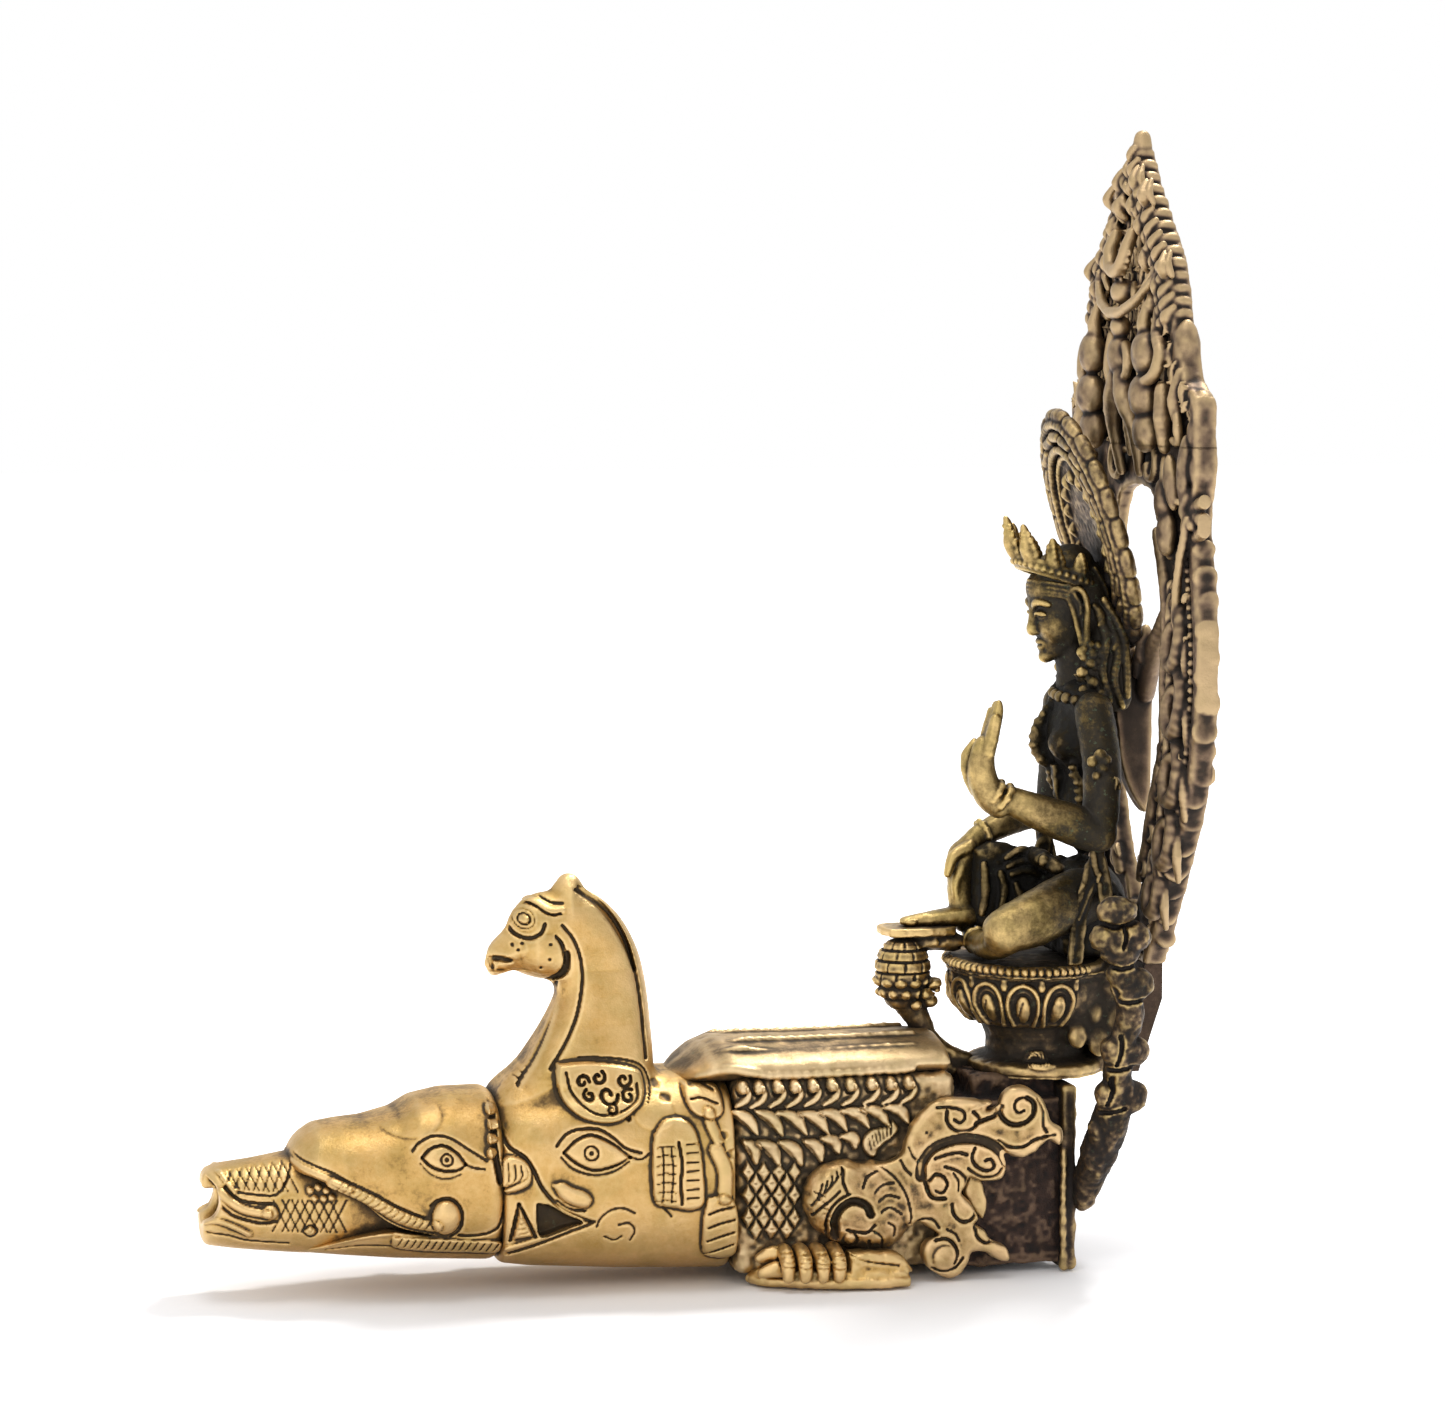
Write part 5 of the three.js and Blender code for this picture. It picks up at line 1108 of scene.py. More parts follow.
    r.draw(leaf_ribs)
    r.patch([(704, 1196), (724, 1192), (736, 1210), (738, 1254), (706, 1256), (700, 1226)], 1.2, 1.2)
    for k in range(4):
        r.line([(706, 1212 + 14 * k), (718, 1207 + 14 * k), (732, 1204 + 13 * k)], 0.55, -0.7)
    for spot in ((668, 1100), (660, 1088), (722, 1134), (730, 1152)):
        r.dome(spot, (1.4, 1.0), -0.5)
    seam = (
        ([(742, 1090), (740, 1140), (741, 1200), (742, 1256)], 1.3, -1.0),
        ((655, 1113), (4.4, 3.6), 0.4),
    )
    r.draw(seam)
    clay.emboss(r, 0.25, 0.6)
    b = Relief(clay)
    b.plane = -6
    eye = (
        ((526, 920), 2.6, 0.5),
        ((525, 920), 1.1, 0.7),
    )
    b.draw(eye)
    for radius, deep in ((5.4, -0.45), (9.5, -0.35)):
        b.line(circle(525.5, 920, radius), 0.42, deep)
    beak = (
        ([(511, 928), (518, 936), (530, 939), (541, 933), (545, 924)], 0.9, -0.8),
        ([(523, 904), (530, 901), (538, 903), (545, 908), (553, 911), (562, 910)], 1.5, 0.4),
        ([(519, 909), (525, 905.5), (531, 904.5), (539, 908), (546, 913), (553, 915), (561, 914)], 0.6, -0.6),
        ([(542, 897), (547, 901), (554, 904), (564, 904)], 0.5, -0.5),
        ([(555, 936), (561, 943), (564, 954), (564, 964)], 1.0, -0.9, 0.5),
        ([(567, 952), (566, 966), (561, 975), (549, 983)], 1.9, -1.5, 0.5),
        ((545, 955), (5.0, 4.6), 0.35),
        ((509, 950), (4.4, 3.0), 0.3),
        ([(494, 962), (502, 961), (513, 962)], 1.5, -1.0, 0.4),
        ([(494, 964), (496, 970)], 0.9, -0.7),
    )
    b.draw(beak)
    for u, v in ((514, 946), (519, 951), (523, 944), (549, 959), (541, 968), (550, 944)):
        b.dome((u, v), 0.4, -0.55)
    b.plane = -7
    b.line([(563, 926), (574, 940), (581, 960), (582, 985), (576, 1014), (564, 1040), (547, 1066)], 0.75,
           -0.7)
    nape = [(582, 890), (602, 904), (618, 922), (630, 946), (637, 975), (641, 1010), (643, 1056)]
    b.line(nape, 1.0, -0.8)
    b.line([(578, 892), (599, 905), (615, 923), (628, 946), (636, 972)], 2.0, -1.1, taper=0.6)
    throat = [(560, 984), (558, 1004), (549, 1030), (534, 1058), (516, 1084)]
    b.line(throat, 0.6, -0.6)
    b.ticks([(u - 6, v - 3) for u, v in throat], 2.6, 1.5, 0.45, -0.5)
    clay.emboss(b, 0.12, 0.4)
    clay.mirror()
    cast(clay, "rear_head_and_bird_skin", ["rear_makara_head", "bird_bust"], GOLD)


def trunk():
    """The block behind the heads: a row of beads, two rows of leaves and a net of diamonds."""
    clay = Clay((6, -21.5, 1), (58, 0, 48), CELL)
    clay.add(slab((7, -17.9, 2.6), (56.8, 17.9, 45.6), 2.4), 0.1)
    r = Relief(clay)
    r.plane = -18.5
    for u, v in ((743, 1091), (759, 1091), (778, 1090), (795, 1090), (813, 1089), (832, 1088), (851, 1088),
                 (872, 1087), (891, 1087), (909, 1086)):
        r.dome((u, v - 3), (1.35, 1.7), 1.9)
        r.line([(u + 4, v - 3), (u + 6, v + 4), (u + 2, v + 11), (u - 8, v + 17)], 1.7, 1.1, taper=0.4)
        r.line([(u - 5, v + 2), (u - 2, v + 6), (u + 2, v + 4)], 0.5, -0.7)
    upper_leaves = (
        ((730, 1112), (757, 1134)),
        ((755, 1111), (782, 1135)),
        ((777, 1112), (806, 1134)),
        ((798, 1112), (828, 1133)),
        ((819, 1111), (846, 1130)),
        ((841, 1110), (868, 1127)),
        ((860, 1108), (888, 1125)),
        ((884, 1107), (908, 1123)),
    )
    for a, b in upper_leaves:
        middle = ((a[0] + b[0]) / 2 + 4, (a[1] + b[1]) / 2 - 4)
        r.line([a, middle, b], 3.2, 1.9, taper=0.75)
        r.line([(a[0] + 4, a[1] + 4), (middle[0] - 3, middle[1] + 5), (b[0] - 4, b[1])], 0.45, -0.4)
    lower_leaves = (
        ((744, 1142), (756, 1162)),
        ((758, 1142), (778, 1163)),
        ((780, 1142), (801, 1164)),
        ((805, 1141), (821, 1160)),
        ((822, 1138), (838, 1152)),
        ((842, 1136), (855, 1147)),
    )
    for a, b in lower_leaves:
        middle = ((a[0] + b[0]) / 2 + 4, (a[1] + b[1]) / 2 - 3)
        r.line([a, middle, b], 3.4, 1.7, taper=0.6)
        r.line([(a[0] + 2, a[1] + 4), (middle[0] - 4, middle[1] + 4), (b[0] - 5, b[1] - 2)], 0.4, -0.35)
    r.patch([(893, 1120), (899, 1128), (893, 1137), (881, 1147), (874, 1158), (864, 1152), (862, 1140),
             (870, 1130), (884, 1126)], 1.5, 1.0)
    r.ticks([(866, 1146), (880, 1134), (894, 1126)], 2.4, 1.0, 0.4, -0.35, 0.5)
    for row in range(6):
        for column in range(4):
            u = 748 + column * 15.5 + (7.8 if row % 2 else 0)
            v = 1172 + row * 11.5
            if u < 800:
                diamond = [(u, v - 11), (u + 7, v), (u, v + 11), (u - 7, v)]
                r.patch(diamond, 1.5, 0.9, False)
                r.line([(u - 4, v), (u + 4, v - 1)], 0.35, -0.25, steps=2)
    clay.roughen(0.25, 1.3, 5)
    clay.emboss(r)
    clay.mirror()
    cast(clay, "trunk_skin", ["makara_trunk"], AGED)


def cover():
    """The ridged cover that slopes down behind the bird."""
    clay = Clay((-6, -20, 41), (58, 0, 54), CELL)
    top = side([(652, 1076), (668, 1068), (684, 1056), (700, 1043), (716, 1037), (800, 1035), (905, 1030),
                (930, 1030)], -2)
    clay.add(hull(-5.0, 55.8, top, [(-6, 43), (60, 43)], [(-5, 6), (-1, 13), (2, 15.6), (7, 17.5),
            (60, 17.6)], 1.8, 1.0), 0.1)
    ridges = (
        ([(722, 1066), (737, 1070), (769, 1075), (817, 1074), (870, 1071), (912, 1068)], -17.2, 0.9),
        ([(716, 1053), (740, 1050), (770, 1054), (800, 1055), (850, 1050), (912, 1046)], -11.5, 0.8),
        ([(722, 1045), (740, 1041), (790, 1039), (840, 1037), (912, 1033)], -5.6, 0.7),
    )
    for points, y, radius in ridges:
        path = [(x, y, z) for x, z in side(points, y)]
        path[0] = (path[0][0], y * 0.86, path[0][2] - 1.4)
        clay.rope(path, [radius], 0.7)
    clay.roughen(0.14, 2.6, 6)
    clay.cut(slab((55.8, -30, 30), (70, 30, 60), 0.01), 0.2)
    clay.mirror()
    cast(clay, "trunk_cover_skin", ["trunk_cover"], AGED)


def foot(near):
    """A clawed foot on its sole plate."""
    clay = Clay((8, -31, -0.6), (46, -14, 11), CELL)
    sole = [(10, -18), (13, -21.5), (20, -25), (28, -27.8), (37, -29), (43, -28.6), (44, -26.5),
            (42.5, -18), (40, -16), (12, -16)]
    clay.add(prism(sole, 0.5, 2.6, 1.0, axis=2), 0.1)
    clay.add(prism([(x * 0.98 + 0.5, y * 0.96) for x, y in sole[1:]], 1.5, 4.0, 1.4, axis=2), 0.8)
    for u, deep in ((789, 26.4), (805, 27.4), (822, 27.9), (838, 28.0)):
        x = side([(u, 1260)], -26)[0][0]
        clay.rope([(x + 0.3, -18, 7.6), (x, -22, 8.2), (x, -deep + 1.2, 6.6), (x - 0.1, -deep + 0.4, 3.4)],
                  [1.4, 1.6, 1.55, 1.3], 0.35)
    for z, y, start in ((7.2, -20.5, 17.6), (4.2, -22.6, 17.6)):
        clay.rope([(start, y, z), (start - 3.0, y - 0.3, z + 0.5), (start - 5.8, y, z - 0.4)],
                  [1.5, 1.6, 1.1], 0.4)
    heel = [(848, 1251), (870, 1250), (896, 1252), (907, 1262), (906, 1272), (850, 1275)]
    clay.add(inflate(side(heel, -24), 2, 3.4, -23.4), 0.8)
    r = Relief(clay)
    r.plane = -27
    for u in (789, 805, 822, 838):
        for k in range(4):
            v = 1254 + k * 4.6
            r.line([(u - 6, v), (u, v + 1), (u + 6, v)], 0.4, -0.35, steps=3)
    r.line([(850, 1256), (868, 1262), (900, 1266)], 0.5, -0.4)
    clay.emboss(r, 0.15, 0.4)
    clay.roughen(0.12, 1.2, 8)
    cast_side(clay, near, "foot", GOLD)


def scroll(near):
    """The haunch with its volute, and the leafy scroll of the tail."""
    clay = Clay((19, -26.5, 0), (83, -16.5, 45), CELL)
    plane = -22.5
    haunch = side([(807, 1190), (815, 1176), (832, 1165), (850, 1162), (864, 1164), (880, 1163),
                   (897, 1172), (908, 1190), (912, 1212), (908, 1235), (895, 1248), (872, 1254),
                   (850, 1249), (830, 1240), (814, 1226), (806, 1208)], plane)
    tail = side([(876, 1166), (897, 1158), (904, 1150), (907, 1138), (913, 1125), (923, 1112), (938, 1101),
                 (960, 1098), (980, 1100), (992, 1102), (987, 1109), (998, 1106), (1003, 1095),
                 (1012, 1087), (1025, 1086), (1038, 1094), (1046, 1106), (1050, 1119), (1060, 1127),
                 (1063, 1137), (1058, 1145), (1049, 1140), (1040, 1147), (1030, 1155), (1016, 1157),
                 (1005, 1154), (1006, 1168), (1002, 1178), (992, 1181), (978, 1180), (969, 1178),
                 (966, 1186), (961, 1193), (972, 1205), (978, 1218), (975, 1225), (984, 1229), (990, 1238),
                 (1003, 1245), (1010, 1255), (1007, 1261), (995, 1258), (985, 1252), (972, 1252),
                 (968, 1262), (960, 1273), (948, 1278), (935, 1273), (924, 1262), (922, 1250), (928, 1240),
                 (938, 1235), (930, 1228), (918, 1222), (908, 1226), (896, 1200)], plane)
    clay.add(inflate(tail, 1.3, 2.0, -21.6), 0.1)
    clay.add(inflate(haunch, 6.5, 5.2, -19.2), 0.8)
    bract = [(972, 1178), (984, 1183), (989, 1200), (989, 1216), (983, 1221), (968, 1198)]
    clay.add(inflate(side(bract, plane), 1, 0.9, -19.6), 0.3)
    r = Relief(clay)
    r.plane = plane
    volute = (
        ([(836, 1238), (834, 1218), (840, 1206), (852, 1200), (864, 1204), (869, 1213)], 1.9, -1.9),
        ([(829, 1240), (826, 1224), (828, 1210), (838, 1198), (848, 1193)], 0.7, -0.9),
        ([(846, 1192), (842, 1182), (843, 1170)], 0.7, -0.7),
        ([(813, 1216), (821, 1206), (830, 1198), (838, 1190)], 0.6, -0.6),
    )
    r.draw(volute)
    for k in range(5):
        r.line([(812 + 6 * k, 1206 - 7 * k), (818 + 6 * k, 1196 - 6 * k), (822 + 5 * k, 1184 - 4 * k)],
               0.45, -0.5)
    for k in range(5):
        r.line([(814 + 3 * k, 1192 + 7 * k), (824 + 2 * k, 1196 + 7 * k)], 0.4, -0.35)
    r.line([(877, 1164), (893, 1176), (905, 1194), (910, 1214), (909, 1224)], 0.5, -0.6)
    petals = (
        [(861, 1187), (866, 1177), (876, 1171)],
        [(873, 1191), (881, 1184), (893, 1182)],
        [(877, 1200), (886, 1194), (898, 1197)],
        [(879, 1211), (888, 1206), (900, 1213)],
        [(886, 1221), (893, 1226), (893, 1235)],
        [(872, 1230), (880, 1236), (882, 1246)],
    )
    for arc in petals:
        r.line(arc, 0.5, -0.5)
    curls = (
        ([(846, 1229), (856, 1231), (866, 1231), (873, 1224)], 0.7, -0.8),
        ((849, 1238), 1.25, 0.9),
        ([(846, 1246), (853, 1246), (857, 1240), (853, 1232)], 0.5, -0.6),
        ([(868, 1240), (870, 1247)], 0.6, -0.5),
        ([(920, 1176), (921, 1163), (931, 1149), (948, 1141), (966, 1138), (984, 1141), (998, 1149),
          (1005, 1161)], 2.3, -2.6),
        ([(968, 1112), (978, 1106), (990, 1103)], 0.5, 0.3),
        ([(936, 1107), (950, 1107), (961, 1110), (964, 1117), (959, 1122), (953, 1119)], 0.7, -0.8),
        ([(946, 1110), (946, 1121), (953, 1129), (964, 1131), (974, 1126), (978, 1118), (972, 1111)], 0.8,
         -0.9),
        ([(975, 1123), (984, 1119), (994, 1115), (1001, 1106)], 1.1, -1.3),
        ([(998, 1108), (1002, 1118), (1012, 1124), (1024, 1122), (1032, 1114), (1033, 1103), (1026, 1097)],
         1.1, -1.3),
        ([(1026, 1097), (1018, 1098), (1013, 1105), (1017, 1112), (1023, 1110)], 0.6, -0.8),
        ([(1036, 1098), (1042, 1110), (1042, 1124), (1046, 1132)], 0.6, -0.6),
        ([(997, 1140), (1008, 1146), (1022, 1146), (1034, 1139), (1046, 1136)], 0.8, -0.9),
        ([(1046, 1136), (1054, 1134)], 0.6, -0.6),
        ([(921, 1163), (924, 1180), (930, 1196), (944, 1198)], 0.9, -1.1),
        ([(974, 1147), (971, 1157), (976, 1166), (986, 1170), (993, 1166), (990, 1159), (984, 1160)], 0.8,
         -0.9),
        ([(967, 1168), (980, 1176), (994, 1175), (1002, 1167)], 0.7, -0.7),
        ([(934, 1158), (946, 1154), (958, 1152), (966, 1154)], 0.8, -0.8),
        ([(944, 1166), (956, 1170), (964, 1177), (966, 1186)], 0.7, -0.8),
        ([(952, 1172), (957, 1180), (957, 1190)], 0.5, -0.6),
        ((936, 1184), (2.0, 2.2), 0.7),
        ([(928, 1180), (934, 1174), (942, 1176), (946, 1184), (941, 1192), (934, 1190)], 0.7, -0.8),
        ([(951, 1204), (953, 1214), (961, 1221), (970, 1219), (975, 1212)], 0.8, -0.9),
        ([(974, 1226), (976, 1236), (984, 1242), (992, 1240)], 0.8, -0.9),
        ((945, 1258), (3.0, 3.0), 0.9),
        ([(935, 1240), (945, 1238), (953, 1244), (956, 1254), (953, 1262)], 0.8, -0.9),
        ([(931, 1267), (942, 1270), (954, 1266), (962, 1257)], 0.7, -0.7),
        ([(914, 1224), (922, 1218), (932, 1219), (938, 1227)], 0.6, -0.7),
        ([(946, 1229), (954, 1233), (958, 1240)], 0.5, -0.5),
        ([(900, 1160), (904, 1168), (910, 1174)], 0.6, -0.6),
        ([(908, 1147), (912, 1156), (918, 1161)], 0.5, -0.5),
        ((925, 1132), 0.35, -0.4),
    )
    r.draw(curls)
    clay.emboss(r, 0.15, 0.45)
    clay.roughen(0.22, 1.8, 9)
    cast_side(clay, near, "haunch_scroll", OLIVE)


def box():
    """The rough inlet box with its open duct."""
    clay = Clay((56, -19, 0.5), (84, 0, 44), CELL * 1.3)
    clay.add(slab((57.3, -17.0, 2.4), (81.6, 17.0, 38.6), 0.7), 0.1)
    clay.add(slab((62, -13.0, 36), (81.4, 13.0, 43.4), 1.0), 0.6)
    clay.cut(slab((50, -14.6, 5), (90, 14.6, 36.4), 0.7), 0.3)
    clay.add(slab((56.6, -17.4, 1.8), (81.4, 17.4, 4.2), 0.6), 0.5)
    clay.roughen(0.35, 2.4, 11)
    clay.roughen(0.22, 0.9, 12)
    clay.mirror()
    cast(clay, "inlet_box_skin", ["inlet_box"], RUST)


def stand():
    """The back stand with its arch."""
    clay = Clay((79, -21, -0.5), (87, 0, 43.5), CELL)
    clay.add(slab((80.9, -19.6, 0.6), (84.3, 19.6, 41.6), 1.0), 0.1)
    arch = [(-12.3, -5), (-12.3, 15.5), (-7.5, 22.5), (0, 25), (7.5, 22.5), (12.3, 15.5), (12.3, -5)]
    clay.cut(prism(arch, 70, 95, 0.6, axis=0), 0.6)
    clay.add(slab((80.7, -19.9, 0.7), (84.5, -12.4, 3.2), 0.9), 0.8)
    clay.rope([(81.3, -19.5, 1), (81.1, -19.7, 14), (81.3, -19.6, 27)], [0.75, 0.6, 0.5], 0.8)
    clay.roughen(0.3, 2.2, 13)
    clay.mirror()
    cast(clay, "back_stand_skin", ["back_stand"], TWIG)


def branch(near):
    """Lobed leaves like a small gilded tree, on a stem that runs down into the stand."""
    clay = Clay((74, -47, 9), (98.5, -18, 87), CELL)
    stem = []
    for u, v, y in ((1124, 912, -39), (1121, 950, -38), (1124, 985, -36.6), (1130, 1015, -35),
                    (1119, 1052, -32.6), (1117, 1092, -29.6), (1109, 1123, -26.8), (1100, 1149, -24),
                    (1089, 1178, -20.6), (1082, 1202, -18.6)):
        x, z = side([(u, v)], y)[0]
        stem.append((x, y, z))
    clay.rope(stem, [1.6, 2.2, 2.6, 2.6, 2.8, 3.2, 3.8, 3.8, 3.0, 2.0], 1.0)
    leaves = ((1117, 911, -39.4, 4.4, 2.9, 3.3), (1107, 938, -38.8, 3.9, 2.8, 3.2),
              (1134, 937, -38.6, 3.9, 2.8, 3.4), (1121, 952, -38.2, 4.4, 2.9, 3.2),
              (1118, 975, -37, 2.6, 2.4, 2.4), (1132, 984, -36.8, 4.9, 2.8, 3.7),
              (1128, 1020, -35, 3.0, 2.6, 4.4), (1114, 1050, -33, 3.2, 2.7, 3.3),
              (1134, 1051, -32.8, 3.4, 2.7, 3.4), (1108, 1094, -30.2, 3.1, 2.6, 3.5),
              (1130, 1096, -30, 3.9, 2.6, 3.9), (1098, 1130, -27, 2.4, 2.2, 3.2))
    for u, v, y, rx, ry, rz in leaves:
        x, z = side([(u, v)], y)[0]
        clay.add(blob((x, y, z), (rx, ry, rz)), 0.55)
        clay.add(blob((x - 0.3 * rx, y - ry * 0.4, z + 0.3 * rz), (rx * 0.55, ry * 0.75, rz * 0.5)), 0.6)
    r = Relief(clay)
    r.plane = -38
    veins = (
        [(1100, 922), (1112, 926), (1132, 921)],
        [(1095, 958), (1104, 964), (1118, 968), (1134, 964), (1146, 956)],
        [(1120, 924), (1122, 938), (1119, 946)],
        [(1112, 998), (1126, 1003), (1146, 1000)],
        [(1124, 1038), (1125, 1052), (1122, 1068)],
        [(1100, 1070), (1118, 1074), (1140, 1070)],
        [(1119, 1082), (1120, 1096), (1116, 1110)],
        [(1096, 1116), (1112, 1120), (1134, 1114)],
        [(1104, 984), (1116, 992), (1118, 1004)],
    )
    for loop in veins:
        r.line(loop, 1.0, -0.9)
    clay.emboss(r, 0.15, 0.5)
    clay.roughen(0.34, 2.0, 15)
    clay.roughen(0.12, 0.8, 16)
    cast_side(clay, near, "side_branch", TWIG)


def throne():
    """The lotus throne: base, waist, bowl with petals, and beaded seat plate."""
    clay = Clay((58, -23.4, 41), (99, 0, 69.6), CELL)
    base = [(-3, 42.5), (13.6, 42.5), (15.1, 43.0), (15.4, 44.0), (14.8, 45.2), (11.5, 45.7), (-3, 45.9)]
    waist = [(-3, 44), (12.2, 44), (11.2, 46.5), (11.0, 50), (11.5, 56), (-3, 57)]
    bowl = [(-3, 52.5), (11.2, 53.6), (14.2, 55.6), (16.4, 58.6), (17.3, 61.6), (17.0, 64.4), (16.0, 66.0),
            (-3, 66.6)]
    plate = [(-3, 65.6), (16.9, 65.8), (17.7, 66.5), (17.7, 68.0), (16.6, 68.5), (14.5, 67.9), (-3, 67.8)]
    clay.add(turned((80.3, 0), 1.1, base), 0.2)
    clay.add(turned((80.3, 0), 1.0, waist), 1.0)
    clay.add(turned((78.4, 0), 1.14, bowl), 0.5)
    clay.add(slab((83.5, -14.6, 49.5), (97.6, 14.6, 67.2), 3.2), 2.0)
    for x, z, size in ((86, 52, 2.2), (91, 50.5, 2.6), (95, 55, 2.4), (88, 61, 2.2), (94, 63, 2.6),
                       (90, 57, 1.8)):
        clay.add(blob((x, -14.2, z), (size, 1.6, size * 1.3)), 0.8)
    clay.add(slab((92, -9, 43), (98, 9, 60), 1.6), 1.5)
    clay.add(turned((78.05, 0), 1.19, plate), 0.4)
    clay.roughen(0.16, 1.6, 21)
    r = clay.rolled(18.5)
    for k in range(5):
        s = math.radians(-166 + 27.3 * k) * 18.5
        if k < 4:
            r.line([(s - 2.9, 54.6), (s - 3.7, 57.6), (s - 3.6, 60.6), (s - 2.3, 63.2), (s, 64.2),
                    (s + 2.3, 63.2), (s + 3.6, 60.6), (s + 3.7, 57.6), (s + 2.9, 54.6)], 1.25, 0.95)
            r.dome((s, 58.6), (1.75, 3.4), 1.1)
            r.line([(s - 1.7, 55.4), (s - 2.3, 58.4), (s - 1.6, 61.2), (s, 62.2), (s + 1.6, 61.2),
                    (s + 2.3, 58.4), (s + 1.7, 55.4)], 0.6, -0.35)
        if k < 3:
            r.line([(s - 1.5, 55.2), (s - 0.9, 57.6), (s, 60.4)], 0.45, -0.5)
        r.dome((s - 4.5, 64.0), (1.0, 1.5), 0.8)
        r.line([(s - 4.5, 62.4), (s - 4.6, 58), (s - 4.4, 54.6)], 0.9, -0.35)
    r.line([(-60, 66.1), (-20, 66.1)], 0.9, -0.6)
    rim = [(-58.2, 67.3), (-20, 67.3)]
    for s, z in spaced(curve(rim), 1.75):
        r.dome((s, z), (0.8, 0.95), 0.75)
        r.line([(s + 0.87, 66.2), (s + 0.87, 68.4)], 0.4, -0.45)
    for k in range(7):
        r.line([(-34.5 + k, 46.0), (-32.6 + k * 0.7, 48.2)], 0.5, 0.5)
    r.dome((-31, 46.6), (5.5, 1.9), 0.9)
    clay.wrap(r, (78.3, 0), 1.14, 18.5)
    clay.mirror()
    cast(clay, "lotus_throne_skin", ["throne_base_disc", "throne_waist", "lotus_bowl", "seat_plate"],
         THRONE)


def foot_rest():
    """The bud on its stem under the right foot, and the plate on top of it."""
    clay = Clay((42.6, -4.4, 40.2), (71, 14.6, 76.4), CELL)
    middle = (50.6, 4.0)
    clay.add(turned(middle, 1.0, [(-3, 56), (2.6, 56.6), (4.2, 58.6), (5.4, 60.4), (5.3, 61.6), (6.1, 63.4),
                                  (6.3, 66.0), (5.6, 69.0), (3.8, 71.4), (1.4, 72.4), (-3, 72.5)]), 0.2)
    stem = (
        ([(51.6, 4, 58.5), (53.6, 3.8, 55), (55.4, 3.4, 51.5), (56.0, 3, 46), (57.4, 3, 42.4)],
         [3.0, 2.3, 1.9, 2.2, 2.8], 1.2),
        ([(56.0, 3.2, 50.2), (60.4, 3.0, 46.6), (66.6, 3, 43.6)], [1.7, 1.5, 1.8], 1.0),
        ((60.5, 3, 42.6), (5.5, 3.0, 2.2), 1.5),
    )
    clay.model(stem)
    plate = [(46.9, 1.2), (50, 0.3), (58, 0.2), (62.2, 1.6), (63.2, 6.5), (62.2, 11.6), (57, 13),
             (50, 12.8), (46.8, 11.6), (45.9, 6.5)]
    clay.add(prism(plate, 73.0, 74.8, 0.6, axis=2), 0.2)
    foot_bed = (
        ((57.6, 6.2, 71.6), (6.2, 5.4, 2.4), 0.9),
        ((62, 5, 71.0), (4.0, 3.6, 2.0), 0.8),
    )
    clay.model(foot_bed)
    for x, y, z, size in ((56.8, 0.6, 62.4, 1.7), (54.6, 6.8, 59.4, 1.6), (56.6, 2.4, 58.2, 1.7),
                          (52.6, -0.6, 57.8, 1.3), (57.4, 4.4, 61.6, 1.7), (54.8, -0.8, 60.4, 1.4)):
        clay.add(blob((x, y, z), (size, size, size * 0.9)), 0.5)
    clay.roughen(0.14, 1.2, 22)
    r = clay.rolled(6.2)
    for z in (65.0, 67.6, 70.0):
        r.line([(-20, z), (20, z + 0.3)], 0.55, -0.6)
    for row, low, high in ((0, 65.2, 67.5), (1, 67.7, 69.9), (2, 70.1, 72.3), (3, 63.6, 65.0)):
        for k in range(9):
            s = (k - 4.5 + (0.5 if row % 2 else 0)) * 4.3
            r.line([(s, low), (s + 0.2, high)], 0.5, -0.6)
    for k in range(11):
        r.dome((-19 + 3.6 * k, 62.7), (1.45, 1.05), 1.0)
        r.dome((-17.6 + 3.6 * k, 60.2), (1.2, 1.2), 0.8)
    clay.wrap(r, middle, 1.0, 6.2)
    cast(clay, "foot_rest_skin", ["foot_rest_bud", "foot_rest_stem", "foot_plate"], THRONE)


# The middle of the head and how far it nods, in radians
HEAD = np.array([86.8, 0.0, 146.8])
NOD = 0.21


def facing(forward, across, up):
    """A place in the head's own frame, which nods forward."""
    c, s = math.cos(NOD), math.sin(NOD)
    return (HEAD[0] - forward * c - up * s, across, HEAD[2] - forward * s + up * c)


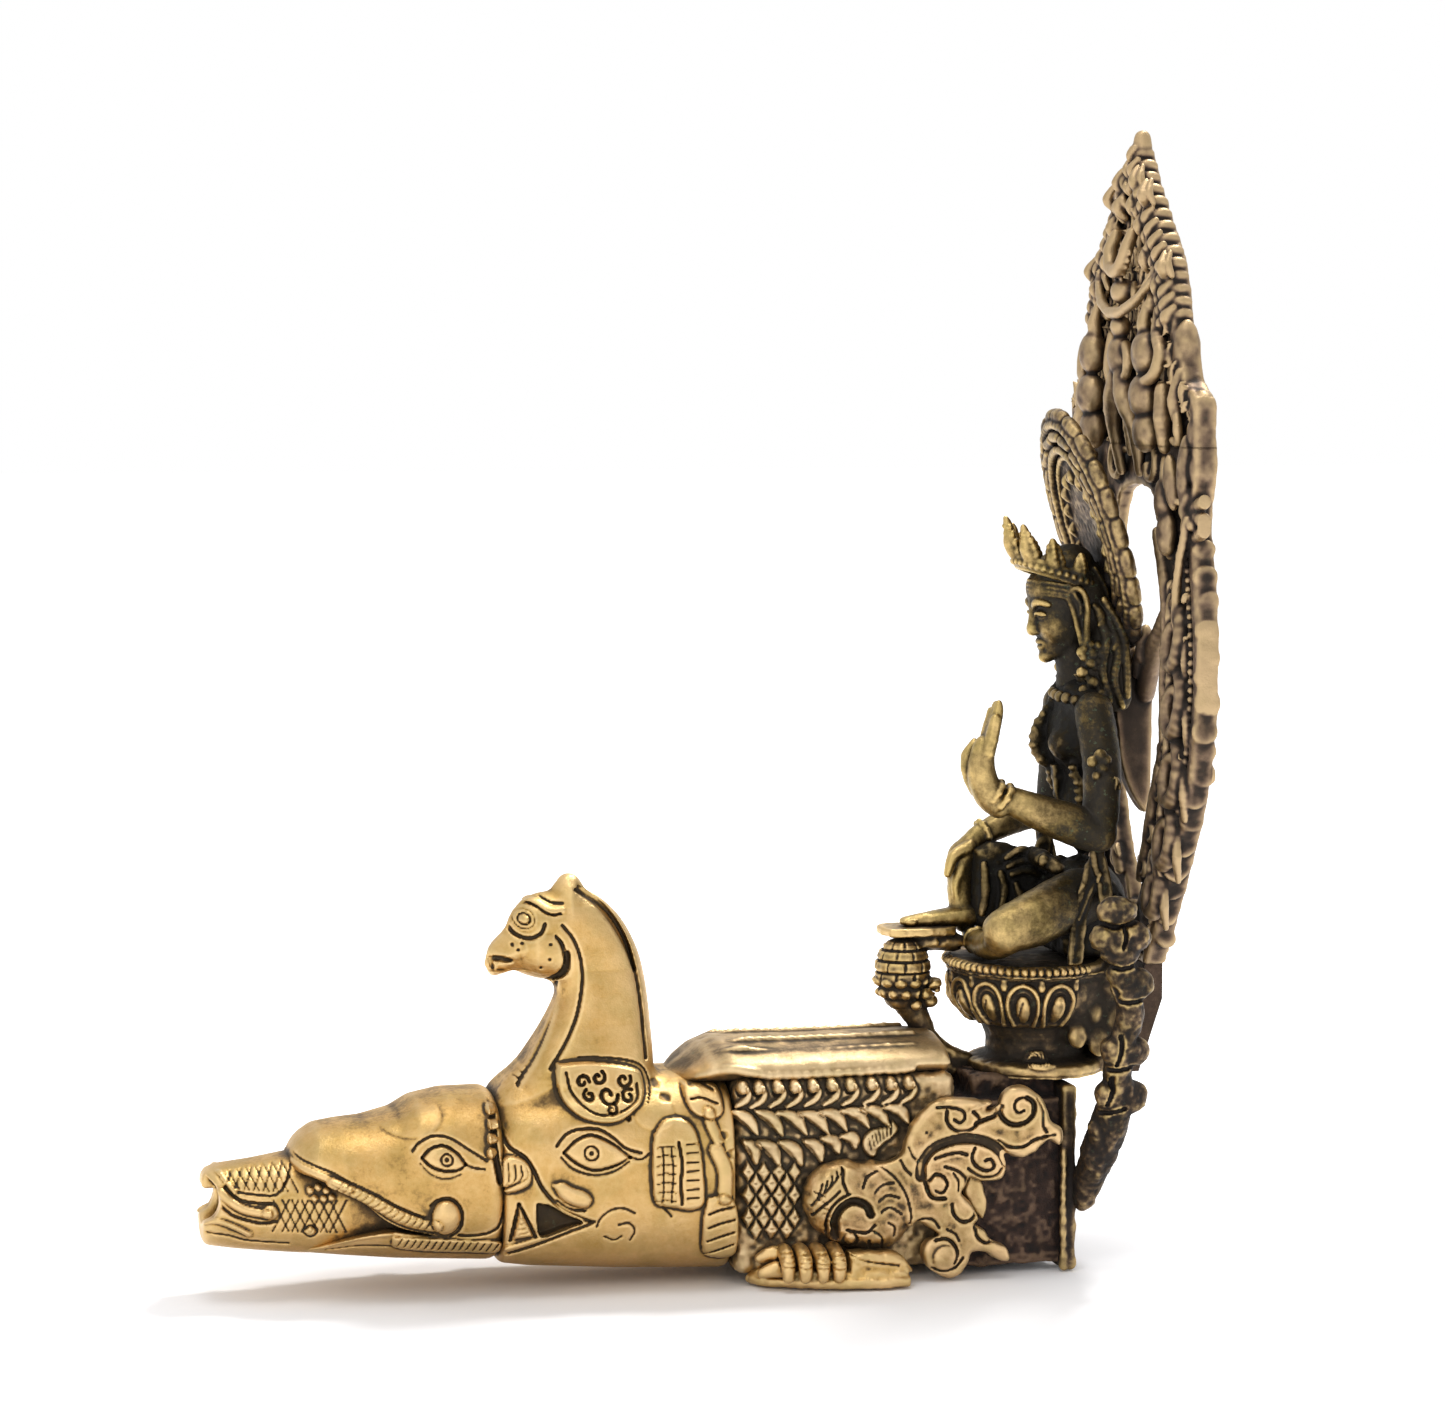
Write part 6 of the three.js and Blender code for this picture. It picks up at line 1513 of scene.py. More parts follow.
def head():
    """Face, hair, veil and earrings."""
    clay = Clay((74.0, -12, 121), (101.5, 0, 161.5), CELL * 0.85)

    def ball(f, s, h, radii, blend):
        clay.add(blob(facing(f, s, h), radii, -NOD), blend)

    def strand(points, radii, blend=0.4, cut=False):
        clay.rope([facing(*p) for p in points], radii, blend, cut=cut)

    ball(-1.0, 0, 3.2, (8.4, 7.3, 8.2), 0.1)
    ball(1.2, 0, -2.4, (6.5, 6.0, 9.0), 2.0)
    ball(4.4, 0, -8.6, (2.9, 3.0, 2.6), 2.0)
    ball(4.4, -3.0, -3.6, (2.9, 2.7, 3.3), 1.5)
    ball(4.9, 0, 5.2, (2.6, 4.6, 3.2), 1.8)
    clay.cut(blob(facing(8.7, -2.9, 0.3), (1.5, 2.3, 1.3), -NOD), 1.6)
    ball(6.5, -2.95, -0.3, (1.15, 2.0, 1.2), 0.3)
    strand([(7.4, -1.3, -0.9), (7.8, -2.5, 0.15), (7.4, -3.9, 0.2), (6.1, -5.1, -0.4)],
           [0.16, 0.24, 0.24, 0.16], 0.3)
    strand([(7.5, -1.4, -1.0), (7.7, -2.6, -0.75), (7.2, -4.0, -0.7), (6.2, -5.0, -0.7)],
           [0.16, 0.24, 0.24, 0.14], 0.1, True)
    strand([(7.3, -0.9, 1.3), (7.35, -2.4, 2.4), (6.7, -4.2, 2.6), (5.2, -5.8, 1.7)],
           [0.25, 0.34, 0.32, 0.2], 0.9)
    strand([(6.7, 0, 2.8), (7.3, 0, -0.1), (8.1, 0, -2.8), (8.3, 0, -3.7)], [0.75, 0.75, 0.85, 0.95], 1.0)
    ball(7.5, -0.9, -4.1, (0.9, 0.7, 0.65), 0.5)
    strand([(6.4, -2.0, -6.9), (7.2, -1.0, -6.45), (7.5, 0, -6.6)], [0.25, 0.45, 0.42], 0.6)
    strand([(6.4, -1.8, -7.2), (7.1, -0.8, -7.7), (7.25, 0, -7.75)], [0.25, 0.45, 0.52], 0.6)
    strand([(6.6, -2.3, -7.05), (7.6, -1.1, -7.05), (8.1, 0, -7.15)], [0.1, 0.16, 0.18], 0.1, True)
    ball(6.6, 0, -10.0, (1.6, 1.8, 1.5), 0.9)
    ball(-3.4, 0, 1.6, (7.8, 7.6, 9.4), 0.7)
    ball(-8.0, 0, -2.0, (4.2, 4.6, 5.0), 1.0)
    for h, f in ((7.6, 7.1), (6.6, 7.5), (5.7, 7.7), (4.9, 7.7)):
        strand([(f, -0.2, h), (f - 1.0, -2.8, h - 0.5), (f - 3.2, -5.4, h - 1.1), (f - 5.9, -6.9, h - 2.1),
                (f - 7.4, -7.4, h - 3.0)], [0.3, 0.36, 0.4, 0.42, 0.4], 0.25)
    for k in range(5):
        strand([(0.6 - 1.9 * k, -6.6 + 0.35 * k, 7.4), (-0.4 - 2.0 * k, -7.7 + 0.5 * k, 3.4 - 0.3 * k),
                (-1.6 - 1.8 * k, -7.4 + 0.7 * k, -1.6 - 0.5 * k)], [0.45, 0.5, 0.4], 0.3)
    strand([(0.9, -7.0, 3.4), (-0.6, -7.9, 4.4), (-2.2, -8.6, 3.2), (-2.5, -8.9, 0.0), (-1.6, -8.6, -4.0),
            (-0.9, -8.2, -7.6), (-0.2, -7.7, -8.9)], [0.5, 0.6, 0.65, 0.65, 0.7, 0.85, 0.8], 0.3)
    strand([(0.9, -7.2, 2.0), (0.5, -7.7, -1.2), (0.3, -7.8, -4.8), (0.0, -7.7, -8.4)],
           [0.5, 0.55, 0.55, 0.7], 0.4)
    strand([(-0.5, -7.8, 2.6), (-1.2, -8.2, 0.6), (-0.8, -8.2, -1.6)], [0.35, 0.4, 0.35], 0.3)
    ball(-0.9, -7.4, -2.0, (1.5, 0.7, 5.6), 0.5)
    middle = facing(-1.6, -8.6, -10.6)
    clay.add(blob(middle, (1.3, 0.9, 1.3)), 0.3)
    for k in range(7):
        turn = k * 2 * math.pi / 7
        spot = (middle[0] + 2.1 * math.cos(turn), middle[1] + 0.2, middle[2] + 2.1 * math.sin(turn))
        clay.add(blob(spot, (0.95, 0.8, 0.95)), 0.25)
    strand([(-5.6, -7.2, -2.0), (-7.6, -7.6, -4.4), (-5.8, -8.2, -6.2), (-7.8, -8.4, -8.6),
            (-6.6, -8.6, -10.8)], [0.9, 0.9, 0.8, 0.75, 0.6], 0.3)
    strand([(-4.2, -8.0, -0.4), (-5.6, -8.4, -2.8), (-4.4, -8.6, -4.8)], [0.6, 0.6, 0.45], 0.3)
    clay.rope([(88.6, 0, 139), (89.4, 0, 132), (89.8, 0, 128)], [3.9, 3.6, 4.2], 1.2)
    veil = side([(1088, 596), (1108, 604), (1124, 634), (1131, 672), (1130, 704), (1116, 712), (1100, 706),
                 (1088, 700), (1080, 680), (1084, 652), (1094, 632)], -6)
    clay.add(inflate(veil, 2.2, 2.6, -5.4), 1.0)
    for u, v, lean in ((1082, 652, 0), (1090, 662, 1), (1082, 672, 0), (1092, 682, 1), (1084, 690, 0),
                       (1100, 694, 1)):
        x, z = side([(u, v)], -8)[0]
        clay.add(blob((x, -8.2 - 0.3 * lean, z), (1.35, 1.0, 1.3)), 0.3)
        clay.add(blob((x + 1.2, -8.0, z - 1.2), (0.8, 0.7, 0.8)), 0.3)
    veil_folds = (
        [(1098, 610), (1106, 640), (1102, 668), (1110, 700)],
        [(1110, 622), (1118, 650), (1114, 680), (1122, 706)],
        [(1104, 600), (1122, 632), (1126, 664), (1127, 696)],
    )
    for line in veil_folds:
        clay.rope([(x, -8.1, z) for x, z in side(line, -8)], [0.9, 1.1, 1.0, 0.8], 0.3)
    clay.roughen(0.06, 1.1, 31)
    clay.mirror()
    cast(clay, "head_skin", ["head", "near_earring", "far_earring"], SKIN)


def crown():
    """A beaded band with seven leaves."""
    clay = Clay((70.5, -12.5, 147.5), (99, 0, 168.5), CELL * 0.85)

    def ring(angle, out=0.0, up=0.0):
        c = math.cos(angle)
        return facing(0.3 + (8.0 + out) * c, -(7.5 + out) * math.sin(angle), 7.4 + 4.9 * c + up)

    turns = np.linspace(0, math.pi, 15)
    clay.rope([ring(t) for t in turns], [1.25], 0.4, steps=3)
    clay.rope([ring(t, 0.5, 1.3) for t in turns], [0.7], 0.3, steps=3)
    clay.rope([ring(t, 0.4, -1.3) for t in turns[:9]], [0.5], 0.3, steps=3)
    clay.add(blob(facing(-1.0, 0, 6.8), (7.9, 7.2, 6.2), -0.75), 0.6)
    for t in np.linspace(0, 2.2, 14):
        clay.add(blob(ring(t, 1.0, 0.1), (0.8, 0.8, 0.8)), 0.2)
    leaves = ((0.0, (72.9, 0, 166.6), 1.6), (0.66, (75.7, -4.1, 164.8), 1.5), (1.3, (81.3, -8.2, 161.8),
            1.45), (1.95, (87.6, -9.3, 158.6), 1.3))
    for turn, tip, wide in leaves:
        base = np.array(ring(turn, 0.2, 1.4))
        tip = np.array(tip, float)
        clay.rope([base, base + (tip - base) * 0.35 + (-0.5, 0, -0.3), base + (tip - base) * 0.7, tip],
                  [wide, wide * 0.95, wide * 0.62, 0.55], 0.5)
        for share, size in ((0.12, 1.0), (0.34, 0.95), (0.56, 0.8), (0.76, 0.62)):
            middle = base + (tip - base) * share
            aside = np.array([math.sin(turn), -math.cos(turn), 0])
            for way in (-1, 1):
                knob = middle + aside * way * wide * (1.05 - 0.5 * share)
                clay.add(blob(knob, (size, size, size * 1.1)), 0.25)
            clay.add(blob(middle + np.array([-math.cos(turn), -math.sin(turn),
                    0.2]) * wide * (0.85 - 0.3 * share), (size * 0.8,) * 3), 0.2)
    clay.roughen(0.06, 0.9, 32)
    clay.mirror()
    cast(clay, "crown_skin", ["crown"], SKIN)


def fingers(clay, root, tips, radii, bend):
    """Four fingers side by side, each from the palm through a bend to its tip."""
    for i, tip in enumerate(tips):
        shift = (i - 1.5) * 1.15
        start = (root[0], root[1] + shift * 0.85, root[2])
        middle = [(a + b) / 2 + c for a, b, c in zip(start, tip, bend)]
        clay.rope([start, middle, tip], radii, 0.18)


def bangle(clay, centre, axis, radius, thick, beads=10):
    """A ring of beads round a limb."""
    axis = np.array(axis, float) / np.linalg.norm(axis)
    aside = np.cross(axis, (0, 1, 0))
    aside = aside / np.linalg.norm(aside)
    other = np.cross(axis, aside)
    around = [np.array(centre) + radius * (math.cos(t) * aside + math.sin(t) * other)
              for t in np.linspace(0, 2 * math.pi, beads + 1)]
    clay.rope(around, [thick * 0.7], 0.25, steps=3)
    for spot in around[:-1]:
        clay.add(blob(spot, (thick,) * 3), 0.15)


def body():
    """Torso and hips with their beads, belt and ribbons, and a dark drape that is painted shade under the
    thigh.
    """
    clay = Clay((64, -22, 68.4), (102.5, 22, 132), CELL)
    chest = (
        ((90.2, 0, 118.5), (6.9, 11.6, 9.6), 0.1),
        ((91.8, 0, 102.5), (6.0, 8.0, 11), 2.5),
        ((90.8, 0, 79.5), (10.2, 12.6, 10.6), 3.0),
        ([(90.2, -11.0, 123.6), (89.4, 0, 127.2), (90.2, 11.0, 123.6)], [3.4, 4.0, 3.4], 1.6),
    )
    clay.model(chest)
    for way in (-1, 1):
        clay.add(blob((85.3, way * 5.0, 116.6), (3.5, 3.8, 3.9)), 1.0)
    clay.add(slab((84, -11, 68.6), (99, 11, 74), 2.0), 2.0)
    edge_far = side([(1064, 668), (1058, 690), (1052, 703), (1044, 716), (1036, 730), (1035, 745),
                     (1040, 757), (1050, 766), (1054, 782), (1064, 801)], 2.5)
    edge_near = side([(1078, 672), (1086, 690), (1078, 712), (1074, 730), (1078, 750), (1073, 768),
                      (1080, 790), (1078, 815)], -6)
    for line, y, radius in ((edge_far, 2.5, 1.0), (edge_near, -6.6, 0.9)):
        path = [(x, y, z) for x, z in line]
        clay.rope(path, [radius], 0.4)
        for i, (x, z) in enumerate(spaced(curve(line), 1.9)):
            clay.add(blob((x - 0.5, y + (0.3 if i % 2 else -0.3), z), (0.95, 1.1, 0.8)), 0.25)
    sheet = list(edge_far) + [(88, edge_far[-1][1]), (90, 128)]
    clay.add(prism([tuple(p) for p in sheet], 1.4, 3.4, 0.5, smooth=False), 0.4)
    clasp = [(1052, 765), (1066, 765), (1072, 800), (1064, 802), (1056, 798)]
    clay.add(prism(side(clasp, -1), -1.6, 0.6, 0.4), 0.4)
    for k in range(9):
        turn = math.pi * (0.55 + 0.11 * k)
        clay.add(blob((89.4 + 5.6 * math.cos(turn), 7.6 * math.sin(turn) - 3, 128.2 - k * 0.25),
                      (1.2, 1.2, 1.3)), 0.3)
    for k in range(15):
        turn = math.pi * (0.42 + 0.083 * k)
        x = 90.6 + 10.0 * math.cos(turn)
        clay.add(blob((x - 0.6, -12.4 * math.cos(turn), 88.6), (1.5, 1.5, 1.6)), 0.3)
    clay.rope([(82.6, -9, 89), (80.8, -3, 90.4), (80.8, 3, 90.4), (82.6, 9, 89)], [1.6, 1.9, 1.9, 1.6], 0.5)
    for k in range(7):
        clay.add(blob((80.0, -7.2 + 2.4 * k, 90.4), (1.25, 1.1, 1.3)), 0.25)
    strips = (
        [(1117, 788), (1113, 800), (1105, 828), (1104, 850), (1109, 872), (1112, 900), (1099, 902),
         (1095, 874), (1090, 850), (1093, 826), (1101, 800), (1112, 780)],
        [(1093, 850), (1102, 856), (1100, 876), (1094, 894), (1088, 914), (1084, 936), (1082, 963),
         (1068, 963), (1070, 938), (1073, 914), (1079, 892), (1084, 870)],
    )
    for strip, y in zip(strips, (-19.4, -18.6)):
        outline = side(strip, y)
        for way in (1, -1):
            clay.add(inflate(outline, 0.9, 1.1, way * y), 0.3)
            edge = np.vstack([outline[6:], outline[:1]]) if y < -19 else outline[7:]
            clay.rope([(x + 0.4, way * (y - 0.7), z) for x, z in edge], [0.5, 0.75, 0.55, 0.7, 0.5], 0.25)
    # The drape: a dark sheet put in the gap under the raised thigh to stand for the shade there, with folds;
    # painted shade
    shade_drape = side([(974, 850), (992, 842), (1016, 846), (1040, 856), (1060, 862), (1062, 905), (1030, 930),
                  (988, 934), (973, 915)], 5)
    clay.add(inflate(shade_drape, 3, 3.8, 5.6), 0.5)
    shade_drape_folds = (
        [(1006, 858), (1022, 850), (1040, 856), (1056, 862)],
        [(1008, 866), (1026, 860), (1050, 872)],
        [(1012, 874), (1030, 870), (1048, 882)],
        [(1000, 872), (1004, 890), (1000, 912)],
        [(1016, 884), (1020, 900), (1014, 918)],
        [(984, 864), (986, 890), (982, 914)],
    )
    for line in shade_drape_folds:
        clay.rope([(x, 1.6, z) for x, z in side(line, 1.6)], [0.7, 1.0, 0.7], 0.4)
    r = Relief(clay)
    r.plane = -12
    chest_strings = (
        [(1118, 700), (1100, 720), (1092, 745)],
        [(1124, 720), (1108, 745), (1100, 775)],
        [(1092, 760), (1104, 775), (1098, 800)],
        [(1072, 880), (1060, 900), (1050, 930)],
        [(1088, 870), (1078, 890), (1068, 915)],
        [(1098, 800), (1090, 815), (1094, 830)],
    )
    for line in chest_strings:
        r.line(line, 0.9, 0.45)
    clay.emboss(r)
    clay.roughen(0.2, 1.4, 33)
    cast(clay, "body_skin", ["torso", "hips", "near_ribbon", "far_ribbon"], SHADED_DARK_SKIN)


def limbs():
    """Arms and legs: one hand raised, one on the knee, one leg folded, one hanging."""
    clay = Clay((49.5, -26, 68.2), (97, 23, 131), CELL)
    clay.rope([(90.0, -11.6, 124), (90.6, -15.6, 113), (89.6, -18.4, 103), (88.6, -19.2, 98.6)],
              [4.3, 4.2, 4.0, 3.9], 0.4)
    fore = side([(1095, 833), (1071, 824), (1043, 814), (1014, 802), (1001, 798)], -17)
    clay.rope([(x, y, z) for (x, z), y in zip(fore, (-19, -18.6, -18, -17, -16.6))],
              [4.2, 4.4, 3.9, 3.0, 2.4], 0.6)
    palm = side([(999, 806), (988, 792), (981, 770), (984, 745)], -17)
    clay.rope([(x, -17, z) for x, z in palm], [2.7, 3.2, 2.9, 2.2], 0.6)
    raised_fingers = (
        ((993, 722), (993, 717)),
        ((996, 716), (998, 703)),
        ((996, 715), (997, 704)),
        ((992, 725), (993, 711)),
    )
    for i, (bend, end) in enumerate(raised_fingers):
        y = -17 + (i - 1.5) * 1.15
        line = side([(986, 752), bend, end], -17)
        clay.rope([(x, y, z) for x, z in line], [1.6, 1.35, 0.7], 0.2)
    thumb = side([(977, 790), (970, 772), (969, 756), (976, 742)], -15.4)
    clay.rope([(x, -15.0 + 0.3 * i, z) for i, (x, z) in enumerate(thumb)], [1.7, 1.6, 1.35, 0.75], 0.35)
    spot = side([(1003, 799)], -17)[0]
    bangle(clay, (spot[0] - 0.4, -17, spot[1]), (1, 0, -0.75), 3.3, 0.95, 9)
    bangle(clay, (spot[0] - 2.2, -17, spot[1] + 1.2), (1, 0, -0.75), 3.0, 0.9, 9)
    for u, v, size in ((1102, 756, 1.5), (1094, 762, 1.3), (1104, 768, 1.4), (1098, 776, 1.1),
                       (1110, 780, 1.4), (1108, 760, 1.1)):
        x, z = side([(u, v)], -21)[0]
        clay.add(blob((x, -20.0, z), (size, 1.0, size)), 0.4)
    left_arm = (
        ([(90.0, 11.6, 124), (90.6, 15.6, 113), (90.2, 17.2, 103), (89.6, 16.8, 100)], [4.3, 4.2, 4.0, 3.8],
         0.4),
        ([(89.4, 16.8, 99.8), (82, 13.6, 98.4), (75, 10.8, 96.4), (69.4, 9.4, 94.2)], [3.7, 3.4, 2.9, 2.3],
         0.5),
    )
    clay.model(left_arm)
    bangle(clay, (71.0, 9.8, 95.0), (1, 0.2, 0.35), 2.7, 0.8)
    clay.rope([(69.0, 9.4, 93.6), (66.2, 8.4, 90.6), (65.0, 7.9, 87.4)], [2.4, 2.7, 2.3], 0.5)
    fingertips = [(63.9, 6.4, 80.6), (63.5, 7.6, 79.8), (63.7, 8.8, 80.4), (64.3, 9.9, 81.6)]
    fingers(clay, (65.0, 8.0, 87.6), fingertips, [1.3, 1.2, 1.05, 0.7], (-0.7, 0, 0))
    thumb_and_thigh = (
        ([(66.8, 6.8, 92.2), (63.0, 6.0, 90.2), (61.6, 6.0, 86.4)], [1.6, 1.3, 0.9], 0.3),
        ([(92, 7, 78.5), (81.5, 10.6, 84.0), (72.8, 10.4, 87.4), (68.6, 9.6, 88.0)], [6.0, 5.2, 4.2, 3.4],
         0.6),
    )
    clay.model(thumb_and_thigh)
    shin = side([(963, 856), (961, 880), (961, 905), (963, 920)], 8)
    clay.rope([(x, 9.2 - 0.6 * i, z) for i, (x, z) in enumerate(shin)], [3.2, 2.7, 2.5, 2.6], 0.7)
    clay.rope([(66.8, 7.2, 76.6), (61.5, 6.8, 76.4), (55.5, 6.4, 76.0), (51.4, 6.2, 75.9)],
              [2.5, 2.0, 1.5, 0.9], 0.5, flat=1.5)
    bangle(clay, (66.6, 7.4, 77.6), (0.1, 0, 1), 2.9, 0.7)
    for i in range(5):
        clay.add(blob((52.0 + abs(i - 1.2) * 0.5, 3.9 + i * 1.15, 75.9), (1.4, 0.62, 0.8)), 0.15)
    thigh = side([(1088, 900), (1060, 909), (1030, 921), (1003, 930)], -17)
    clay.rope([(x, y, z) for (x, z), y in zip(thigh, (-11, -14.4, -17, -18))], [6.4, 6.1, 5.8, 4.8], 0.6)
    clay.rope([(68.2, -17.2, 75.0), (67.2, -10, 72.4), (67.0, -2, 71.6), (67.6, 5.6, 71.6),
               (69, 11.6, 71.6)], [4.0, 3.2, 2.6, 2.2, 1.4], 0.8)
    for i in range(5):
        clay.add(blob((67.4 + 0.75 * i, 12.4 - 0.2 * i, 71.8), (0.55, 1.3, 0.8)), 0.15)
    bangle(clay, (67.3, 1.6, 71.7), (0.06, 1, 0), 2.8, 0.6)
    clay.roughen(0.09, 1.6, 34)
    clay.cut(slab((40, -40, 60), (120, 40, 68.55), 0.01), 0.05)
    cast(clay, "limbs_skin", ["left_arm", "right_arm", "left_leg", "right_leg"], SKIN)


# The aureole's foot, height, half width and back in mm, and how high its bands end and its crest starts
RING_FOOT = 67.0
RING_TALL = 181.5
RING_HALF = 46.7
RING_BACK = 106.9
CREST = 183.0


def ring_edge(inset=0.0):
    """The aureole's near outline as (y, z), from the foot to the tip."""
    rows = [(0, .28), (.063, .475), (.143, .69), (.221, .874), (.319, .98), (.402, 1), (.495, .94),
            (.554, .89), (.61, .95), (.66, .93), (.7, .92), (.72, .775), (.785, .63), (.86, .512),
            (.917, .3), (.954, .16), (1, .02)]
    return np.array([(-wide * (RING_HALF - inset), RING_FOOT + inset * 0.6 + up * (RING_TALL - inset * 2.4))
                     for up, wide in rows])


def hole_edge():
    """The near half of the aureole's opening as (y, z)."""
    rows = [(0, .1), (.13, .4), (.26, .64), (.4, .88), (.62, .96), (.73, 1), (.8, .87), (.86, .7),
            (.975, .48), (1, .1)]
    return np.array([(-wide * 24, 80 + up * 94) for up, wide in rows])


def closed(edge):
    """A near half outline, closed a little past the middle."""
    line = curve(edge, 3)
    return np.vstack([line, [(3, line[-1][1]), (3, line[0][1])]])


def across(edge, z):
    """How far out an outline is at a height."""
    return float(np.interp(z, edge[:, 1], edge[:, 0]))


def placed(points, x):
    """Pixels as places on the upright plane at x."""
    return [(x, y, z) for y, z in front(points, x)]


def aureole():
    """Two bands with volutes and flames, the pointed crest with its figures, and the finial."""
    cell = CELL * 1.3
    clay = Clay((93.6, -47.4, 66), (107.6, 0, 253.4), cell)
    rim, inner = ring_edge(), ring_edge(3.6)
    hole = hole_edge()
    clay.add(prism(closed(ring_edge(2.0)), 103.4, RING_BACK, 0.3, False, 0), 0.1)
    frame_band = Clay(clay.low, clay.low + cell * (np.array(clay.d.shape) - 1), cell)
    frame_band.add(prism(closed(ring_edge(0.4)), 101.7, RING_BACK, 1.2, False, 0), 0.1)
    frame_band.cut(prism(closed(inner), 90, 120, 0.1, False, 0), 0.6)
    clay.d = np.minimum(clay.d, frame_band.d)
    clay.cut(prism(closed(hole), 90, 120, 0.1, False, 0), 0.6)

    r = Relief(clay, 0)
    bands = []
    for z in np.arange(84, 176, 9.0):
        outer, near_hole = across(rim, z) + 4.2, across(hole, z) - 1.6
        bands.append((z, (outer + near_hole) / 2, abs(near_hole - outer) / 2))
    for i, (z, y, wide) in enumerate(bands):
        way = 1 if i % 2 else -1
        r.spiral((y + wide * 0.6, z + 4.6), wide * 0.36, 0.9, 0.5, 2.1, 1.7, -way, 0.7)
        r.line([(y - wide * 0.9, z - 4), (y - wide * 0.75, z + 1), (y - wide * 0.95, z + 4.5)], 2.8, 1.8,
               taper=0.7)
        r.dome((y - wide * 0.1, z), (1.5, 1.5), 1.9)
    for z in np.arange(186, 240, 4.2):
        outer = across(rim, z) + 4.6
        for y in np.arange(outer, 0, 5.2):
            r.line([(y, z - 2.6), (y + 1.0, z), (y - 0.4, z + 2.6)], 1.7, 1.3, taper=0.7)
            r.line([(y + 2.2, z - 1.6), (y + 3.0, z + 0.6), (y + 1.8, z + 2.8)], 1.1, 1.0, taper=0.7)
    clay.emboss(r, 0.3, 0.7, 0)

    # The hole's lip and the beads along the border
    lip = [(102.7, across(hole, z) - 1.3, z) for z in np.arange(86, 170, 6)]
    clay.rope(lip, [1.2, 1.5, 1.1, 1.6, 1.8, 1.2], 0.5)
    for y, z in spaced(curve(ring_edge(4.6)[:9], 6), 2.0):
        if z > 70:
            clay.add(blob((102.0, y, z), (0.95, 0.9, 0.85)), 0.2)
    rng = np.random.default_rng(12)
    for z in np.arange(74, 162, 5.4):
        y = across(rim, z)
        size = rng.uniform(0.8, 1.25)
        clay.add(blob((104.2 + rng.uniform(-1.0, 1.2), max(y + 0.5, -45.2), z + rng.uniform(-1, 1)),
                      (2.4 * size, 0.8, 2.1 * size)), 0.8)

    # Flames up both sides of the crest
    for k, z in enumerate(np.arange(211.5, 247.5, 2.75)):
        y = across(rim, z)
        size = 1.12 - 0.3 * k / 13
        clay.add(blob((104.4, y + 0.9, z), (2.3, 1.5, 1.6)), 0.3)
        clay.rope([(102.4, y + 3.6, z - 2.6), (101.2, y + 2.5, z - 0.6), (102.2, y + 1.2, z + 1.5)],
                  [1.1 * size, 1.4 * size, 0.8 * size], 0.2)
        if z < 243:
            clay.rope([(102.0, y + 6.0, z - 3.6), (101.0, y + 5.0, z - 1.8), (101.9, y + 4.0, z + 0.2)],
                      [0.8 * size, 1.15 * size, 0.7 * size], 0.2)
    clay.add(blob((104.3, across(rim, 203) + 2.8, 203.2), (3.0, 2.7, 7.4)), 0.8)
    for z, tall, x, deep in ((192.2, 3.2, 104.4, 2.5), (186.0, 4.2, 103.9, 2.9), (178.2, 4.4, 104.0, 2.9),
                             (171.6, 3.6, 103.8, 2.8)):
        clay.add(blob((x, across(rim, z) + 2.9, z), (deep, 2.9, tall)), 0.35)
    clay.rope(placed([(1206, 500), (1196, 512), (1206, 526), (1196, 540)], 103), [1.4, 1.6, 1.6, 1.2], 0.4)
    clay.rope(placed([(1188, 497), (1186, 512), (1192, 526)], 101.5), [1.2, 1.5, 1.1], 0.4)

    # The middle of the crest: a clawed collar, a round body and a garland
    clay.rope([(100.2, -5.6, 229.8), (98.7, -5.7, 226.2), (98.1, -3.4, 222.4), (98.0, 0, 221.2)],
              [1.25, 1.5, 1.6, 1.6], 0.25)
    for z, y in ((222.6, -4.6), (224.0, -5.9), (225.7, -6.9), (221.3, -3.0), (220.2, -1.2)):
        clay.add(blob((98.9, y - 0.4, z - 0.5), (0.6, 0.75, 0.6)), 0.15)
    garland = (
        ((100.0, 0, 216.9), (2.9, 3.6, 2.9), 0.3),
        ([(101.5, -3.4, 218.6), (101.0, -4.6, 216.4), (101.4, -4.2, 213.8)], [0.7, 0.9, 0.7], 0.2),
        ([(101.8, -24.0, 222.6), (100.2, -18.0, 218.6), (98.8, -11.5, 214.6), (98.0, -4.0, 212.4),
          (97.8, 0, 212.2)], [0.6, 1.0, 1.15, 1.2, 1.2], 0.2),
        ([(102.2, -21.0, 223.6), (101.0, -16.0, 220.2), (100.4, -12.0, 217.5)], [0.5, 0.8, 0.6], 0.2),
    )
    clay.model(garland)
    for y, z, lean in ((-20, 218.5, 2.2), (-16.5, 214.5, 1.8), (-24, 222.5, 2.0), (-12.5, 224.5, 1.4),
                       (-9, 232, 1.2), (-4, 236.5, 0.8), (-11, 238.5, 1.6), (-5, 242, 1.2)):
        clay.rope([(101.8, y, z - 3.2), (100.2, y - lean * 0.6, z - 0.8), (101.6, y + lean * 0.4, z + 2.6)],
                  [0.9, 1.3, 0.5], 0.25)
        clay.rope([(102.2, y - 2.4, z - 2.6), (101.4, y - 2.0, z), (102.4, y - 0.6, z + 2.8)],
                  [0.6, 0.9, 0.4], 0.2)

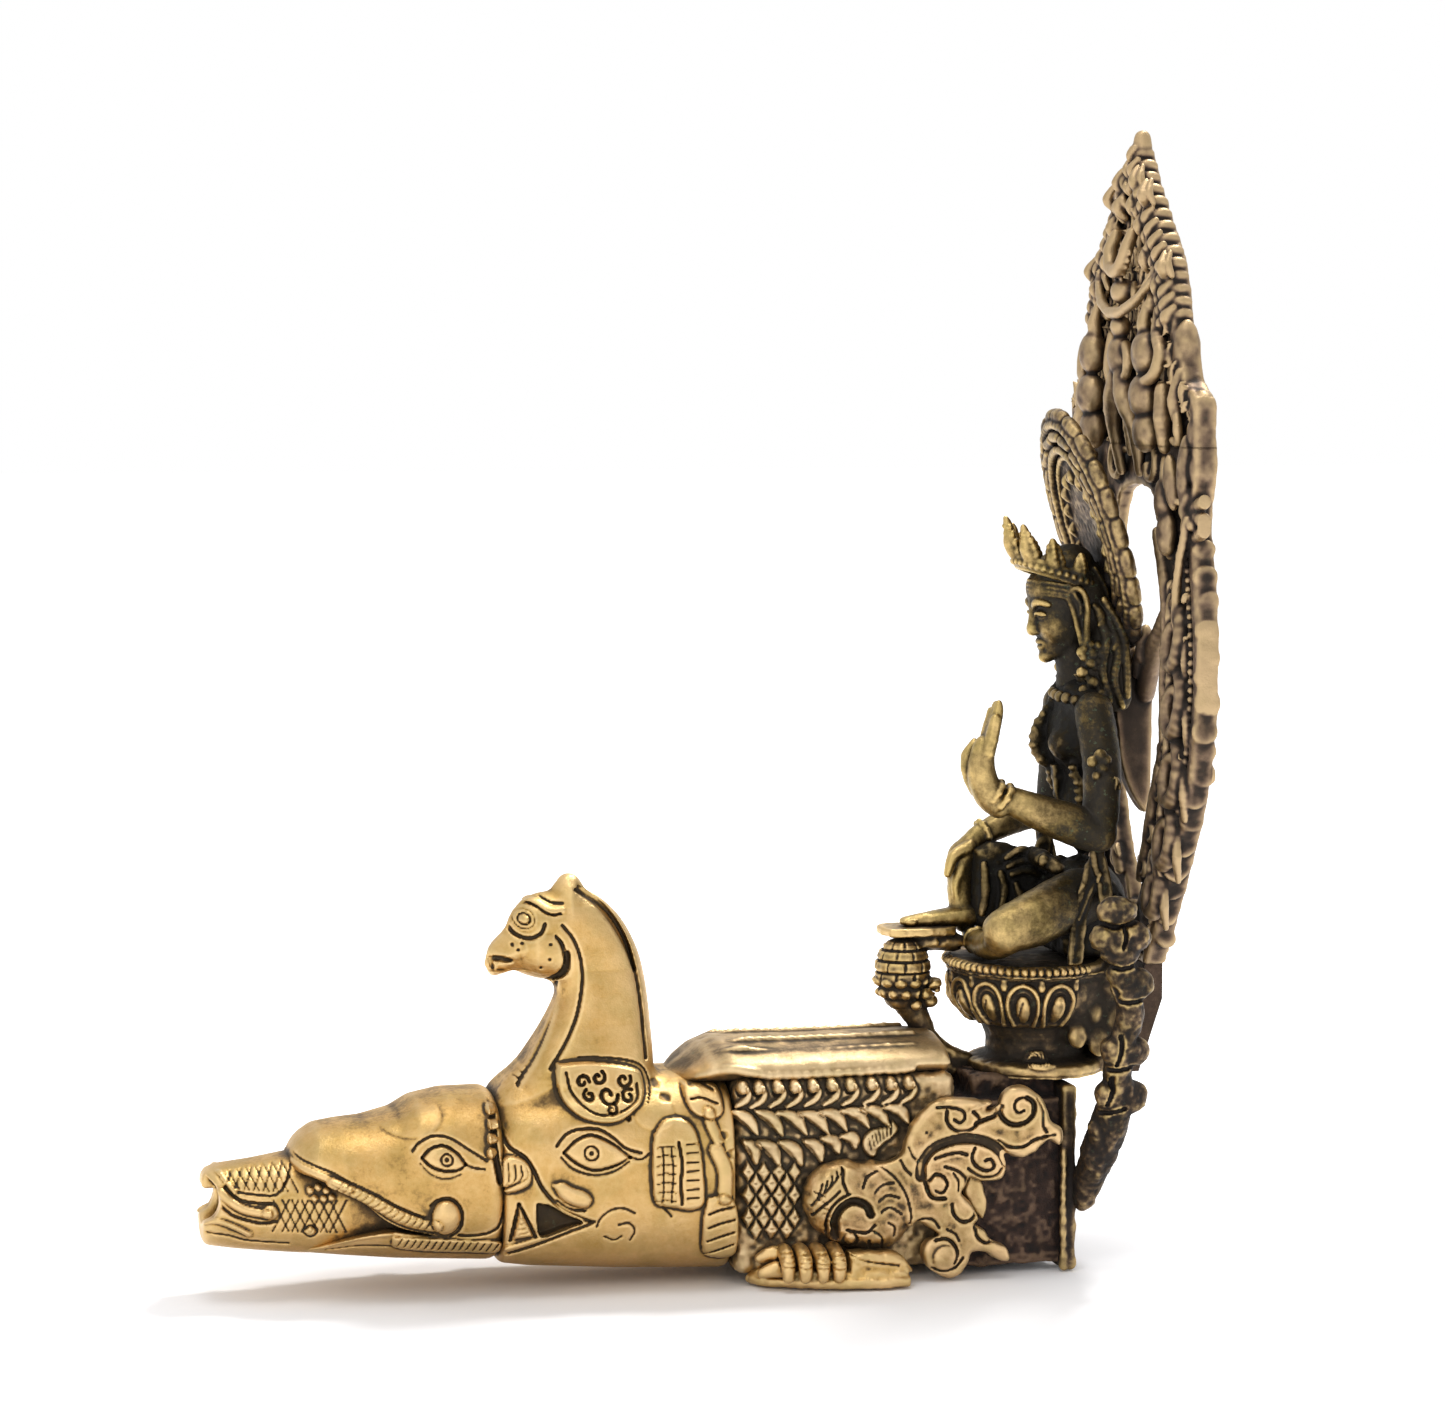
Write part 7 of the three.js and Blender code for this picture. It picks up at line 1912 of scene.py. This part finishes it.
    # Standing figures under the garland
    figures = (
        ((99.4, 0, 208.9), (2.3, 2.5, 2.7), 0.3),
        ((99.4, 0, 202.6), (2.9, 3.9, 4.6), 0.5),
        ([(99.6, -3.2, 204.8), (99.2, -6.4, 201.6), (99.0, -5.0, 198.4), (99.2, -2.0, 198.0)],
         [1.2, 1.2, 1.0, 0.9], 0.35),
        ([(99.6, -1.6, 198.4), (99.3, -4.0, 193.0), (100.2, -6.6, 187.6), (101.4, -7.0, 182.0),
          (102, -6.4, 177)], [2.3, 2.4, 1.7, 1.4, 1.2], 0.4),
        ([(100.2, 0, 197), (100.8, 0, 190), (102, 0, 181)], [1.6, 1.0, 0.8], 0.4),
        ([(99.6, -17.0, 213.6), (99.0, -17.4, 209.6), (99.2, -17.0, 205.6)], [1.0, 1.5, 1.3], 0.25),
        ((99.0, -18.4, 203.2), (3.1, 4.4, 4.9), 0.5),
        ([(100.4, -22.2, 207.4), (99.6, -26.4, 203.2), (98.8, -25.0, 198.6), (98.0, -21.0, 197.0)],
         [1.5, 1.5, 1.3, 1.2], 0.35),
        ([(100.8, -21.0, 212.6), (100.4, -22.0, 208.8)], [0.9, 1.3], 0.25),
        ((98.7, -18.2, 193.8), (3.3, 4.6, 4.9), 0.4),
        ((99.3, -18.4, 186.2), (3.0, 4.2, 4.8), 0.4),
        ([(100.2, -26.4, 195.4), (99.8, -27.6, 189.0), (100.8, -26.4, 182.6)], [1.6, 1.9, 1.3], 0.35),
        ([(101.4, -11.4, 207.0), (100.8, -11.6, 201.0), (101.2, -11.0, 194.6), (101.8, -11.6, 188)],
         [1.3, 1.5, 1.2, 1.0], 0.35),
        ([(102.0, -33.0, 199.0), (101.0, -32.4, 193.0), (101.8, -33.4, 187.4)], [1.1, 1.6, 1.2], 0.3),
        ([(101.4, -32.4, 191.0), (100.6, -35.0, 188.0), (101.4, -34.0, 184.2), (101.0, -31.0, 184.4)],
         [0.8, 1.0, 1.0, 0.8], 0.25),
    )
    clay.model(figures)

    # Leaves, brackets and volutes of the ring
    ring_leaves = (
        ((101.0, -38.6, 178.2), (1.5, 2.2, 7.6), 0.3, 0.05),
        ((100.8, -31.4, 175.2), (1.8, 2.4, 6.2), 0.3, -0.1),
        ((100.6, -26.6, 171.6), (2.0, 3.2, 4.6), 0.5),
        ((101.2, -27.4, 164.2), (2.2, 3.4, 5.2), 0.6),
        ([(101.6, -24.5, 180.0), (100.8, -27.0, 176.4), (101.0, -30.6, 172.6), (101.8, -33.6, 171.0)],
         [0.8, 1.2, 1.0, 0.8], 0.25),
        ([(100.8, -41.6, 167.6), (100.2, -38.6, 158.0), (100.4, -35.8, 148.2), (101.2, -34.4, 143.6)],
         [0.9, 1.0, 1.0, 0.8], 0.3),
    )
    clay.model(ring_leaves)
    for z, y, radius in ((141.0, -33.4, 5.6), (127.0, -34.0, 6.0), (112.0, -32.6, 6.0), (97.5, -29.0, 5.6),
                         (85.0, -22.0, 4.8)):
        turns = np.linspace(0, 1, 14)
        spiral = [(102.4 - 2.2 * math.sin(math.pi * min(t * 1.1, 1)),
                   y + radius * (1 - 0.8 * t) * math.cos(1.2 + 8.2 * t),
                   z + 1.5 * radius * (1 - 0.8 * t) * math.sin(1.2 + 8.2 * t)) for t in turns]
        clay.rope(spiral, [1.8, 1.8, 1.5, 1.1], 0.3, steps=2)
        clay.rope([(102.0, y + radius, z + radius * 1.7), (101.0, y + radius * 0.5, z + radius * 0.9),
                   (101.4, y + radius * 1.1, z - radius * 0.4)], [0.7, 1.1, 0.7], 0.25)
        clay.rope([(102.2, y - radius * 0.9, z - radius * 1.6), (101.2, y - radius * 1.2, z - radius * 0.6),
                   (102.0, y - radius * 0.9, z + radius * 0.6)], [0.7, 1.0, 0.6], 0.25)
    # The finial's knob
    clay.rope([(104.2, 0, 246.4), (104.2, 0, 249.0), (104.2, 0, 251.0)], [1.5, 2.0, 1.6], 0.4)
    clay.d[:, :math.ceil((0.2 - RING_HALF - clay.low[1]) / cell)] = BAND
    clay.roughen(0.14, 2.2, 41)
    clay.roughen(0.05, 0.9, 42)
    # One skin for each side and one for the crest, each a layer past the joint
    middle = clay.d.shape[1] - 1
    k = int(round((CREST - clay.low[2]) / cell))
    clay.mirror()
    _, wide, tall = clay.d.shape
    for name, start, end in (("near", 0, middle + 1), ("far", middle - 1, wide)):
        cast(clay, name + "_aureole_skin", [name + "_aureole_band", name + "_flame_border"], LEAF,
             keep=((start, end), (0, k + 1)))
    cast(clay, "crest_skin", ["crest_panel", "finial"], LEAF, keep=((0, wide), (k - 1, tall)))


def web():
    """The web between seat and ring that holds the aureole."""
    clay = Clay((95.5, -24.5, 96), (107.4, 0, 151.5), CELL)
    low = [(98.6, 130.4), (98.0, 126.0), (98.8, 119.0), (99.6, 112.0), (102.0, 105.0), (106.2, 100.4),
           (107.0, 118), (106.6, 134.0), (103.6, 137.0), (101.0, 133.0)]
    clay.add(prism(low, -2.3, 2.3, 0.8), 0.2)
    struts = (
        ([(99.4, -1.2, 131.0), (103.0, -1.4, 132.4), (106.0, -1.4, 131.6)], [1.3, 1.2, 1.2], 0.6),
        ([(105.2, -2.2, 127.0), (104.6, -7.0, 133.4), (104.2, -13.0, 139.6), (104.4, -20.0, 146.4),
          (104.6, -23.2, 149.6)], [2.1, 2.2, 2.0, 1.8, 1.4], 0.6),
        ((102.6, -8.4, 138.6), (1.9, 1.9, 4.4), 0.5, 0.15),
        ([(102.4, -4.6, 131.6), (102.0, -7.0, 135.0), (102.6, -9.4, 138.0)], [1.1, 1.3, 1.1], 0.4),
    )
    clay.model(struts)
    clay.roughen(0.12, 2.8, 44)
    clay.mirror()
    cast(clay, "back_web_skin", ["back_web"], LEAF)


# Where the nimbus stands (x, z), and how far it leans over the head, in radians
NIMBUS_FOOT = (100.3, 139.4)
NIMBUS_LEAN = 0.315


def leaned(places):
    """Tilts the upright nimbus over the head."""
    c, s = math.cos(NIMBUS_LEAN), math.sin(NIMBUS_LEAN)
    x, z = places[:, 0], places[:, 2]
    return np.stack([x * c - z * s + NIMBUS_FOOT[0], places[:, 1], x * s + z * c + NIMBUS_FOOT[1]], 1)


def nimbus():
    """An oval dish that leans over the head: two lips with gold blocks between them, leaves outside."""
    clay = Clay((-3.6, -23.4, -2.4), (3.4, 0, 54.4), CELL)
    middle, wide, tall = 25.5, 19.0, 25.5

    def oval(share, steps=40):
        turns = np.linspace(0, math.pi, steps)
        return [(-wide * share * math.sin(t), middle - tall * share * math.cos(t)) for t in turns]

    def plate(share):
        points = oval(share)
        return np.array(points + [(3, points[-1][1]), (3, points[0][1])])

    clay.add(prism(plate(0.99), -0.2, 1.7, 0.5, False, 0), 0.1)
    clay.rope([(-0.6, y, z) for y, z in oval(0.99)], [1.15], 0.4, steps=1)
    clay.rope([(-1.3, y, z) for y, z in oval(0.76)], [0.9], 0.4, steps=1)
    clay.rope([(-0.4, y, z) for y, z in oval(0.68)], [0.7], 0.3, steps=1)
    for y, z in spaced(np.array(oval(0.875)), 6.4):
        turn = math.atan2(y, z - middle)
        ends = [(-0.9, y + s * 2.0 * math.cos(turn), z - s * 2.0 * math.sin(turn)) for s in (-1, 1)]
        clay.rope(ends, [1.35, 1.35], 0.25)
    rim = spaced(np.array(oval(1.05)), 2.3)
    for i in range(0, len(rim) - 2, 3):
        clay.rope([(0.6, *rim[i]), (0.5, *rim[i + 1]), (0.6, *rim[i + 2])], [1.45, 1.6, 1.45], 0.3)
    for y, z in spaced(np.array(oval(0.5)), 4.4):
        clay.rope([(0.2, y, z - 1.6), (-0.5, y - 0.6, z), (0.1, y + 0.4, z + 1.7)], [0.7, 1.0, 0.5], 0.25)
    clay.roughen(0.12, 1.1, 45)
    clay.mirror()
    cast(clay, "nimbus_skin", ["head_nimbus", "nimbus_bead_ring"], DISH, turn=leaned)


nozzle()
front_head()
rear_head()
trunk()
cover()
box()
stand()
for near in (True, False):
    foot(near)
    scroll(near)
    branch(near)
throne()
foot_rest()
head()
crown()
body()
limbs()
aureole()
web()
nimbus()

# CAD nodes that no modelled piece replaces show their own mesh
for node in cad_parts.values():
    node.data.materials.clear()
    node.data.materials.append(BARE)
crowd.settle()
studio()
